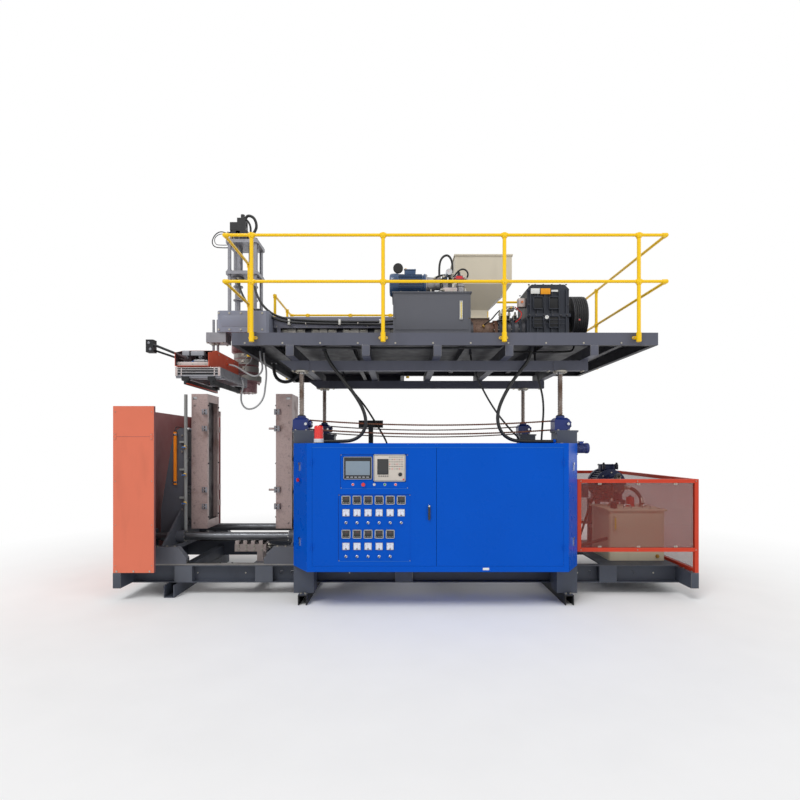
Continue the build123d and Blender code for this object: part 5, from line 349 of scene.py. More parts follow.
class Piece:
    """Mesh parts, written in millimetres, that become one piece of the scene."""

    def __init__(self):
        self.bm = bmesh.new()
        self.materials = []

    def finish_part(self, verts, material, bevel=0.0):
        """Gives the new part its material and rounds its edges."""
        if material not in self.materials:
            self.materials.append(material)
        for face in {face for vert in verts for face in vert.link_faces}:
            face.material_index = self.materials.index(material)
        if bevel:
            edges = {edge for vert in verts for edge in vert.link_edges
                     if len(edge.link_faces) == 2 and edge.calc_face_angle(0) > CORNER_ANGLE}
            bmesh.ops.bevel(self.bm, geom=list(edges), offset=bevel, segments=BEVEL_SEGMENTS, profile=0.5,
                            affect="EDGES", clamp_overlap=True)

    def block(self, low, high, material, bevel=2.0):
        middle = [(a + b) / 2 for a, b in zip(low, high)]
        size = [abs(b - a) for a, b in zip(low, high)]
        matrix = Matrix.Translation(middle) @ Matrix.Diagonal((*size, 1))
        verts = bmesh.ops.create_cube(self.bm, size=1.0, matrix=matrix)["verts"]
        self.finish_part(verts, material, min(bevel, min(size) * 0.3))

    def loft(self, rings, material):
        """A closed skin over rings of equally many places."""
        rings = [[self.bm.verts.new(spot) for spot in ring] for ring in rings]
        for lower, upper in zip(rings, rings[1:]):
            for index in range(len(lower)):
                following = (index + 1) % len(lower)
                self.bm.faces.new((lower[index], lower[following], upper[following], upper[index]))
        self.bm.faces.new(list(reversed(rings[0])))
        self.bm.faces.new(rings[-1])
        self.finish_part([vert for ring in rings for vert in ring], material)

    def turned(self, start, axis, profile, material, sides=24):
        """A turned part: profile is (distance along the axis, radius) pairs from start."""
        self.loft([circle(start, axis, radius, sides, distance) for distance, radius in profile], material)

    def rod(self, start, end, radius, material, sides=20, edge=1.5):
        """A round bar with small chamfers."""
        length = (Vector(end) - Vector(start)).length
        edge = min(edge, radius * 0.3, length * 0.3)
        profile = [(0, radius - edge), (edge, radius), (length - edge, radius), (length, radius - edge)]
        self.turned(start, Vector(end) - Vector(start), profile, material, sides)

    def bolt(self, seat, axis, size, material=None, washer=True):
        """A hexagon head of that thread size standing on seat along the axis."""
        material = material or zinc
        direction = direction_of(axis)
        if washer:
            self.turned(seat, direction, [(0, size * 1.05), (size * 0.14, size * 1.05)], material, 16)
        base = Vector(seat) + direction * (size * 0.14 if washer else 0)
        self.turned(base, direction,
                    [(0, size * 0.95), (size * 0.55, size * 0.95), (size * 0.65, size * 0.82)], material, 6)

    def socket_screw(self, seat, axis, size, material=None):
        """A round head with a hollow, standing on seat along the axis."""
        material = material or dark_metal
        self.turned(seat, axis, [(0, size * 0.75), (size * 0.9, size * 0.75), (size, size * 0.65),
                                 (size, size * 0.42), (size * 0.5, size * 0.42)], material, 14)

    def tube(self, points, radius, material, sides=10, ripple=0.0, pitch=0.0):
        """A tube along points; ripple makes the rings of a corrugated one."""
        points = [Vector(point) for point in points]
        if ripple:
            points = even_points(points, pitch / 2)
        rings = []
        normal = None
        for index, point in enumerate(points):
            ahead = points[min(index + 1, len(points) - 1)] - points[max(index - 1, 0)]
            ahead.normalize()
            if normal is None:
                normal = ahead.orthogonal().normalized()
            else:
                normal = (normal - ahead * normal.dot(ahead)).normalized()
            side = ahead.cross(normal)
            grown = radius - (ripple if index % 2 else 0.0)
            angles = [2 * math.pi * corner / sides for corner in range(sides)]
            rings.append([point + grown * (normal * math.cos(angle) + side * math.sin(angle))
                          for angle in angles])
        self.loft(rings, material)

    def hose(self, points, radius, material, sides=10, **more):
        """A short hose on a smooth line through a few guiding points."""
        self.tube(smooth_line(points), radius, material, sides, **more)

    def prism(self, outline, axis, start, end, material, bevel=0.0):
        """A flat outline pulled along an axis. It is (a, b) pairs in the other two axes, in XYZ order."""
        rings = []
        for place in (start, end):
            ring = []
            for a, b in outline:
                spot = {"x": (place, a, b), "y": (a, place, b), "z": (a, b, place)}[axis]
                ring.append(self.bm.verts.new(spot))
            rings.append(ring)
        count = len(outline)
        faces = [self.bm.faces.new(rings[0]), self.bm.faces.new(list(reversed(rings[1])))]
        for index in range(count):
            following = (index + 1) % count
            faces.append(self.bm.faces.new((rings[0][following], rings[0][index],
                                            rings[1][index], rings[1][following])))
        bmesh.ops.recalc_face_normals(self.bm, faces=faces)
        self.finish_part([vert for ring in rings for vert in ring], material, bevel)

    def place(self, name, body, slot, replaces=()):
        """Closes the piece: scales it to metres and lets it ride on its body."""
        bmesh.ops.scale(self.bm, vec=(MM, MM, MM), verts=self.bm.verts)
        mesh = bpy.data.meshes.new(name)
        self.bm.to_mesh(mesh)
        self.bm.free()
        for material in self.materials:
            mesh.materials.append(material)
        mesh.shade_smooth()
        mesh.set_sharp_from_angle(angle=math.radians(SHARP_DEGREES))
        piece = link(name, mesh)
        if body:
            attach(piece, body)
        for node in replaces:
            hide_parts(node)
        return piece


def nurbs_points(points, count=14):
    """The points of the smooth NURBS line that points control, as Blender reads it."""
    curve = bpy.data.curves.new("guide", "CURVE")
    curve.dimensions = "3D"
    curve.resolution_u = count
    spline = curve.splines.new("NURBS")
    spline.points.add(len(points) - 1)
    for control, point in zip(spline.points, points):
        control.co = (*point, 1.0)
    spline.order_u = 3
    spline.use_endpoint_u = True
    holder = bpy.data.objects.new("guide", curve)
    mesh = bpy.data.meshes.new_from_object(holder)
    line = [vert.co.copy() for vert in mesh.vertices]
    bpy.data.meshes.remove(mesh)
    bpy.data.objects.remove(holder)
    bpy.data.curves.remove(curve)
    return line


def smooth_line(points):
    """The smooth line of a short hose through its guiding points."""
    return nurbs_points(points, 8)


def even_points(points, step):
    """Points a step apart along a line."""
    spaced = [points[0]]
    left = step
    for start, end in zip(points, points[1:]):
        run = (end - start).length
        place = left
        while place < run:
            spaced.append(start.lerp(end, place / run))
            place += step
        left = place - run
    return spaced


def dress(name, main, *regions):
    """Gives a CAD node its main material, and others to its faces in regions, given in millimetres."""
    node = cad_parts[name]
    mesh = node.data
    mesh.materials.clear()
    mesh.materials.append(main)
    for material, low, high in regions:
        mesh.materials.append(material)
    for polygon in mesh.polygons:
        middle = polygon.center / MM
        index = 0
        for number, (material, low, high) in enumerate(regions):
            if all(a - 0.01 <= m <= b + 0.01 for a, m, b in zip(low, middle, high)):
                index = number + 1
        polygon.material_index = index


# Camera, light and stage

camera = link("camera", bpy.data.cameras.new("camera"))
camera.data.lens = 23.4
camera.data.sensor_width = 36.0
camera.data.shift_y = 0.05875
camera.data.clip_end = 200.0
camera.location = (-0.069, -7.49, 1.824)
camera.rotation_euler = (math.radians(90), 0, 0)
bpy.context.scene.camera = camera
bpy.context.scene.view_settings.view_transform = "Standard"

world = bpy.data.worlds.new("studio")
world.use_nodes = True
bpy.context.scene.world = world


def seen_directly(tree):
    """A share that is 1 for what the camera sees itself or through gloss and glass."""
    path = tree.nodes.new("ShaderNodeLightPath")
    share = path.outputs["Is Camera Ray"]
    for name in ("Is Glossy Ray", "Is Transmission Ray"):
        add = tree.nodes.new("ShaderNodeMath")
        add.operation = "MAXIMUM"
        tree.links.new(share, add.inputs[0])
        tree.links.new(path.outputs[name], add.inputs[1])
        share = add.outputs[0]
    return share


background = world.node_tree.nodes["Background"]
background.inputs["Color"].default_value = (1.0, 1.0, 1.0, 1.0)
strength = world.node_tree.nodes.new("ShaderNodeMapRange")
strength.inputs["To Min"].default_value = 0.62
strength.inputs["To Max"].default_value = 1.0
world.node_tree.links.new(seen_directly(world.node_tree), strength.inputs["Value"])
world.node_tree.links.new(strength.outputs["Result"], background.inputs["Strength"])

for name, energy, direction, angle in (("key", 1.25, (38, 0, -32), 24), ("fill", 0.45, (60, 0, 55), 40)):
    lamp = bpy.data.lights.new(name, "SUN")
    lamp.energy = energy
    lamp.angle = math.radians(angle)
    holder = link(name, lamp)
    holder.rotation_euler = tuple(math.radians(a) for a in direction)

floor_nodes = Nodes("floor")
from_centre = floor_nodes.tree.nodes.new("ShaderNodeVectorMath")
from_centre.operation = "LENGTH"
floor_nodes.tree.links.new(floor_nodes.place, from_centre.inputs[0])
floor_nodes.set("Base Color",
                floor_nodes.mixed(floor_nodes.noise(2.0), colour(240, 240, 240), colour(246, 246, 246)))
floor_nodes.set("Roughness", 0.85)
floor_nodes.set("Specular IOR Level", 0.1)
floor_glow = floor_nodes.tree.nodes.new("ShaderNodeEmission")
floor_mix = floor_nodes.tree.nodes.new("ShaderNodeMixShader")
floor_nodes.tree.links.new(floor_nodes.ranged(from_centre.outputs["Value"], 4.5, 8.0, 0.0, 1.0),
                           floor_mix.inputs[0])
floor_nodes.tree.links.new(floor_nodes.shader.outputs[0], floor_mix.inputs[1])
floor_nodes.tree.links.new(floor_glow.outputs[0], floor_mix.inputs[2])
floor_nodes.tree.links.new(floor_mix.outputs[0], floor_nodes.tree.nodes["Material Output"].inputs["Surface"])
floor_mesh = bpy.data.meshes.new("floor")
floor_mesh.from_pydata([(-60, -60, 0), (60, -60, 0), (60, 60, 0), (-60, 60, 0)], [], [(0, 1, 2, 3)])
floor_mesh.materials.append(floor_nodes.material)
floor = link("floor", floor_mesh)
floor.location.z = -0.001


# Cords

# Each route's points are those of its CAD solid, in metres
CORDS = {
    "left_front_hose": (0.020, 1.677, rubber, (-1.390, 1.95), [
        (-0.950, -1.400, 2.950), (-0.915, -1.400, 2.850), (-0.830, -1.402, 2.730), (-0.705, -1.402, 2.575),
        (-0.585, -1.400, 2.420), (-0.495, -1.396, 2.260), (-0.462, -1.394, 2.110), (-0.505, -1.392, 1.975),
        (-0.620, -1.390, 1.898), (-0.770, -1.385, 1.889), (-0.925, -1.365, 1.890), (-1.043, -1.360, 1.889)]),
    "left_rear_hose": (0.014, 2.061, rubber, (0.400, 1.25), [
        (-0.930, 0.400, 2.950), (-0.905, 0.402, 2.830), (-0.805, 0.404, 2.690), (-0.690, 0.402, 2.560),
        (-0.575, 0.398, 2.410), (-0.465, 0.392, 2.235), (-0.358, 0.388, 2.060), (-0.262, 0.390, 1.885),
        (-0.225, 0.400, 1.700), (-0.240, 0.420, 1.510), (-0.300, 0.445, 1.330), (-0.385, 0.465, 1.215),
        (-0.460, 0.480, 1.180)]),
    "right_front_hose": (0.020, 1.713, rubber, (-1.390, 1.95), [
        (1.465, -1.400, 2.950), (1.440, -1.400, 2.840), (1.350, -1.401, 2.730), (1.245, -1.402, 2.590),
        (1.150, -1.402, 2.430), (1.083, -1.400, 2.270), (1.070, -1.398, 2.120), (1.120, -1.396, 1.985),
        (1.230, -1.393, 1.905), (1.375, -1.388, 1.889), (1.530, -1.368, 1.890), (1.660, -1.362, 1.889),
        (1.733, -1.361, 1.889)]),
    "right_middle_hose": (0.011, 1.242, rubber, (-1.150, 1.95), [
        (0.790, -1.150, 2.950), (0.805, -1.150, 2.830), (0.875, -1.151, 2.660), (0.990, -1.152, 2.430),
        (1.110, -1.153, 2.240), (1.245, -1.153, 2.070), (1.325, -1.152, 1.985), (1.376, -1.151, 1.938),
        (1.398, -1.150, 1.889)]),
    "gearmotor_hose": (0.012, 1.065, rubber, (-1.150, 1.95), [
        (1.575, -1.150, 2.950), (1.580, -1.150, 2.800), (1.625, -1.151, 2.620), (1.672, -1.152, 2.440),
        (1.682, -1.152, 2.250), (1.665, -1.151, 2.070), (1.655, -1.150, 1.897)]),
    "upper_conduit": (0.012, 0.740, conduit_grey, None, [
        (-1.848, -0.890, 3.040), (-1.846, -0.892, 2.960), (-1.812, -0.894, 2.865), (-1.818, -0.896, 2.775),
        (-1.885, -0.898, 2.716), (-1.975, -0.900, 2.735), (-2.085, -0.900, 2.810), (-2.175, -0.900, 2.858),
        (-2.240, -0.900, 2.868)]),
    "lower_conduit": (0.012, 1.269, conduit_grey, None, [
        (-1.832, -0.760, 3.040), (-1.829, -0.760, 2.950), (-1.800, -0.760, 2.845), (-1.798, -0.760, 2.725),
        (-1.812, -0.760, 2.600), (-1.828, -0.760, 2.475), (-1.884, -0.760, 2.378), (-1.965, -0.760, 2.318),
        (-2.062, -0.760, 2.312), (-2.122, -0.760, 2.390), (-2.128, -0.760, 2.490), (-2.104, -0.760, 2.580),
        (-2.090, -0.760, 2.640), (-2.112, -0.760, 2.688)]),
}

for name, (radius, cord_length, material, blend_from, route) in CORDS.items():
    line = nurbs_points(route)
    hose = Piece()
    if blend_from:
        hose.tube([point / MM for point in line], radius / MM, material, 16)
    else:
        hose.tube([point / MM for point in line], radius / MM, material, 14, ripple=1.6, pitch=9.0)
    piece = hose.place(name + "_cord", None if blend_from else "deck",
                       "black_rubber" if blend_from else "conduit_grey", replaces=[name])
    if blend_from:
        y, low = blend_from
        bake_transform(piece)


# Materials of the carried-over nodes

# FAR is beyond the machine, for a region that is open on that side
FAR = 9000
for main, nodes in (
        (guard_red, ("right_guard_frame",)),
        (tint_panel, ("right_guard_panels",)),
        (cabinet_blue, ("control_cabinet", "right_door")),
        (rack_grey, ("switchgear", "left_water_manifold")),
        (housing_blue, ("jack_housings",)),
        (valve_orange, ("position_sensor",)),
        (steel, ("sync_pinion", "extruder_screw", "die_mandrel")),
        (knob_black, ("door_handle",)),
        (signal_red, ("panel_stop_button", "emergency_stop")),
        (signal_green, ("start_button",)),
        (bright, ("key_switch",)),
        (band_steel, ("heater_bands",)),
        (cover_paint, ("barrel_cover",)),
        (hopper_beige, ("hopper",)),
        (gearbox_grey, ("gearbox",)),
        (rubber, ("drive_belts",)),
        (tower_steel, ("pinch_frame",)),
        (dark_metal, ("drive_sheave", "motor_pulley")),
        (carriage_grey, ("left_carriage", "right_carriage")),
        (shadow_black, ("left_pinch_bar", "right_pinch_bar"))):
    for name in nodes:
        dress(name, main)
dress("base_frame", slate, (block_grey, (-2853, -1075, 140), (-2637, -960, 372)),
      (block_grey, (-1858, -1075, 140), (-1642, -960, 372)),
      (shadow_black, (-720, 400, 292), (-320, 560, 2240)))
dress("columns", slate, (shadow_black, (-FAR, -FAR, 0), (FAR, FAR, 116)))
dress("clamp_rails", slate, (rail_steel, (-3310, -1080, 362), (-1320, 700, 385)),
      (bar_steel, (-3350, -680, 585), (-1000, -500, 700)), (bar_steel, (-3350, 120, 585), (-1000, 300, 700)))
# The left guard's inner faces take the painted shade
dress("left_guard", guard_orange, (guard_inside_shade, (-3460.1, -1337.1, 330), (-2980, 947.1, 2320)))
dress("oil_tank", tank_beige, (shadow_black, (2680, -730, 1023), (2780, -630, 1100)))
dress("cabinet_hardware", bright, (cabinet_blue, (1690, -1765, 560), (1800, -1736, 1750)),
      (cabinet_blue, (-1100, -1765, 560), (-990, -1736, 1750)))
dress("warning_beacon", white_paint, (beacon_lens, (-1100, -1700, 1917.5), (-900, -1500, 2100)))
dress("clamp_hydraulics", pink_alloy, (black_plastic, (-2290, -500, 521), (-1870, -330, 640)))
dress("left_platen", platen_steel, (pocket_steel, (-2749.5, -361.5, 820), (-2700, -18.5, 2440)))
dress("right_platen", platen_steel, (pocket_steel, (-1748, -361.5, 820), (-1698.5, -18.5, 2440)))
dress("left_door", cabinet_blue, (knob_black, (232, -1746, 1010), (275, -1740.4, 1210)))
# The deck's underside takes the painted shade
dress("deck_frame", deck_paint, (under_deck_shade, (-1940, -1683, 2846), (2804, 1683, 3094.5)))
dress("barrel", dark_metal, (feed_steel, (930, -FAR, 3100), (1276, FAR, 3700)))
# The head housing's faces take the painted light
dress("die_head", die_steel, (head_painted_light, (-2470, -695, 3327), (-1785, 315, 3612)),
      (head_painted_light, (-1950, -695, 3099), (-1785, 315, 3327)))
dress("head_tower", tower_steel, (black_plastic, (-2460, -290, 4664.9), (-2180, -90, 5090)))
dress("station_tank", tank_grey, (light_plastic, (629, -1409, 3315), (665, -1397, 3537)))
# The inner faces of the arm's box take the painted shade
dress("parison_arm", arm_orange, (arm_inside_shade, (-2646.5, -1531, 2756.5), (-2266.5, -434.5, 2972.5)),
      (shadow_black, (-3050, -1560, 2740), (-2651.5, -1380, 3090)),
      (tower_steel, (-2640, -680, 2978), (-2340, -440, 3530)))


# Instruments of the left door

SEAT_Y = -1736.0
BEZEL_Y = -1745.0
KNOB_FRONT = -1760.0


def bezel(panel, x, z, width, height, rim, face, rim_width=6.0):
    """A flush instrument: its case behind the door, four rim bars and a face set back between them."""
    half_x, half_z = width / 2, height / 2
    panel.block((x - half_x + 4, SEAT_Y, z - half_z + 4), (x + half_x - 4, SEAT_Y + 55, z + half_z - 4),
                black_plastic, 1)
    panel.block((x - half_x, BEZEL_Y + 3, z - half_z), (x + half_x, SEAT_Y, z + half_z), face, 1)
    for side in (-1, 1):
        edge_x = sorted((x + side * half_x, x + side * (half_x - rim_width)))
        edge_z = sorted((z + side * half_z, z + side * (half_z - rim_width)))
        panel.block((edge_x[0], BEZEL_Y, z - half_z), (edge_x[1], BEZEL_Y + 3.5, z + half_z), rim, 1.2)
        panel.block((x - half_x, BEZEL_Y, edge_z[0]), (x + half_x, BEZEL_Y + 3.5, edge_z[1]), rim, 1.2)


SEGMENTS = {"0": "abcdef", "1": "bc", "2": "abged", "5": "afgcd", "8": "abcdefg"}
BARS = {"a": (0, 1, 1, 0), "g": (0, 0, 1, 0), "d": (0, -1, 1, 0), "f": (-1, 0.5, 0, 1), "b": (1, 0.5, 0, 1),
        "e": (-1, -0.5, 0, 1), "c": (1, -0.5, 0, 1)}


def digits(panel, text, x, z, height, material):
    """Seven-segment digits, centred on x."""
    half_z = height / 2
    half_x = half_z * 0.5
    start = x - (len(text) - 1) * half_x * 1.7
    for index, character in enumerate(text):
        middle = start + index * half_x * 3.4
        for segment in SEGMENTS[character]:
            across, up, wide, tall = BARS[segment]
            bar_x, bar_z = middle + across * half_x, z + up * half_z
            reach_x = half_x * 0.8 if wide else height * 0.05
            reach_z = half_z * 0.4 if tall else height * 0.05
            panel.block((bar_x - reach_x, BEZEL_Y + 1.2, bar_z - reach_z),
                        (bar_x + reach_x, BEZEL_Y + 1.8, bar_z + reach_z), material, 0)


def temperature_controller(panel, x, z, number):
    """Light rim, black face, a dark window with two rows of digits, and a row of keys with pale marks."""
    bezel(panel, x, z, 96, 96, light_plastic, black_plastic, 7)
    panel.block((x - 36, BEZEL_Y + 1.5, z - 8), (x + 36, BEZEL_Y + 3.2, z + 36), display, 1)
    digits(panel, ("182", "185", "188", "180", "185", "182")[number % 6], x, z + 22, 15, dim_red)
    digits(panel, "185", x, z + 2, 10, dim_green)
    for key in range(4):
        left = x - 34 + key * 18.5
        panel.block((left, BEZEL_Y + 1.2, z - 33), (left + 13, BEZEL_Y + 3.2, z - 22), knob_black, 1)
        panel.block((left + 4, BEZEL_Y + 0.9, z - 29), (left + 9, BEZEL_Y + 1.4, z - 26), instrument_white, 0)
    for mark in range(3):
        panel.block((x - 41, BEZEL_Y + 2.4, z + 14 - mark * 12), (x - 38, BEZEL_Y + 3.2, z + 17 - mark * 12),
                    instrument_white, 0)


SCALE_RADIUS = 46


def ammeter(panel, x, z, share):
    """A square meter with a scale of ticks and a red pointer at that share of it."""
    bezel(panel, x, z, 80, 80, light_plastic, dial_white, 4)
    pivot_z = z - 24
    for tick in range(11):
        angle = math.radians(140 - tick * 10)
        length = 8 if tick % 5 == 0 else 5
        middle = SCALE_RADIUS - length / 2
        spot = (x + middle * math.cos(angle), pivot_z + middle * math.sin(angle))
        end_a = (spot[0] - length / 2 * math.cos(angle), BEZEL_Y + 2.6,
                 spot[1] - length / 2 * math.sin(angle))
        end_b = (spot[0] + length / 2 * math.cos(angle), BEZEL_Y + 2.6,
                 spot[1] + length / 2 * math.sin(angle))
        panel.rod(end_a, end_b, 0.9, ink, 6, 0.2)
    angle = math.radians(140 - 100 * share)
    panel.rod((x, BEZEL_Y + 2.2, pivot_z), (x + 42 * math.cos(angle), BEZEL_Y + 2.2,
                                            pivot_z + 42 * math.sin(angle)), 0.8, signal_red, 6, 0.2)
    base = [(x - 8, z - 34), (x + 8, z - 34), (x + 8, z - 27), (x + 4, z - 22), (x - 4, z - 22),
            (x - 8, z - 27)]
    panel.prism(base, "y", BEZEL_Y + 0.8, BEZEL_Y + 3.4, black_plastic)
    panel.turned((x, BEZEL_Y + 0.9, z - 29), FORWARD, [(0, 2.6), (0.8, 2.6), (1.1, 2.0)], zinc, 12)


def selector(panel, x, z):
    """Round selector switch with a slanting two-armed knob."""
    panel.turned((x, SEAT_Y, z), FORWARD, [(0, 15), (5, 15), (6, 13.5), (6, 11), (8, 11), (9, 10)],
                 bright, 28)
    turn = Matrix.Rotation(math.radians(38), 3, "Y")
    outline = [(-4, -14), (4, -14), (5, 0), (4, 14), (-4, 14), (-5, 0)]
    turned = [turn @ Vector((a, 0, b)) for a, b in outline]
    panel.prism([(x + v.x, z + v.z) for v in turned], "y", KNOB_FRONT, SEAT_Y - 8, knob_black, 1.2)
    tip = turn @ Vector((0, 0, 10))
    panel.block((x + tip.x - 1.2, KNOB_FRONT - 0.4, z + tip.z - 3.5),
                (x + tip.x + 1.2, KNOB_FRONT + 0.4, z + tip.z + 3.5), instrument_white, 0)


def button_ring(panel, x, z):
    """The bright ring round a push button, whose cap is a node of its own."""
    panel.turned((x, SEAT_Y - 0.2, z), FORWARD,
                 [(0, 16), (4.6, 16), (5.8, 14.8), (5.8, 11.6), (0.2, 11.6)], bright, 32)


def lamp(panel, x, z):
    """A red signal lamp in a bright ring."""
    panel.turned((x, SEAT_Y, z), FORWARD, [(0, 16), (4.6, 16), (6, 14.8), (6, 12)], bright, 32)
    dome = [(6, 11.5)] + [(6 + 6 * math.sin(a), 11.5 * math.cos(a)) for a in (0.4, 0.8, 1.2, 1.5)]
    panel.turned((x, SEAT_Y, z), FORWARD, dome, red_lens, 28)


panel = Piece()
bezel(panel, -536, 1591, 318, 252, grey_plastic, black_plastic, 9)
panel.block((-686, BEZEL_Y + 1.8, 1474), (-386, BEZEL_Y + 3.2, 1708), black_plastic, 1)
panel.block((-670, BEZEL_Y + 1.2, 1512), (-402, BEZEL_Y + 2.2, 1668), screen, 0.4)
for key in range(6):
    left = -662 + key * 44
    panel.block((left, BEZEL_Y + 0.8, 1484), (left + 30, BEZEL_Y + 2.4, 1497), grey_plastic, 1)
bezel(panel, -184.5, 1592.5, 359, 303, grey_plastic, silver_plastic, 12)
panel.block((-320, BEZEL_Y + 1.2, 1519), (-196, BEZEL_Y + 3.2, 1691), black_plastic, 1.5)
panel.block((-312, BEZEL_Y + 0.6, 1529), (-204, BEZEL_Y + 1.8, 1681), display, 0.5)
for column, row in product(range(6), range(6)):
    x, z = -182 + column * 27, 1712 - row * 26
    if row % 2:
        panel.turned((x, BEZEL_Y + 3, z), FORWARD, [(0, 6), (2.5, 6), (3.4, 4.8)],
                     (signal_red, grey_plastic, ink)[(column + row) % 3], 14)
    else:
        panel.block((x - 9, BEZEL_Y + 2.2, z - 3), (x + 9, BEZEL_Y + 3.4, z + 3), ink, 0)
for column in range(5):
    x = -300 + column * 24
    panel.turned((x, BEZEL_Y + 3, 1502), FORWARD, [(0, 7), (3, 7), (4, 5.6)], black_plastic, 14)
panel.turned((-66, BEZEL_Y + 3, 1521), FORWARD, [(0, 22), (3, 22), (5, 18), (14, 16), (16, 14)],
             knob_black, 28)
panel.turned((-30, BEZEL_Y + 3, 1466), FORWARD, [(0, 9), (3, 9), (4, 7)], signal_red, 18)
for columns, temperature_z, ammeter_z, switch_z in ((6, 1237, 1098, 986), (5, 861, 726, 613)):
    for column in range(columns):
        x = -666 + 122 * column
        temperature_controller(panel, x, temperature_z, column)
        ammeter(panel, x, ammeter_z, 0.35 + 0.07 * ((column * 3) % 5))
        selector(panel, x, switch_z)
for x in (-590, -118):
    lamp(panel, x, 1409)
for x in (-474, -354, -237):
    button_ring(panel, x, 1409)
# Round each door recess: painted shadow along the left and top edges, a painted highlight along the bottom
# edge, and a screw in each corner
for low_x, high_x, low_z, high_z in ((-729, 22, 1362, 1744), (-753, 50, 558, 1301)):
    panel.block((low_x + 0.2, SEAT_Y - 3.8, low_z + 0.2), (low_x + 3, SEAT_Y, high_z - 0.2), recess_shadow_blue, 0.4)
    panel.block((low_x + 0.2, SEAT_Y - 3.8, high_z - 3), (high_x - 0.2, SEAT_Y, high_z - 0.2), recess_shadow_blue, 0.4)
    panel.block((low_x + 3, SEAT_Y - 3.8, low_z + 0.2), (high_x - 0.2, SEAT_Y, low_z + 3), lit_blue, 0.4)
    for x, z in product((low_x + 9, high_x - 9), (low_z + 9, high_z - 9)):
        panel.socket_screw((x, SEAT_Y, z), FORWARD, 6, zinc)
panel.place("instrument_panel", "left_door_leaf", "instrument_grey", ["panel_instruments"])


# Lift: screws, chains, jacks

THREAD_PITCH = 20.0
THREAD_DEPTH = 6.0
THREAD_SIDES = 22
JACK_TO_COLUMN = 45
JACK_TOP = 2192
NUT_SEAT = 2710
SHAFT_Z = 2095
SHAFT_TO_JACK = 65
SHAFT_TO_COLUMN_Y = 105


def threaded(piece, x, y, bottom, top, radius, material):
    """A trapezoidal thread as one winding surface from bottom to top."""
    turns = int((top - bottom) / THREAD_PITCH)
    root = radius - THREAD_DEPTH
    shape = ((0.0, root), (0.2, root), (0.32, radius), (0.68, radius), (0.8, root))
    rings = []
    for step in range(turns * THREAD_SIDES + 1):
        angle = 2 * math.pi * step / THREAD_SIDES
        height = bottom + THREAD_PITCH * step / THREAD_SIDES
        rings.append([piece.bm.verts.new((x + r * math.cos(angle), y + r * math.sin(angle),
                                          height + share * THREAD_PITCH)) for share, r in shape])
    for lower, upper in zip(rings, rings[1:]):
        for index in range(len(shape) - 1):
            piece.bm.faces.new((lower[index], upper[index], upper[index + 1], lower[index + 1]))
    for step in range(len(rings) - THREAD_SIDES - 1):
        above = step + THREAD_SIDES
        piece.bm.faces.new((rings[step][-1], rings[step + 1][-1], rings[above + 1][0], rings[above][0]))
    piece.finish_part([vert for ring in rings for vert in ring], material)


JACKS = [(x - JACK_TO_COLUMN, y) for x, y in product(COLUMNS_X, COLUMNS_Y)]
screws = Piece()
for x, y in JACKS:
    threaded(screws, x, y, 1830, 2700, 30, thread_steel)
    screws.rod((x, y, 1450), (x, y, 1846), 27, steel, 24)
    screws.rod((x, y, 2690), (x, y, 2712), 31, steel, 24)
    screws.rod((x, y, 1830), (x, y, 2712), 23.6, thread_steel, 16)
    screws.turned((x, y, NUT_SEAT), "z", [(0, 76), (3, 80), (20, 80)], zinc, 40)
    for corner in range(6):
        angle = math.radians(30 + 60 * corner)
        screws.bolt((x + 60 * math.cos(angle), y + 60 * math.sin(angle), NUT_SEAT), DOWN, 12)
screws.place("lift_screws", "deck", "bare_steel", ["jack_screws"])

fixings = Piece()
for x, y in JACKS:
    fixings.turned((x, y, JACK_TOP), "z", [(0, 44), (6, 44), (10, 40), (14, 31.5)], rubber, 32)
    for corner in range(4):
        angle = math.radians(45 + 90 * corner)
        fixings.socket_screw((x + 45 * math.cos(angle), y + 45 * math.sin(angle), JACK_TOP), "z", 9)
        fixings.socket_screw((x + 120, y + 32 * math.cos(angle), SHAFT_Z + 32 * math.sin(angle)), "x", 8)
    for side, edge in product((-1, 1), (-1, 1)):
        fixings.bolt((x + side * 62 + 8, y + edge * 100, 2020), "z", 14)
    fixings.turned((x + 65, y - 113.5, SHAFT_Z), (0, 1, 0), [(0, 15.5), (1.5, 17.3), (30, 17.3)], bright, 24)
    fixings.block((x + 60, y - 113.2, 2108), (x + 70, y - 92, 2113.5), zinc, 0.6)
fixings.place("jack_fixings", "base", "bare_steel")


def chain_link_outline(half_pitch, half_height, waist):
    """A link plate's outline about its middle, as (along, up) pairs."""
    outline = []
    for side in (1, -1):
        for step in range(7):
            angle = math.radians(-90 + 30 * step)
            outline.append((side * (half_pitch + half_height * math.cos(angle)),
                            side * half_height * math.sin(angle)))
        outline.append((0, side * waist))
    return outline


def roller_chain(chain, line, middle_y, width, material, pin_material):
    """Link plates and rollers along a closed line of (x, z) places one pitch apart."""
    count = len(line)
    for index in range(count):
        a = Vector(line[index])
        b = Vector(line[(index + 1) % count])
        along = b - a
        half_pitch = along.length / 2
        along.normalize()
        up = Vector((-along.y, along.x))
        middle = (a + b) / 2
        offset = width / 2 - (1.5 if index % 2 else 4.5)
        outline = [(middle + along * u + up * v) for u, v in chain_link_outline(half_pitch, 10.0, 7.0)]
        for side in (-1, 1):
            near = middle_y + side * offset
            chain.prism([(p.x, p.y) for p in outline], "y", near - 1.3, near + 1.3, material)
        chain.turned((a.x, middle_y - width / 2 + 4, a.y), "y", [(0, 6.5), (width - 8, 6.5)], pin_material, 8)
        chain.turned((a.x, middle_y - width / 2 - 0.6, a.y), "y", [(0, 3), (width + 1.2, 3)], pin_material, 6)


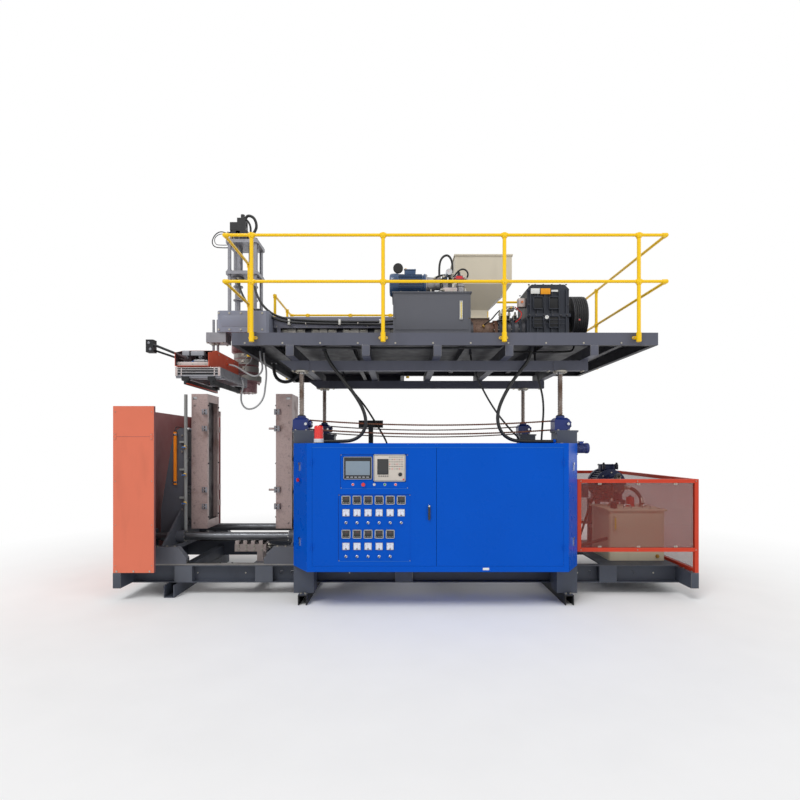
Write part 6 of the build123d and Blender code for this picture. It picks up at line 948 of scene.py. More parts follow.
def chain_line(left, right, middle_z, radius, sag, pitch):
    """A loop over two wheels whose runs sag, as places one pitch apart."""
    dense = []
    steps = 240
    for step in range(steps):
        share = step / steps
        dense.append((left + (right - left) * share, middle_z + radius - 4 * sag * share * (1 - share)))
    for step in range(24):
        angle = math.pi / 2 - math.pi * step / 24
        dense.append((right + radius * math.cos(angle), middle_z + radius * math.sin(angle)))
    for step in range(steps):
        share = 1 - step / steps
        dense.append((left + (right - left) * share, middle_z - radius - 4 * sag * share * (1 - share)))
    for step in range(24):
        angle = -math.pi / 2 - math.pi * step / 24
        dense.append((left + radius * math.cos(angle), middle_z + radius * math.sin(angle)))
    dense = [Vector((x, z, 0)) for x, z in dense + dense[:1]]
    total = sum((b - a).length for a, b in zip(dense, dense[1:]))
    count = 2 * round(total / pitch / 2)
    return [(v.x, v.y) for v in even_points(dense, total / count)][:count]


chains = Piece()
SHAFTS_X = [x - JACK_TO_COLUMN + SHAFT_TO_JACK for x in COLUMNS_X]
for y in [column_y + SHAFT_TO_COLUMN_Y for column_y in COLUMNS_Y]:
    roller_chain(chains, chain_line(*SHAFTS_X, SHAFT_Z, 54.3, 60, 25.4), y, 22, chain_steel, dark_metal)
    for x in SHAFTS_X:
        teeth = []
        for tooth in range(13):
            for share, radius in ((0.0, 44), (0.22, 46), (0.38, 52), (0.62, 52), (0.78, 46)):
                angle = 2 * math.pi * (tooth + share) / 13
                teeth.append((x + radius * math.cos(angle), SHAFT_Z + radius * math.sin(angle)))
        chains.prism(teeth, "y", y - 5, y + 5, steel)
        chains.turned((x, y - 11, SHAFT_Z), "y", [(0, 26), (3, 28), (22, 28)], steel, 24)
        chains.bolt((x, y + 11, SHAFT_Z), "y", 14)
chains.place("lift_chains", "base", "chain_steel", ["drive_chains"])


# Shared machine elements


def bolt_circle(piece, centre, axis, radius, count, size, material=None):
    """Hexagon heads evenly round an axis."""
    for spot in circle(centre, axis, radius, count):
        piece.bolt(spot, axis, size, material, washer=False)


def hose_end(piece, spot, direction, radius, material):
    """Hexagon nut and ferrule of a hydraulic hose that leaves spot in that direction."""
    along = Vector(direction).normalized()
    piece.turned(spot, along, [(0, radius * 1.7), (radius * 1.2, radius * 1.7)], material, 6)
    piece.turned(Vector(spot) + along * radius * 1.2, along, [(0, radius * 1.3), (radius * 2.2, radius * 1.3),
                                                              (radius * 2.6, radius * 1.05)], material, 16)


def fitted_hose(piece, route, radius, end_radius, sides=12):
    """A hydraulic hose with a nut and ferrule at both ends."""
    piece.hose(route, radius, rubber, sides)
    for end, following in ((route[0], route[1]), (route[-1], route[-2])):
        hose_end(piece, end, Vector(following) - Vector(end), end_radius, zinc)


def finned_motor(piece, start, end, y, z, radius, body, cover, fins=34):
    """Electric motor lying along X from its flange at start to its fan cover at end."""
    toward = 1 if end > start else -1
    length = abs(end - start)

    def at(distance):
        return start + toward * distance

    outline = []
    for fin in range(fins):
        for share, r in ((0.0, radius * 0.88), (0.22, radius * 0.88), (0.30, radius), (0.62, radius),
                         (0.70, radius * 0.88)):
            angle = 2 * math.pi * (fin + share) / fins
            outline.append((y + r * math.cos(angle), z + r * math.sin(angle)))
    low, high = sorted((at(length * 0.10), at(length * 0.76)))
    piece.prism(outline, "x", low, high, body)
    axis = (toward, 0, 0)
    piece.turned((at(0), y, z), axis, [(0, radius * 0.98), (4, radius * 1.02), (length * 0.05, radius * 1.02),
                                       (length * 0.07, radius * 0.9), (length * 0.11, radius * 0.9)],
                 body, 40)
    piece.turned((at(length * 0.75), y, z), axis,
                 [(0, radius * 1.0), (length * 0.03, radius * 1.05), (length * 0.19, radius * 1.05),
                  (length * 0.235, radius * 0.98), (length * 0.25, radius * 0.86)], cover, 40)
    for ring in range(4):
        r = radius * (0.2 + 0.17 * ring)
        piece.turned((at(length - 0.6), y, z), axis,
                     [(0, r + 3), (1.6, r + 3), (1.6, r), (0.2, r)], shadow_black, 36)
    box_low, box_high = sorted((at(length * 0.28), at(length * 0.58)))
    piece.block((box_low, y - radius * 0.5, z + radius * 0.8),
                (box_high, y + radius * 0.5, z + radius * 1.24), body, 5)
    piece.block((box_low - 4, y - radius * 0.54, z + radius * 1.24),
                (box_high + 4, y + radius * 0.54, z + radius * 1.34), body, 3)
    for x, side in product((box_low + 6, box_high - 6), (-1, 1)):
        piece.socket_screw((x, y + side * radius * 0.46, z + radius * 1.34), "z", 6, zinc)
    bolt_circle(piece, (at(length * 0.05), y, z), (-toward, 0, 0), radius * 0.9, 6, radius * 0.08)


# Hydraulic station on the deck

ROW_Y = -1180.0
LID_Z = 3646.0
MOTOR_Z = 3785
RING_X, RING_Z = -92, 3990
GAUGE_X, GAUGE_Z = 520, LID_Z + 276
RELIEF_X = 645
station = Piece()
finned_motor(station, 240, -195, ROW_Y, MOTOR_Z, 130, station_blue, station_blue, 30)
for x in (-60, 150):
    station.block((x - 35, ROW_Y - 108, LID_Z), (x + 35, ROW_Y + 108, LID_Z + 34), station_blue, 4)
    for side in (-1, 1):
        station.bolt((x, ROW_Y + side * 92, LID_Z + 34), "z", 10)
station.turned((240, ROW_Y, MOTOR_Z), "x", [(0, 128), (14, 128), (20, 96), (78, 92), (90, 92)], alloy, 36)
bolt_circle(station, (254, ROW_Y, MOTOR_Z), "x", 114, 6, 9)
station.turned((330, ROW_Y, MOTOR_Z), "x",
               [(0, 78), (16, 78), (24, 60), (80, 60), (86, 66), (104, 66), (110, 52)], alloy, 32)
station.block((360, ROW_Y - 36, 3826), (410, ROW_Y + 36, 3872), pink_alloy, 4)
# The black ring stands beside the terminal box, the brass cap behind it
station.turned((RING_X, ROW_Y - 16, RING_Z), (0, 1, 0.08),
               [(0, 54), (5, 60), (27, 60), (32, 54), (32, 42), (0.5, 42)], rubber, 44)
station.turned((RING_X, ROW_Y - 8, RING_Z), (0, 1, 0.08), [(0, 16), (16, 16)], alloy, 24)
for spoke in range(4):
    angle = math.radians(45 + 90 * spoke)
    station.rod((RING_X, ROW_Y - 2, RING_Z),
                (RING_X + 45 * math.cos(angle), ROW_Y + 2, RING_Z + 45 * math.sin(angle)), 5, alloy, 10)
station.turned((-2, ROW_Y, 3955), "z", [(0, 14), (12, 14), (14, 20), (26, 20), (34, 12)], brass, 20)
# Valve stack: manifold, two valves with their coils, relief valve and gauge
station.block((438, ROW_Y - 66, LID_Z), (620, ROW_Y + 66, LID_Z + 96), pink_alloy, 4)
for x in (462, 520, 580):
    station.turned((x, ROW_Y - 66, LID_Z + 48), FORWARD, [(0, 17), (10, 17), (10, 11), (18, 11)], zinc, 6)
station.block((446, ROW_Y - 50, LID_Z + 96), (508, ROW_Y + 50, LID_Z + 176), alloy, 3)
station.block((450, ROW_Y - 46, LID_Z + 176), (504, ROW_Y + 46, LID_Z + 236), pink_alloy, 3)
for side in (-1, 1):
    near, far = sorted((ROW_Y + side * 46, ROW_Y + side * 112))
    station.block((456, near, LID_Z + 182), (498, far, LID_Z + 230), black_plastic, 5)
    station.block((462, near + 20, LID_Z + 230), (492, far - 16, LID_Z + 250), grey_plastic, 3)
station.block((516, ROW_Y - 42, LID_Z + 96), (560, ROW_Y + 42, LID_Z + 190), dark_metal, 3)
station.turned((538, ROW_Y - 8, LID_Z + 190), "z",
               [(0, 22), (30, 22), (36, 15), (58, 15), (60, 20), (78, 20), (84, 12)], knob_black, 24)
station.turned((GAUGE_X, ROW_Y - 62, GAUGE_Z), FORWARD,
               [(0, 40), (20, 40), (26, 37), (26, 33), (21, 32)], bright, 40)
station.turned((GAUGE_X, ROW_Y - 80, GAUGE_Z), FORWARD, [(0, 32), (2.5, 32)], gauge_face, 36)
for tick in range(9):
    angle = math.radians(225 - tick * 33.75)
    a = (GAUGE_X + 23 * math.cos(angle), ROW_Y - 83, GAUGE_Z + 23 * math.sin(angle))
    b = (GAUGE_X + 29 * math.cos(angle), ROW_Y - 83, GAUGE_Z + 29 * math.sin(angle))
    station.rod(a, b, 1.1, ink, 6, 0.2)
station.rod((GAUGE_X, ROW_Y - 84, GAUGE_Z), (503, ROW_Y - 84, LID_Z + 292), 1.4, signal_red, 6, 0.2)
station.rod((GAUGE_X, ROW_Y - 62, GAUGE_Z), (GAUGE_X, ROW_Y - 10, GAUGE_Z), 9, brass, 12)
station.rod((GAUGE_X, ROW_Y - 10, LID_Z + 230), (GAUGE_X, ROW_Y - 10, LID_Z + 285), 9, brass, 12)
# Red valve block with its brass cap, and the filter pot
station.block((RELIEF_X - 45, ROW_Y - 50, LID_Z + 196), (RELIEF_X + 45, ROW_Y + 50, LID_Z + 244),
              signal_red, 6)
station.turned((RELIEF_X, ROW_Y, LID_Z + 244), "z", [(0, 24), (22, 24), (26, 17), (52, 17), (58, 10)],
               dark_metal, 20)
station.turned((RELIEF_X, ROW_Y, LID_Z + 300), "z", [(0, 12), (12, 12), (16, 7), (26, 7)], brass, 16)
for side in (-1, 1):
    station.turned((RELIEF_X + side * 45, ROW_Y, LID_Z + 220), (side, 0, 0),
                   [(0, 16), (12, 16), (16, 12), (24, 12)], signal_red, 16)
station.rod((RELIEF_X, ROW_Y, LID_Z + 150), (RELIEF_X, ROW_Y, LID_Z + 200), 26, zinc)
station.turned((663, ROW_Y, LID_Z), "z",
               [(0, 50), (8, 50), (8, 44), (112, 44), (118, 52), (146, 52), (158, 36)], alloy, 32)
bolt_circle(station, (663, ROW_Y, LID_Z + 8), "z", 47, 6, 6)
for x, height in ((300, 60), (400, 44), (712, 70)):
    station.turned((x, ROW_Y - 90, LID_Z), "z",
                   [(0, 16), (height * 0.3, 16), (height * 0.3, 10), (height, 10)], zinc, 12)
for x, side in product((-120, 40, 200, 360, 520, 700), (-1, 1)):
    station.bolt((x, ROW_Y + side * 190, LID_Z), "z", 9)
for route, hose_radius in (
        ([(410, -1192, 3846), (400, -1198, 3990), (428, -1206, 4110), (505, -1212, 4150), (560, -1212, 4080),
          (566, -1206, 3960), (560, -1196, 3880)], 13),
        ([(560, -1200, 3842), (610, -1230, 3930), (690, -1240, 3972), (752, -1228, 3930), (748, -1200, 3866),
          (712, -1182, 3866)], 10),
        ([(330, -1210, 3846), (380, -1250, 3872), (450, -1262, 3884), (520, -1262, 3868), (552, -1240, 3830),
          (560, -1216, 3800)], 12),
        ([(450, -1262, 3694), (430, -1286, 3700), (410, -1290, 3760), (440, -1286, 3850), (478, -1272, 3866)],
         12)):
    fitted_hose(station, route, hose_radius, hose_radius)
station.place("station_pumps", "deck", "motor_blue", ["station_pump_set"])

marks = Piece()
# The level glass, with a faint painted glow
marks.block((641, -1410.5, 3336), (653, -1407.5, 3516), level_painted_glow, 1)
for side in (3326, 3526):
    marks.bolt((647, -1408, side), FORWARD, 8)
for tick in range(6):
    marks.block((655, -1408.8, 3356 + tick * 30), (661, -1407.8, 3359 + tick * 30), ink, 0)
marks.block((-152, -1393, 3332), (762, -1389.5, 3338), shadow_black, 0.5)
marks.turned((600, -1390, 3140), FORWARD, [(0, 26), (8, 26), (10, 20), (22, 20)], zinc, 6)
marks.rod((600, -1404, 3140), (640, -1410, 3150), 8, zinc)
marks.place("station_marks", "deck", "tank_grey")


# Head tower and its hoses

TOWER_FOOT = 3653
tower = Piece()
for z, x, y in product((TOWER_FOOT, 4235, 4665), (-2430, -2340, -2130, -2040), (-360, -20)):
    tower.bolt((x, y, z), "z", 15)
for x in (-2339.5, -2129.5):
    for z in (3700, 3870, 4060):
        tower.turned((x, AXIS_Y, z), "z", [(0, 63), (2, 66), (16, 66), (18, 63)], alloy, 36)
    tower.turned((x, AXIS_Y, TOWER_FOOT), "z", [(0, 84), (10, 86), (30, 86), (36, 70), (40, 63)], alloy, 36)
    tower.turned((x, AXIS_Y, 4154), "z", [(0, 63), (4, 82), (30, 84), (36, 80)], alloy, 36)
    hose_end(tower, (x + 40, -248, 3690), (0.4, -1, 0), 11, zinc)
    hose_end(tower, (x + 20, -262, 4160), (0.2, -1, 0), 11, zinc)
# Servo valve block on the top plate, with its cables and the loop to the left
tower.block((-2392, -262, 4672), (-2212, -118, 4770), shadow_black, 5)
tower.block((-2378, -286, 4690), (-2296, -262, 4752), black_plastic, 5)
tower.block((-2370, -240, 4770), (-2262, -140, 4842), shadow_black, 5)
tower.block((-2352, -270, 4790), (-2290, -238, 4830), alloy, 3)
tower.turned((-2320, AXIS_Y, 4842), "z", [(0, 36), (60, 36), (66, 30), (70, 22), (120, 22), (126, 14)],
             dark_metal, 28)
tower.turned((-2240, AXIS_Y, 4770), "z",
             [(0, 30), (50, 30), (54, 22), (130, 22), (140, 30), (200, 30), (208, 20)], black_plastic, 28)
tower.turned((-2392, -200, 4800), (-1, 0, 0.12), [(0, 22), (60, 22), (64, 30), (96, 30), (100, 18)],
             dark_metal, 20)
tower.turned((-2420, -222, 4770), DOWN, [(0, 15), (26, 15), (28, 9), (44, 9)], brass, 12)
tower.rod((-2212, -200, 4738), (-2150, -205, 4750), 17, black_plastic)
tower.block((-2180, -236, 4752), (-2120, -190, 4786), marker_teal, 5)
for route, hose_radius, material in (
        ([(-2240, -200, 4975), (-2230, -210, 5040), (-2180, -220, 5062), (-2110, -222, 5030),
          (-2072, -220, 4940), (-2084, -216, 4850), (-2150, -206, 4780)], 19, rubber),
        ([(-2320, -196, 4965), (-2312, -210, 5010), (-2260, -222, 5030), (-2190, -224, 4980),
          (-2150, -222, 4890), (-2160, -214, 4800)], 14, rubber),
        ([(-2484, -202, 4812), (-2560, -212, 4850), (-2650, -225, 4800), (-2700, -232, 4690),
          (-2660, -236, 4610), (-2540, -240, 4600), (-2430, -240, 4602), (-2330, -240, 4670)], 7, rubber),
        ([(-2490, -196, 4806), (-2580, -206, 4820), (-2668, -218, 4750), (-2650, -228, 4650),
          (-2560, -232, 4640), (-2440, -236, 4642), (-2340, -232, 4690)], 5, rubber),
        ([(-2130, -255, 4160), (-2105, -300, 4120), (-2060, -360, 4020), (-2020, -420, 3900),
          (-1930, -470, 3740), (-1800, -486, 3620), (-1650, -478, 3560), (-1450, -470, 3536),
          (-1100, -470, 3520), (-700, -470, 3515), (-350, -474, 3512), (-180, -560, 3500), (-60, -760, 3470),
          (-20, -884, 3450)], 16, rubber),
        ([(-2100, -280, 3690), (-2040, -380, 3700), (-1950, -500, 3670), (-1820, -520, 3575),
          (-1650, -508, 3508), (-1400, -500, 3490), (-1050, -500, 3478), (-650, -500, 3474),
          (-330, -504, 3470), (-150, -600, 3455), (-30, -760, 3420), (20, -884, 3390)], 16, rubber),
        ([(-2340, -262, 4160), (-2300, -330, 4100), (-2240, -400, 3950), (-2160, -450, 3800),
          (-2060, -470, 3690), (-1960, -480, 3630), (-1880, -500, 3612)], 14, rubber)):
    tower.hose(route, hose_radius, material, 12)
for x in (-1560, -880, -330):
    tower.block((x - 16, -520, 3462), (x + 16, -440, 3538), light_plastic if x != -880 else white_paint, 5)
for x in (-1340, -640):
    tower.turned((x, -500, 3482), "x", [(0, 18.5), (10, 18.5)], silver_plastic, 18)
tower.place("tower_fittings", "deck", "bare_steel")


# Extruder: bands, feed, gearbox, drive

extruder = Piece()
for band in range(6):
    start = -1715 + band * 430
    for offset in (6, 118, 226):
        extruder.turned((start + offset, AXIS_Y, BARREL_Z), "x",
                        [(0, 148.5), (1.5, 151), (100, 151), (101.5, 148.5)], band_steel, 48)
        extruder.block((start + offset + 8, -346, 3412), (start + offset + 92, -332, 3448), zinc, 3)
        for side in (20, 80):
            extruder.bolt((start + offset + side, -346, BARREL_Z), FORWARD, 8)
    extruder.block((start + 130, -362, 3340), (start + 200, -316, 3386), alloy, 5)
    extruder.rod((start + 165, -362, 3362), (start + 165, -392, 3362), 9, brass, 12)
for x in (-1740, -1330, -920, -510, -100, 310, 660):
    for y in (-440, 60):
        side = -1 if y < AXIS_Y else 1
        extruder.bolt((x, y, 3460), (0, side, 0), 8)
    extruder.bolt((x, -400, COVER_TOP), "z", 7)
    extruder.bolt((x, 20, COVER_TOP), "z", 7)
for x in (-1150, -530, 90):
    extruder.block((x - 1, -441, 3440), (x + 1, -437, 3588), shadow_black, 0)
    extruder.block((x - 30, -240, COVER_TOP), (x + 30, -140, 3600), cover_steel, 3)
extruder.place("barrel_details", "deck", "gearbox_grey")

feed = Piece()
bolt_circle(feed, (1230, AXIS_Y, BARREL_Z), LEFTWARD, 153, 10, 14)
feed.turned((928, AXIS_Y, BARREL_Z), "x", [(0, 150), (10, 154), (34, 154), (40, 146)], feed_steel, 40)
bolt_circle(feed, (930, AXIS_Y, BARREL_Z), LEFTWARD, 130, 8, 12)
for z in (3370, 3490):
    hose_end(feed, (1080, -322, z), FORWARD, 12, brass)
for route, pipe_radius, material in (
        ([(1080, -350, 3490), (1090, -400, 3500), (1180, -420, 3560), (1240, -400, 3640), (1300, -340, 3700)],
         9, rubber),
        ([(1080, -350, 3370), (1100, -410, 3360), (1220, -430, 3320), (1360, -400, 3250), (1420, -380, 3180)],
         9, rubber),
        ([(1330, -372, 3560), (1350, -400, 3640), (1400, -400, 3720), (1470, -380, 3740), (1540, -350, 3700)],
         8, zinc)):
    feed.hose(route, pipe_radius, material, 10)
# Thrust housing between barrel and gearbox
for x, r in ((1290, 178), (1370, 190), (1460, 200), (1560, 206)):
    feed.turned((x, AXIS_Y, BARREL_Z), "x", [(0, r - 4), (4, r), (34, r), (38, r - 4)], gearbox_grey, 44)
    bolt_circle(feed, (x, AXIS_Y, BARREL_Z), LEFTWARD, r - 14, 10, 11)
for x in (1330, 1420, 1515):
    feed.block((x - 26, -330, 3570), (x + 26, -240, 3640), shadow_black, 6)
for x, y, z, height in ((1310, -300, 3640, 70), (1360, -230, 3640, 110), (1440, -290, 3640, 86),
                        (1530, -260, 3640, 60)):
    feed.turned((x, y, z), "z",
                [(0, 20), (height * 0.4, 20), (height * 0.4, 13), (height * 0.8, 13), (height, 9)], zinc, 16)
feed.block((1395, -352, 3700), (1500, -262, 3760), alloy, 5)
feed.turned((1448, -352, 3730), FORWARD, [(0, 20), (20, 20), (24, 14), (44, 14)], brass, 16)
feed.block((1540, -420, 3730), (1640, -330, 3850), pink_alloy, 5)
feed.turned((1590, -420, 3795), FORWARD, [(0, 17), (14, 17)], copper, 12)
feed.hose([(1520, -300, 3760), (1560, -360, 3700), (1590, -430, 3640), (1560, -440, 3560),
           (1500, -420, 3520)], 7, signal_red, 10)
feed.place("feed_details", "deck", "gearbox_grey")

gears = Piece()
FRONT = -490.0
GEARBOX_TOP = 4018
for z in (3480, 3530):
    gears.block((1700, FRONT - 8, z), (2160, FRONT, z + 8), gearbox_grey, 2)
for low, high in ((3440, 3575), (3690, 3835)):
    for left, right in ((1735, 1850), (1945, 2060)):
        gears.block((left, FRONT - 2.5, low), (right, FRONT + 1, high), shadow_black, 2)
        gears.block((left - 12, FRONT - 14, low - 14), (right + 12, FRONT, low - 2), gearbox_grey, 3)
        gears.block((left - 12, FRONT - 14, high + 2), (right + 12, FRONT, high + 14), gearbox_grey, 3)
        for x in (left - 12, right + 2):
            gears.block((x, FRONT - 14, low - 14), (x + 10, FRONT, high + 14), gearbox_grey, 3)
for x in (1675, 1760, 1870, 1985, 2095, 2180):
    gears.bolt((x, FRONT - 2, 3600), FORWARD, 14, dark_metal)
    for y in (-450, 70):
        gears.bolt((x, y, GEARBOX_TOP), "z", 13, dark_metal)
for z, x in product((3200, 3360, 3740, 3940), (1664, 2196)):
    gears.bolt((x, FRONT, z), FORWARD, 12, dark_metal)
gears.block((1822, FRONT - 4, 3880), (1955, FRONT, 3960), plate_orange, 1.5)
gears.block((1690, FRONT - 4, 3886), (1812, FRONT, 3960), white_paint, 1.5)
gears.block((1966, FRONT - 4, 3912), (2060, FRONT, 3940), white_paint, 1.5)
gears.turned((1905, FRONT - 2, 3570), FORWARD, [(0, 26), (8, 26), (10, 20), (10, 17), (5, 16)], bright, 28)
gears.turned((1905, FRONT - 6, 3570), FORWARD, [(0, 16), (1.5, 16)], gauge_face, 24)
for x, y, height in ((1720, -300, 40), (1900, -200, 26), (2060, -120, 34)):
    gears.turned((x, y, GEARBOX_TOP), "z",
                 [(0, 18), (height * 0.4, 18), (height * 0.5, 12), (height, 12)], zinc, 14)
for x in (1740, 2120):
    gears.turned((x, -400, GEARBOX_TOP), "z", [(0, 14), (8, 14), (12, 9), (20, 9)], dark_metal, 16)
gears.turned((2213, AXIS_Y, SHEAVE_Z), "x", [(0, 130), (8, 134), (30, 134), (36, 120), (48, 116)],
             gearbox_grey, 40)
bolt_circle(gears, (2243, AXIS_Y, SHEAVE_Z), "x", 122, 8, 11, dark_metal)
gears.place("gearbox_details", "deck", "gearbox_grey")

wheel = Piece()
wheel.turned((2467, AXIS_Y, SHEAVE_Z), "x", [(0, 78), (6, 78), (10, 70), (10, 50)], steel, 36)
bolt_circle(wheel, (2473, AXIS_Y, SHEAVE_Z), "x", 62, 6, 12)
wheel.turned((2277.4, AXIS_Y, SHEAVE_Z), LEFTWARD, [(0, 240), (1.5, 240)], dark_metal, 40)
wheel.block((2330, -512, 3520), (2352, -500, 3544), signal_red, 2)
wheel.place("sheave_details", "sheave", "gearbox_grey")


# Handrails

RAIL_LEFT, RAIL_RIGHT, RAIL_FRONT, RAIL_REAR = -2007, 2871, -1750, 920
RAIL_STEP_X, RAIL_STEP_Y = 60, 1750
RAIL_HEIGHTS = (3652, 4164)
POST_REACH = 59.7
PALM_HALF = 34
PALM_RADIUS = 17


def palm_outline(along, up):
    """Outline of an oblong foot plate about a place on the deck's edge."""
    outline = []
    for side, step in product((1, -1), range(9)):
        angle = math.radians(-90 + 22.5 * step)
        outline.append((along + side * (PALM_HALF + PALM_RADIUS * math.cos(angle)),
                        up + side * PALM_RADIUS * math.sin(angle)))
    return outline


rails = Piece()
posts = [(x, RAIL_FRONT, 0, 1) for x in (-1708, -256, 1084, 2568)]
posts += [(RAIL_LEFT, y, 1, 0) for y in (-810, 570, 1447)]
posts += [(x, RAIL_STEP_Y, 0, -1) for x in (-1708, -950, -243)]
posts += [(RAIL_STEP_X, 1275, -1, 0), (1340, RAIL_REAR, 0, -1), (2568, RAIL_REAR, 0, -1),
          (RAIL_RIGHT, 300, -1, 0)]
for x, y, to_x, to_y in posts:
    rails.rod((x, y, 2992), (x, y, RAIL_HEIGHTS[1] + 22), 21, rail_yellow, 24, 4)
    for z in RAIL_HEIGHTS:
        rails.turned((x, y, z - 36), "z", [(0, 23), (3, 27), (56, 27), (60, 23)], rail_yellow, 28)
        rails.turned((x - 36 * abs(to_y), y - 36 * abs(to_x), z), (abs(to_y), abs(to_x), 0),
                     [(0, 20), (3, 24), (69, 24), (72, 20)], rail_yellow, 28)
        rails.turned((x - to_x * 26.4, y - to_y * 26.4, z - 24), (-to_x, -to_y, 0),
                     [(0, 5.5), (1.2, 5.5), (1.2, 3.2), (0.3, 3.2)], dark_metal, 12)
    rails.turned((x, y, 2985), "z", [(0, 23), (3, 27.5), (104, 27.5), (108, 22)], rail_yellow, 28)
    rails.rod((x, y, 3040), (x + to_x * 50, y + to_y * 50, 3040), 15, rail_yellow, 18)
    near = POST_REACH - 12
    if to_y:
        start, end = sorted((y + to_y * near, y + to_y * POST_REACH))
        rails.prism(palm_outline(x, 3040), "y", start, end, rail_yellow, 2)
    else:
        start, end = sorted((x + to_x * near, x + to_x * POST_REACH))
        rails.prism(palm_outline(y, 3040), "x", start, end, rail_yellow, 2)
    for side in (-1, 1):
        spot = (x + to_x * near + side * 36 * abs(to_y), y + to_y * near + side * 36 * abs(to_x), 3040)
        rails.bolt(spot, (-to_x, -to_y, 0), 9)
rail_path = [(RAIL_LEFT, -810), (RAIL_LEFT, RAIL_FRONT), (RAIL_RIGHT, RAIL_FRONT), (RAIL_RIGHT, RAIL_REAR),
             (RAIL_STEP_X, RAIL_REAR), (RAIL_STEP_X, RAIL_STEP_Y), (RAIL_LEFT, RAIL_STEP_Y), (RAIL_LEFT, 570)]
for z in RAIL_HEIGHTS:
    for index, (near, far) in enumerate(zip(rail_path, rail_path[1:])):
        rails.rod((*near, z), (*far, z), 17, rail_yellow, 22)
        if index < len(rail_path) - 2:
            ball = [(24 - 24 * math.cos(math.radians(15 * step)),
                     max(0.5, 24 * math.sin(math.radians(15 * step)))) for step in range(13)]
            rails.turned((*far, z - 24), "z", ball, rail_yellow, 24)
            after = Vector(rail_path[index + 2]) - Vector(far)
            for direction in ((Vector(near) - Vector(far)).normalized(), after.normalized()):
                rails.turned((*far, z), (*direction, 0), [(0, 23), (44, 23), (48, 19)], rail_yellow, 24)
rails.place("deck_handrails", "deck", "rail_yellow", ["handrails"])


# Power pack in the right guard

PUMP_X, PUMP_Z = 2963, 1285
PACK_PLATE = 362
RACK_TOP = 1062
PUMP_FRAME_RADIUS = 215
pump = Piece()
finned_motor(pump, -15, 335, 0, PUMP_Z, PUMP_FRAME_RADIUS, pump_blue, pump_blue, 36)
bmesh.ops.rotate(pump.bm, cent=(0, 0, 0), matrix=Matrix.Rotation(math.radians(90), 3, "Z"),
                 verts=pump.bm.verts)
bmesh.ops.translate(pump.bm, vec=(PUMP_X, 0, 0), verts=pump.bm.verts)
pump_end = Piece()
pump_end.turned((PUMP_X, -15, PUMP_Z), FORWARD,
                [(0, 190), (16, 190), (24, 150), (96, 128), (112, 128)], pump_blue, 40)
bolt_circle(pump_end, (PUMP_X, -31, PUMP_Z), FORWARD, 172, 8, 12)
pump_end.turned((PUMP_X, -127, PUMP_Z), FORWARD,
                [(0, 104), (18, 104), (26, 82), (120, 82), (128, 92), (158, 92), (166, 70)], dark_metal, 36)
bolt_circle(pump_end, (PUMP_X, -285, PUMP_Z), FORWARD, 78, 6, 12)
for x in (2830, 3096):
    pump.block((x - 34, -10, RACK_TOP), (x + 34, 330, 1130), pump_blue, 6)
    for y in (20, 290):
        pump.bolt((x, y, 1130), "z", 16)
pump.block((2748, -15, 1036), (3178, 350, RACK_TOP), slate, 3)
for x in (2778, 3148):
    for y in (15, 320):
        pump.block((x - 28, y - 28, PACK_PLATE), (x + 28, y + 28, 1036), slate, 3)
    pump.block((x - 20, 15, 640), (x + 20, 320, 690), slate, 3)
for x in (2870, 3056):
    pump.block((x - 16, -12, 1500), (x + 16, 40, 1572), shadow_black, 4)
    pump.turned((x, 14, 1572), "z", [(0, 18), (14, 18), (18, 12), (28, 12)], shadow_black, 16)
for route, hose_radius in (
        ([(2963, -270, 1372), (2960, -330, 1440), (2900, -380, 1450), (2830, -430, 1360), (2800, -450, 1200),
          (2790, -450, 1060)], 20),
        ([(3048, -270, 1270), (3120, -330, 1260), (3180, -380, 1200), (3200, -440, 1120), (3200, -470, 1060)],
         24),
        ([(2878, -270, 1270), (2800, -360, 1290), (2720, -300, 1240), (2690, -120, 1140), (2680, 60, 960),
          (2650, 180, 700), (2600, 240, 480), (2560, 250, 370)], 16)):
    fitted_hose(pump_end, route, hose_radius, hose_radius * 0.9, 14)
pump.place("power_pack_motor", "base", "motor_blue", ["pump_motor"])
for z, reach in ((1180, 2560), (1280, 2886)):
    pump_end.rod((2121, -180, z), (reach, -180, z), 26, shadow_black, 20)
    for x in range(2370, reach, 200):
        pump_end.turned((x, -180, z), "x", [(0, 36), (30, 36)], shadow_black, 6)
pump_end.block((2120, -260, 1060), (2360, -100, 1340), shadow_black, 6)
pump_end.block((2400, -240, 1120), (2560, -120, 1310), slate, 6)
for x in (2150, 2230, 2310):
    pump_end.turned((x, -260, 1240), FORWARD, [(0, 30), (90, 30), (96, 20), (120, 20)], dark_metal, 20)
    pump_end.hose([(x, -190, RACK_TOP), (x + 4, -196, 960), (x + 30, -210, 760), (x + 70, -216, 560),
                   (x + 110, -210, 420), (x + 130, -200, 363)], 20, rubber, 14)
pump_end.block((2100, -320, 342), (2460, -100, PACK_PLATE), slate, 2)
pump_end.block((2140, -300, PACK_PLATE), (2340, -120, 420), shadow_black, 4)
for x in (2130, 2350):
    pump_end.block((x - 14, -236, PACK_PLATE), (x + 14, -124, RACK_TOP), slate, 3)
pump_end.hose([(2621, -740, 640), (2540, -760, 622), (2350, -850, 602), (2200, -1000, 598),
               (2100, -1170, 600), (2002, -1270, 604)], 20, rubber, 14)
pump_end.place("power_pack_pump", "base", "black_rubber")

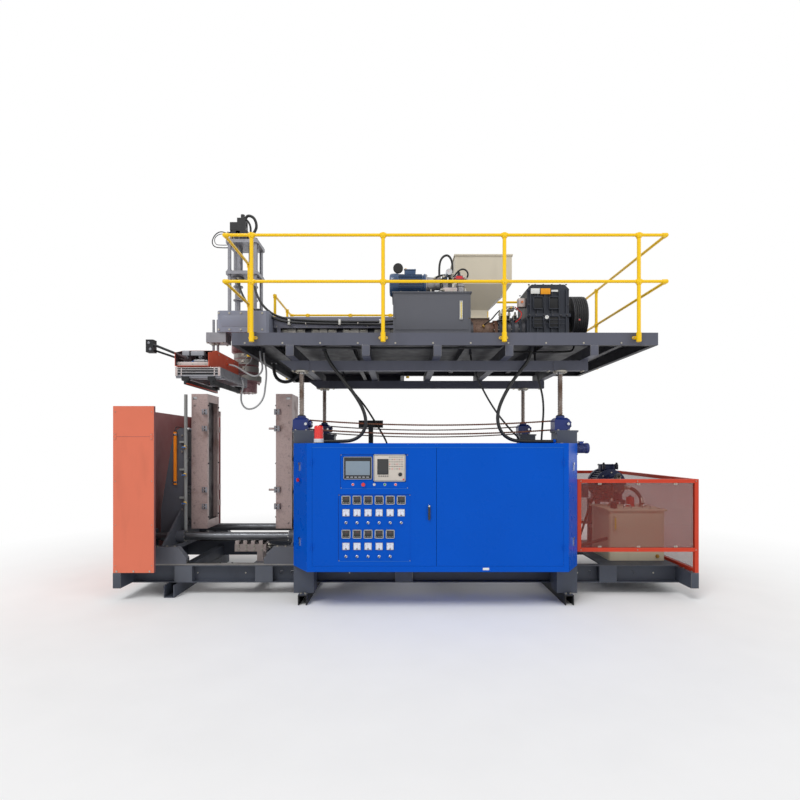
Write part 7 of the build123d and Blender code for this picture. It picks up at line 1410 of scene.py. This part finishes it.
tank = Piece()
for x, y in product((2680, 3280), (-760, -220)):
    tank.bolt((x, y, TANK_LID), "z", 12)
for x in (2900, 3150):
    tank.hose([(x - 50, -700, TANK_LID), (x - 50, -700, 1060), (x, -700, 1078), (x + 50, -700, 1060),
               (x + 50, -700, TANK_LID)], 7, bright, 12)
for x, y, radius in ((2790, -450, 34), (3200, -470, 40)):
    tank.turned((x, y, TANK_LID), "z",
                [(0, radius + 14), (10, radius + 14), (12, radius), (34, radius)], zinc, 24)
tank.turned((2730, -680, 1092), "z", [(0, 34), (6, 38), (16, 38), (20, 30)], dark_metal, 24)
tank.turned((3060, -420, TANK_LID), "z", [(0, 62), (14, 62), (16, 52), (120, 52), (128, 40)], signal_red, 32)
tank.turned((3060, -420, 1150), "z", [(0, 24), (10, 24), (12, 10), (22, 10)], dark_metal, 16)
# The tank's level glass, with a faint painted glow
tank.block((2686, -816.5, 752), (2709, -813.5, 928), level_painted_glow, 1)
for z in (764, 918):
    tank.bolt((2697.5, -814, z), FORWARD, 9)
tank.turned((3240, -800, 420), FORWARD, [(0, 26), (10, 26), (10, 18), (24, 18)], brass, 6)
tank.place("tank_fittings", "base", "tank_beige")


# Drive motors of the extruder and the lift

DRIVE_Y = 560
FOOT_TOP = DECK_TOP + 28
drive = Piece()
finned_motor(drive, 2190, 1500, DRIVE_Y, 3360, 188, motor_blue, motor_blue, 40)
for x, side in product((1700, 2060), (-1, 1)):
    drive.block((x - 60, DRIVE_Y + side * 130 - 36, DECK_TOP), (x + 60, DRIVE_Y + side * 130 + 36, FOOT_TOP),
                motor_blue, 4)
    drive.block((x - 34, DRIVE_Y + side * 130 - 22, FOOT_TOP), (x + 34, DRIVE_Y + side * 130 + 22, 3240),
                motor_blue, 5)
    drive.bolt((x + 40, DRIVE_Y + side * 130, FOOT_TOP), "z", 16)
    drive.bolt((x - 46, DRIVE_Y + side * 130, FOOT_TOP), "z", 16)
drive.hose([(1830, 480, 3585), (1820, 420, 3560), (1800, 330, 3400), (1780, 280, 3220), (1760, 260, 3104)],
           12, rubber, 12)
drive.place("extruder_motor", "deck", "motor_blue", ["main_motor"])

lift = Piece()
lift.block((2002.4, -1352, 1725), (2026, -1193, 1895), motor_blue, 4)
finned_motor(lift, 2026, 2182, -1272.5, 1810, 60, housing_blue, housing_blue, 22)
for y, z in product((-1335, -1210), (1742, 1878)):
    lift.bolt((2026, y, z), "x", 12)
lift.place("lift_motor", "base", "motor_blue", ["lift_gearmotor"])


# Clamp: platens, carriages, valves


def mirrored_x(x, side):
    """A place on the left half of the clamp, or the same place on the right half."""
    return x if side < 0 else 2 * PARTING_X - x


for side, name in ((-1, "left"), (1, "right")):
    edge = Piece()
    for z in range(790, 2500, 228):
        edge.turned((mirrored_x(-2870, side), -409.8, z), FORWARD,
                    [(0, 13), (0.9, 13), (0.9, 9.5), (0.05, 9.5)], dark_metal, 18)
    for z in (2300, 2074, 1245, 1020):
        for y, out in ((-456, -1), (76, 1)):
            face = sorted((y, y + out * 3))
            middle = mirrored_x(-2713, side)
            edge.block((middle - 36, face[0], z - 36), (middle + 36, face[1], z + 36), tower_steel, 2)
            for step in (-19, 19):
                edge.turned((middle, y + out * 2.8, z + step), (0, out, 0),
                            [(0, 12), (1.6, 12), (1.6, 8), (0.4, 8)], shadow_black, 18)
    for z, y in product((870, 1600, 2390), (-386, 6)):
        edge.socket_screw((mirrored_x(-2690, side), y, z), (-side, 0, 0), 14, dark_metal)
    edge.block((mirrored_x(-2860, side) - 30, -413, 2470),
               (mirrored_x(-2860, side) + 30, -409.5, 2506), steel, 1.5)
    for x in (-2880, -2720):
        edge.turned((mirrored_x(x, side), AXIS_Y, 2547), "z", [(0, 15), (6, 15), (6, 9), (1, 9)],
                    dark_metal, 20)
    edge.place(name + "_platen_fittings", name + "_clamp", "platen_steel")

    back = Piece()
    for z, y in product((790, 1200, 1650, 2060), (-320, -60)):
        back.bolt((mirrored_x(-3040, side), y, z), (side, 0, 0), 24)
        back.turned((mirrored_x(-2988, side), y, z), (-side, 0, 0),
                    [(0, 34), (10, 34), (12, 26), (20, 26)], steel, 24)
    for y, x in product(TIE_BARS_Y, (-3121, -2911)):
        out = -1 if x < -3000 else 1
        bolt_circle(back, (mirrored_x(x, side), y, TIE_BAR_Z), (out * -side, 0, 0), 66, 8, 10)
    for y in RAILS_Y:
        for x in (-3080, -2960, -2860):
            back.bolt((mirrored_x(x, side), y, 590), "z", 14)
        for x in (-3121, -2701):
            out = -1 if x < -3000 else 1
            tip = mirrored_x(x, side)
            tips = sorted((tip, tip - side * out * 7))
            back.block((tips[0], y - 34, 386), (tips[1], y + 34, 424), rubber, 2)
    for z in (640, 980, 1760, 1980):
        back.bolt((mirrored_x(-3014, side), -460, z), FORWARD, 12)
    back.place(name + "_carriage_fittings", name + "_clamp", "bare_steel")

sensor = Piece()
for z in (1350, 1990):
    sensor.block((-3126, -496, z - 14), (-3074, -459, z + 14), steel, 3)
    sensor.socket_screw((-3100, -496, z), FORWARD, 8, zinc)
sensor.rod((-3100, -478, 2027), (-3100, -478, 2052), 13, dark_metal)
sensor.hose([(-3100, -478, 2050), (-3100, -470, 2085), (-3090, -440, 2098), (-3060, -400, 2090),
             (-3030, -360, 2070), (-3014, -340, 2040)], 6, rubber, 10)
for z in (1070, 1450, 1820):
    sensor.block((-2978, -572, z - 9), (-2918, -560, z + 9), marker_blue, 4)
    sensor.turned((-2948, -520, z), FORWARD, [(0, 26), (14, 26), (18, 20), (36, 20)], brass, 6)
sensor.place("clamp_services", "left_clamp", "sensor_orange")

valves = Piece()
for index in range(4):
    x = -2237.5 + index * 105
    valves.block((x - 31, -461, 521), (x + 31, -369, 534), alloy, 2)
    valves.block((x - 26, -506, 532), (x + 26, -461, 574), black_plastic, 4)
    valves.block((x - 17, -500, 574), (x + 17, -468, 592), grey_plastic, 3)
    valves.turned((x, -506, 553), FORWARD, [(0, 17), (3, 17), (4, 8), (5, 8)], dark_metal, 16)
    valves.turned((x, -415, 624), "z", [(0, 14), (4, 14), (8, 9)], brass, 16)
    for z in (444, 494):
        valves.turned((x, -500, z), FORWARD, [(0, 16), (10, 16), (12, 11), (20, 11)], zinc, 6)
    valves.hose([(x, -484, 590), (x + 8, -486, 604), (x + 30, -488, 610), (x + 48, -486, 590),
                 (x + 52, -484, 521)], 4.5, rubber, 8)
for shift, drop in ((0, 0), (34, 26)):
    route = [(-1870, -380 - shift, 492 - drop), (-1780, -382 - shift, 478 - drop),
             (-1600, -384 - shift, 452 - drop), (-1300, -380 - shift, 440 - drop),
             (-1000, -366 - shift, 438 - drop), (-760, -340 - shift, 450 - drop),
             (-620, -310 - shift / 2, 490 - drop), (-560 + shift, -236, 528 - drop)]
    fitted_hose(valves, route, 13, 12)
for x, out in ((-1180, -1), (-490, 1)):
    for y, z in product((-245, -135), (473, 583)):
        valves.bolt((x, y, z), (out, 0, 0), 14)
valves.place("clamp_valves", "base", "bright_metal")

chain_run = Piece()
chain_run.hose([(-1760, -520, 2958), (-1764, -520, 2850), (-1726, -518, 2740), (-1630, -512, 2690),
                (-1520, -508, 2712), (-1430, -504, 2790), (-1384, -500, 2880), (-1343, -500, 2902)], 24,
               shadow_black, 8, ripple=3.0, pitch=26.0)
chain_run.block((-1795, -556, 2944), (-1725, -484, 2962), dark_metal, 3)
chain_run.place("energy_chain", "deck", "black_rubber")


# Parison arm, pinch frame and die

arm = Piece()
for x in (-2541, -2372):
    arm.turned((x, -1490, 2864), (0, 1, 0), [(0, 20), (12, 24), (14, 21), (50, 21)], tower_steel, 24)
    arm.turned((x, -1318, 2864), (0, 1, 0),
               [(0, 44), (30, 44), (32, 36), (520, 36), (522, 44), (560, 44)], alloy, 32)
    arm.block((x - 47, -1442, 2758), (x + 47, -1318, 2818), alloy, 4)
    for side in (-1, 1):
        arm.bolt((x + side * 32, -1442, 2786), FORWARD, 12)
        arm.turned((x + side * 20, -1300, 2908), "z", [(0, 9), (14, 9)], brass, 6)
arm.block((-2644, -1500, 2758), (-2270, -1380, 2806), pink_alloy, 3)
arm.block((-2580, -1496, 2880), (-2500, -1440, 2936), tower_steel, 3)
arm.block((-2480, -1496, 2880), (-2330, -1440, 2930), tower_steel, 3)
arm.turned((-2440, -1485, 2820), "x", [(0, 15), (120, 15), (124, 9), (150, 9)], alloy, 20)
for x in (-2600, -2460, -2310):
    arm.bolt((x, -1500, 2782), FORWARD, 9)
for y, z in product((-1200, -900, -600), (2790, 2935)):
    arm.bolt((-2651, y, z), LEFTWARD, 9)
    arm.bolt((-2262, y, z), "x", 9)
# The eyes on both faces of the lever block
for x, z in ((-2962, 3024), (-2944, 2952)):
    for start, out in ((-1505, -1), (-1415, 1)):
        arm.turned((x, start, z), (0, out, 0), [(0, 14), (3, 14), (4, 12), (4, 6), (1, 6)], tower_steel, 24)
for x, z in product((-2553, -2495), (2977, 3182)):
    arm.turned((x, -560, z), "z", [(0, 27), (16, 27)], zinc, 6)
for y, x in product((-650, -470), (-2600, -2400)):
    arm.bolt((x, y, 3198), DOWN, 14)
arm.place("arm_fittings", "deck", "guard_orange")

pinch = Piece()
for x in (-2622, -2170):
    pinch.turned((x, -1440, 2691), (0, 1, 0), [(0, 15), (900, 15)], bright, 20)
    for y in (-1496, -524):
        pinch.block((x - 26, y, 2650), (x + 26, y + 58, 2736), alloy, 4)
        pinch.socket_screw((x, y, 2720), FORWARD, 9, zinc)
for y in (-1470, -490):
    pinch.turned((-2520, y, 2716), "x", [(0, 22), (8, 26), (20, 26), (22, 20), (220, 20), (222, 26),
                                         (236, 26), (240, 12)], alloy, 28)
    pinch.rod((-2280, y, 2716), (-2200, y, 2716), 8, bright)
    for x in (-2500, -2310):
        pinch.turned((x, y, 2738), "z", [(0, 7), (12, 7), (13, 5), (20, 5)], marker_blue, 12)
pinch.hose([(-2500, -1470, 2758), (-2500, -1474, 2800), (-2440, -1476, 2826), (-2380, -1474, 2800),
            (-2310, -1470, 2758)], 4, marker_blue, 8)
for y in (-1340, -620):
    pinch.block((-2650, y - 20, 2622), (-2142, y + 20, 2640), tower_steel, 2)
pinch.block((-2630, -1502.5, 2656), (-2162, -1499.5, 2730), shadow_black, 1)
pinch.block((-2658, -1512, 2732), (-2134, -1500, 2743), pink_alloy, 2)
for low_x, high_x in ((-2656, -2628), (-2592, -2578), (-2212, -2198), (-2164, -2136)):
    pinch.block((low_x, -1510, 2642), (high_x, -1500, 2732), pink_alloy, 2)
for z in (2712, 2684):
    pinch.rod((-2628, -1507, z), (-2164, -1507, z), 6, alloy)
pinch.place("pinch_fittings", "deck", "bare_steel")
for side, name in ((-1, "left"), (1, "right")):
    bar_x = -2396 + side * 150
    inner = bar_x - side * 14
    low, high = sorted((inner, inner - side * 2.5))
    trim = Piece()
    trim.block((low, -1496, 2552), (high, -464, 2566), guard_red, 0.8)
    for y in range(-1440, -480, 160):
        trim.socket_screw((bar_x, y, 2604), "z", 7, zinc)
    trim.place(name + "_pinch_trim", name + "_pinch", "guard_red")

die = Piece()
die.turned((PARTING_X, AXIS_Y, 2738), "z", [(0, 201), (3, 205), (70, 205), (73, 201)], band_steel, 56)
die.block((-2250, -412, 2752), (-2198, -392, 2796), zinc, 4)
for x in (-2238, -2210):
    die.bolt((x, -412, 2774), FORWARD, 9)
for z in (2860, 2960, 3050):
    die.turned((PARTING_X, AXIS_Y, z), "z", [(0, 166), (2, 170), (76, 170), (78, 166)], band_steel, 52)
    die.block((-2244, -372, z + 22), (-2204, -356, z + 56), zinc, 3)
    die.hose([(-2200, -372, z + 40), (-2180, -410, z + 60), (-2130, -420, z + 110), (-2090, -380, z + 150),
              (-2080, -330, 3330)], 5, conduit_grey, 8)
bolt_circle(die, (PARTING_X, AXIS_Y, 2580), DOWN, 118, 12, 12)
bolt_circle(die, (PARTING_X, AXIS_Y, 2738), DOWN, 178, 12, 14)
for x in (-2440, -2300, -2150, -2010, -1870):
    die.bolt((x, -690, 3360), FORWARD, 13)
    die.bolt((x, -690, 3575), FORWARD, 13)
# A plate on the die head's front, in the head housing's painted light
die.block((-2400, -693, 3400), (-2060, -689.5, 3540), head_painted_light, 2)
die.place("die_fittings", "deck", "bare_steel")


# Guards, cabinet and base

guard = Piece()
SEAM_Z = 1947
# A thin dark seam across the guard's front, in the painted shade colour of the guard's inside
guard.block((-3462, -1341.2, SEAM_Z - 1.5), (-2981, -1339.8, SEAM_Z + 1.5), guard_inside_shade, 0)
for x in (-3440, -3010):
    guard.block((x - 16, GUARD_FRONT - 3, SEAM_Z - 40), (x + 16, GUARD_FRONT, SEAM_Z + 40), guard_orange, 1)
    for z in (SEAM_Z - 26, SEAM_Z + 26):
        guard.socket_screw((x, GUARD_FRONT - 3, z), FORWARD, 6, zinc)
for z in (420, 900, 1420, 2240):
    for x in (-3435, -3005):
        guard.socket_screw((x, GUARD_FRONT, z), FORWARD, 7, zinc)
    for y in (-1250, 860):
        guard.turned((-3462.9, y, z), LEFTWARD, [(0, 7), (1.4, 6)], zinc, 12)
for x in (-3420, -3220, -3030):
    guard.bolt((x, GUARD_FRONT, 352), FORWARD, 11)
guard.block((-3250, -1240, 1180), (-3190, -1232, 2080), guard_orange, 2)
# Bars inside the guard, in its painted shade
for z in (1230, 1640, 2030):
    guard.block((-3462, -1236, z - 20), (-3190, -1228, z + 20), guard_inside_shade, 2)
guard.place("left_guard_fittings", "base", "guard_orange")

frame_fittings = Piece()
for x, z in product((2070, 2740, 3430), (607, 1421)):
    frame_fittings.socket_screw((x, GUARD_FRONT, z), FORWARD, 8, zinc)
    frame_fittings.socket_screw((x, 950, z), (0, 1, 0), 8, zinc)
for x in (2300, 2760, 3200):
    for z, step in ((630, 1), (1399, -1)):
        frame_fittings.block((x - 20, -1326, min(z, z + step * 22)),
                             (x + 20, -1320, max(z, z + step * 22)), zinc, 1)
        frame_fittings.socket_screw((x, -1326, z + step * 11), FORWARD, 6, dark_metal)
frame_fittings.place("right_guard_fittings", "base", "guard_red")

lock = Piece()
lock.turned((253.5, -1759.2, 1171), FORWARD, [(0, 9.5), (1.5, 9.5), (2.2, 8.5), (2.2, 5), (1, 5)], bright, 24)
lock.block((252.6, -1762, 1166), (254.4, -1760.4, 1176), ink, 0)
lock.place("handle_lock", "handle", "black_plastic")

BEACON = (-990, -1600)
ROOF_Z = 1867
plates = Piece()
plates.block((847, -1741.4, 462), (917, -1739.8, 488), white_paint, 0.8)
for x in (852, 912):
    plates.socket_screw((x, -1741.4, 475), FORWARD, 3, zinc)
for ring in range(8):
    z = 1926 + ring * 16
    plates.turned((*BEACON, z), "z", [(0, 50), (2, 51.6), (8, 51.6), (10, 50)], beacon_lens, 36)
plates.turned((*BEACON, ROOF_Z), "z", [(0, 62), (4, 62), (8, 56)], shadow_black, 36)
for x, y in product((-1030, 1735), (-1690, -1440)):
    plates.turned((x, y, ROOF_Z), "z", [(0, 16), (3, 16), (4, 12)], zinc, 20)
# Thin lines of painted highlight across the cabinet front near its top
for left, right in ((-1042, 335), (335, 1741)):
    plates.block((left + 0.4, -1740.8, 1817.4), (right - 0.4, -1739.6, 1820), lit_blue, 0)
plates.place("cabinet_plates", "base", "cabinet_blue")

base = Piece()
for x in COLUMNS_X:
    for y, side_x, side_y in product(COLUMNS_Y, (-1, 1), (-1, 1)):
        base.bolt((x + side_x * 125.5, y + side_y * 96, 2000), DOWN, 8)
    for y, side in product((-1440, 727), (-1, 1)):
        base.bolt((x + side * 26, y, 117), "z", 16)
for x in (-2840, -1549, -1418, 2300, 2840):
    base.turned((x, -971.5, 243), FORWARD, [(0, 33), (3, 33), (3, 25.5), (0.5, 25.5)], slate, 28)
for x, y in product((-3420, 3420), (-1280, -1100, 700, 900)):
    base.bolt((x, y, 335), "z", 14)
for x, y in product((-3270, -3170, -2300, -2150), RAILS_Y):
    base.socket_screw((x, y, 384), "z", 10, dark_metal)
for x, y in product((-3340, -1010), TIE_BARS_Y):
    out = -1 if x < -2000 else 1
    bolt_circle(base, (x + out * 30, y, TIE_BAR_Z), (out, 0, 0), 74, 6, 12)
base.turned((-3200, -980, 300), FORWARD, [(0, 7), (3, 7)], zinc, 6)
for x in (-2600, -2000, -700, 2150, 3100):
    base.bolt((x, -980, 250), FORWARD, 9)
for low_x, high_x in ((-3465, -3374), (3374, 3465)):
    base.block((low_x, GUARD_FRONT - 3, 151), (high_x, GUARD_FRONT, 335), slate, 1)
base.block((-127, -1074, 162), (87, -981, 351), block_grey, 2)
base.place("base_fittings", "base", "frame_grey")

CROSS_HALF = 45.0
under = Piece()
for x, y in product((-1340, -1100, 1700, 2100), COLUMNS_Y):
    under.bolt((x, y - 30, 2730), DOWN, 14)
    under.bolt((x, y + 30, 2730), DOWN, 14)
for x in range(-1800, 2800, 420):
    under.bolt((x, -1690, 2984), FORWARD, 10)
for left, right, y, z, run_radius in ((-1240, 1130, -1480, 2970, 10), (-1240, 1130, -1450, 2967, 7),
                                      (1210, 2040, -1200, 2972, 12)):
    under.hose([(left, y, 3094), (left, y, z + 24), (left + 90, y, z), (right - 90, y, z), (right, y, z + 24),
                (right, y, 3094)], run_radius, rubber, 10)
for x in (-1300, -450, 350, 1150, 2100):
    under.block((x - CROSS_HALF, -1692.5, 2846), (x + CROSS_HALF, -1690, 2960), deck_paint, 1)
under.place("deck_underside", "deck", "frame_grey")
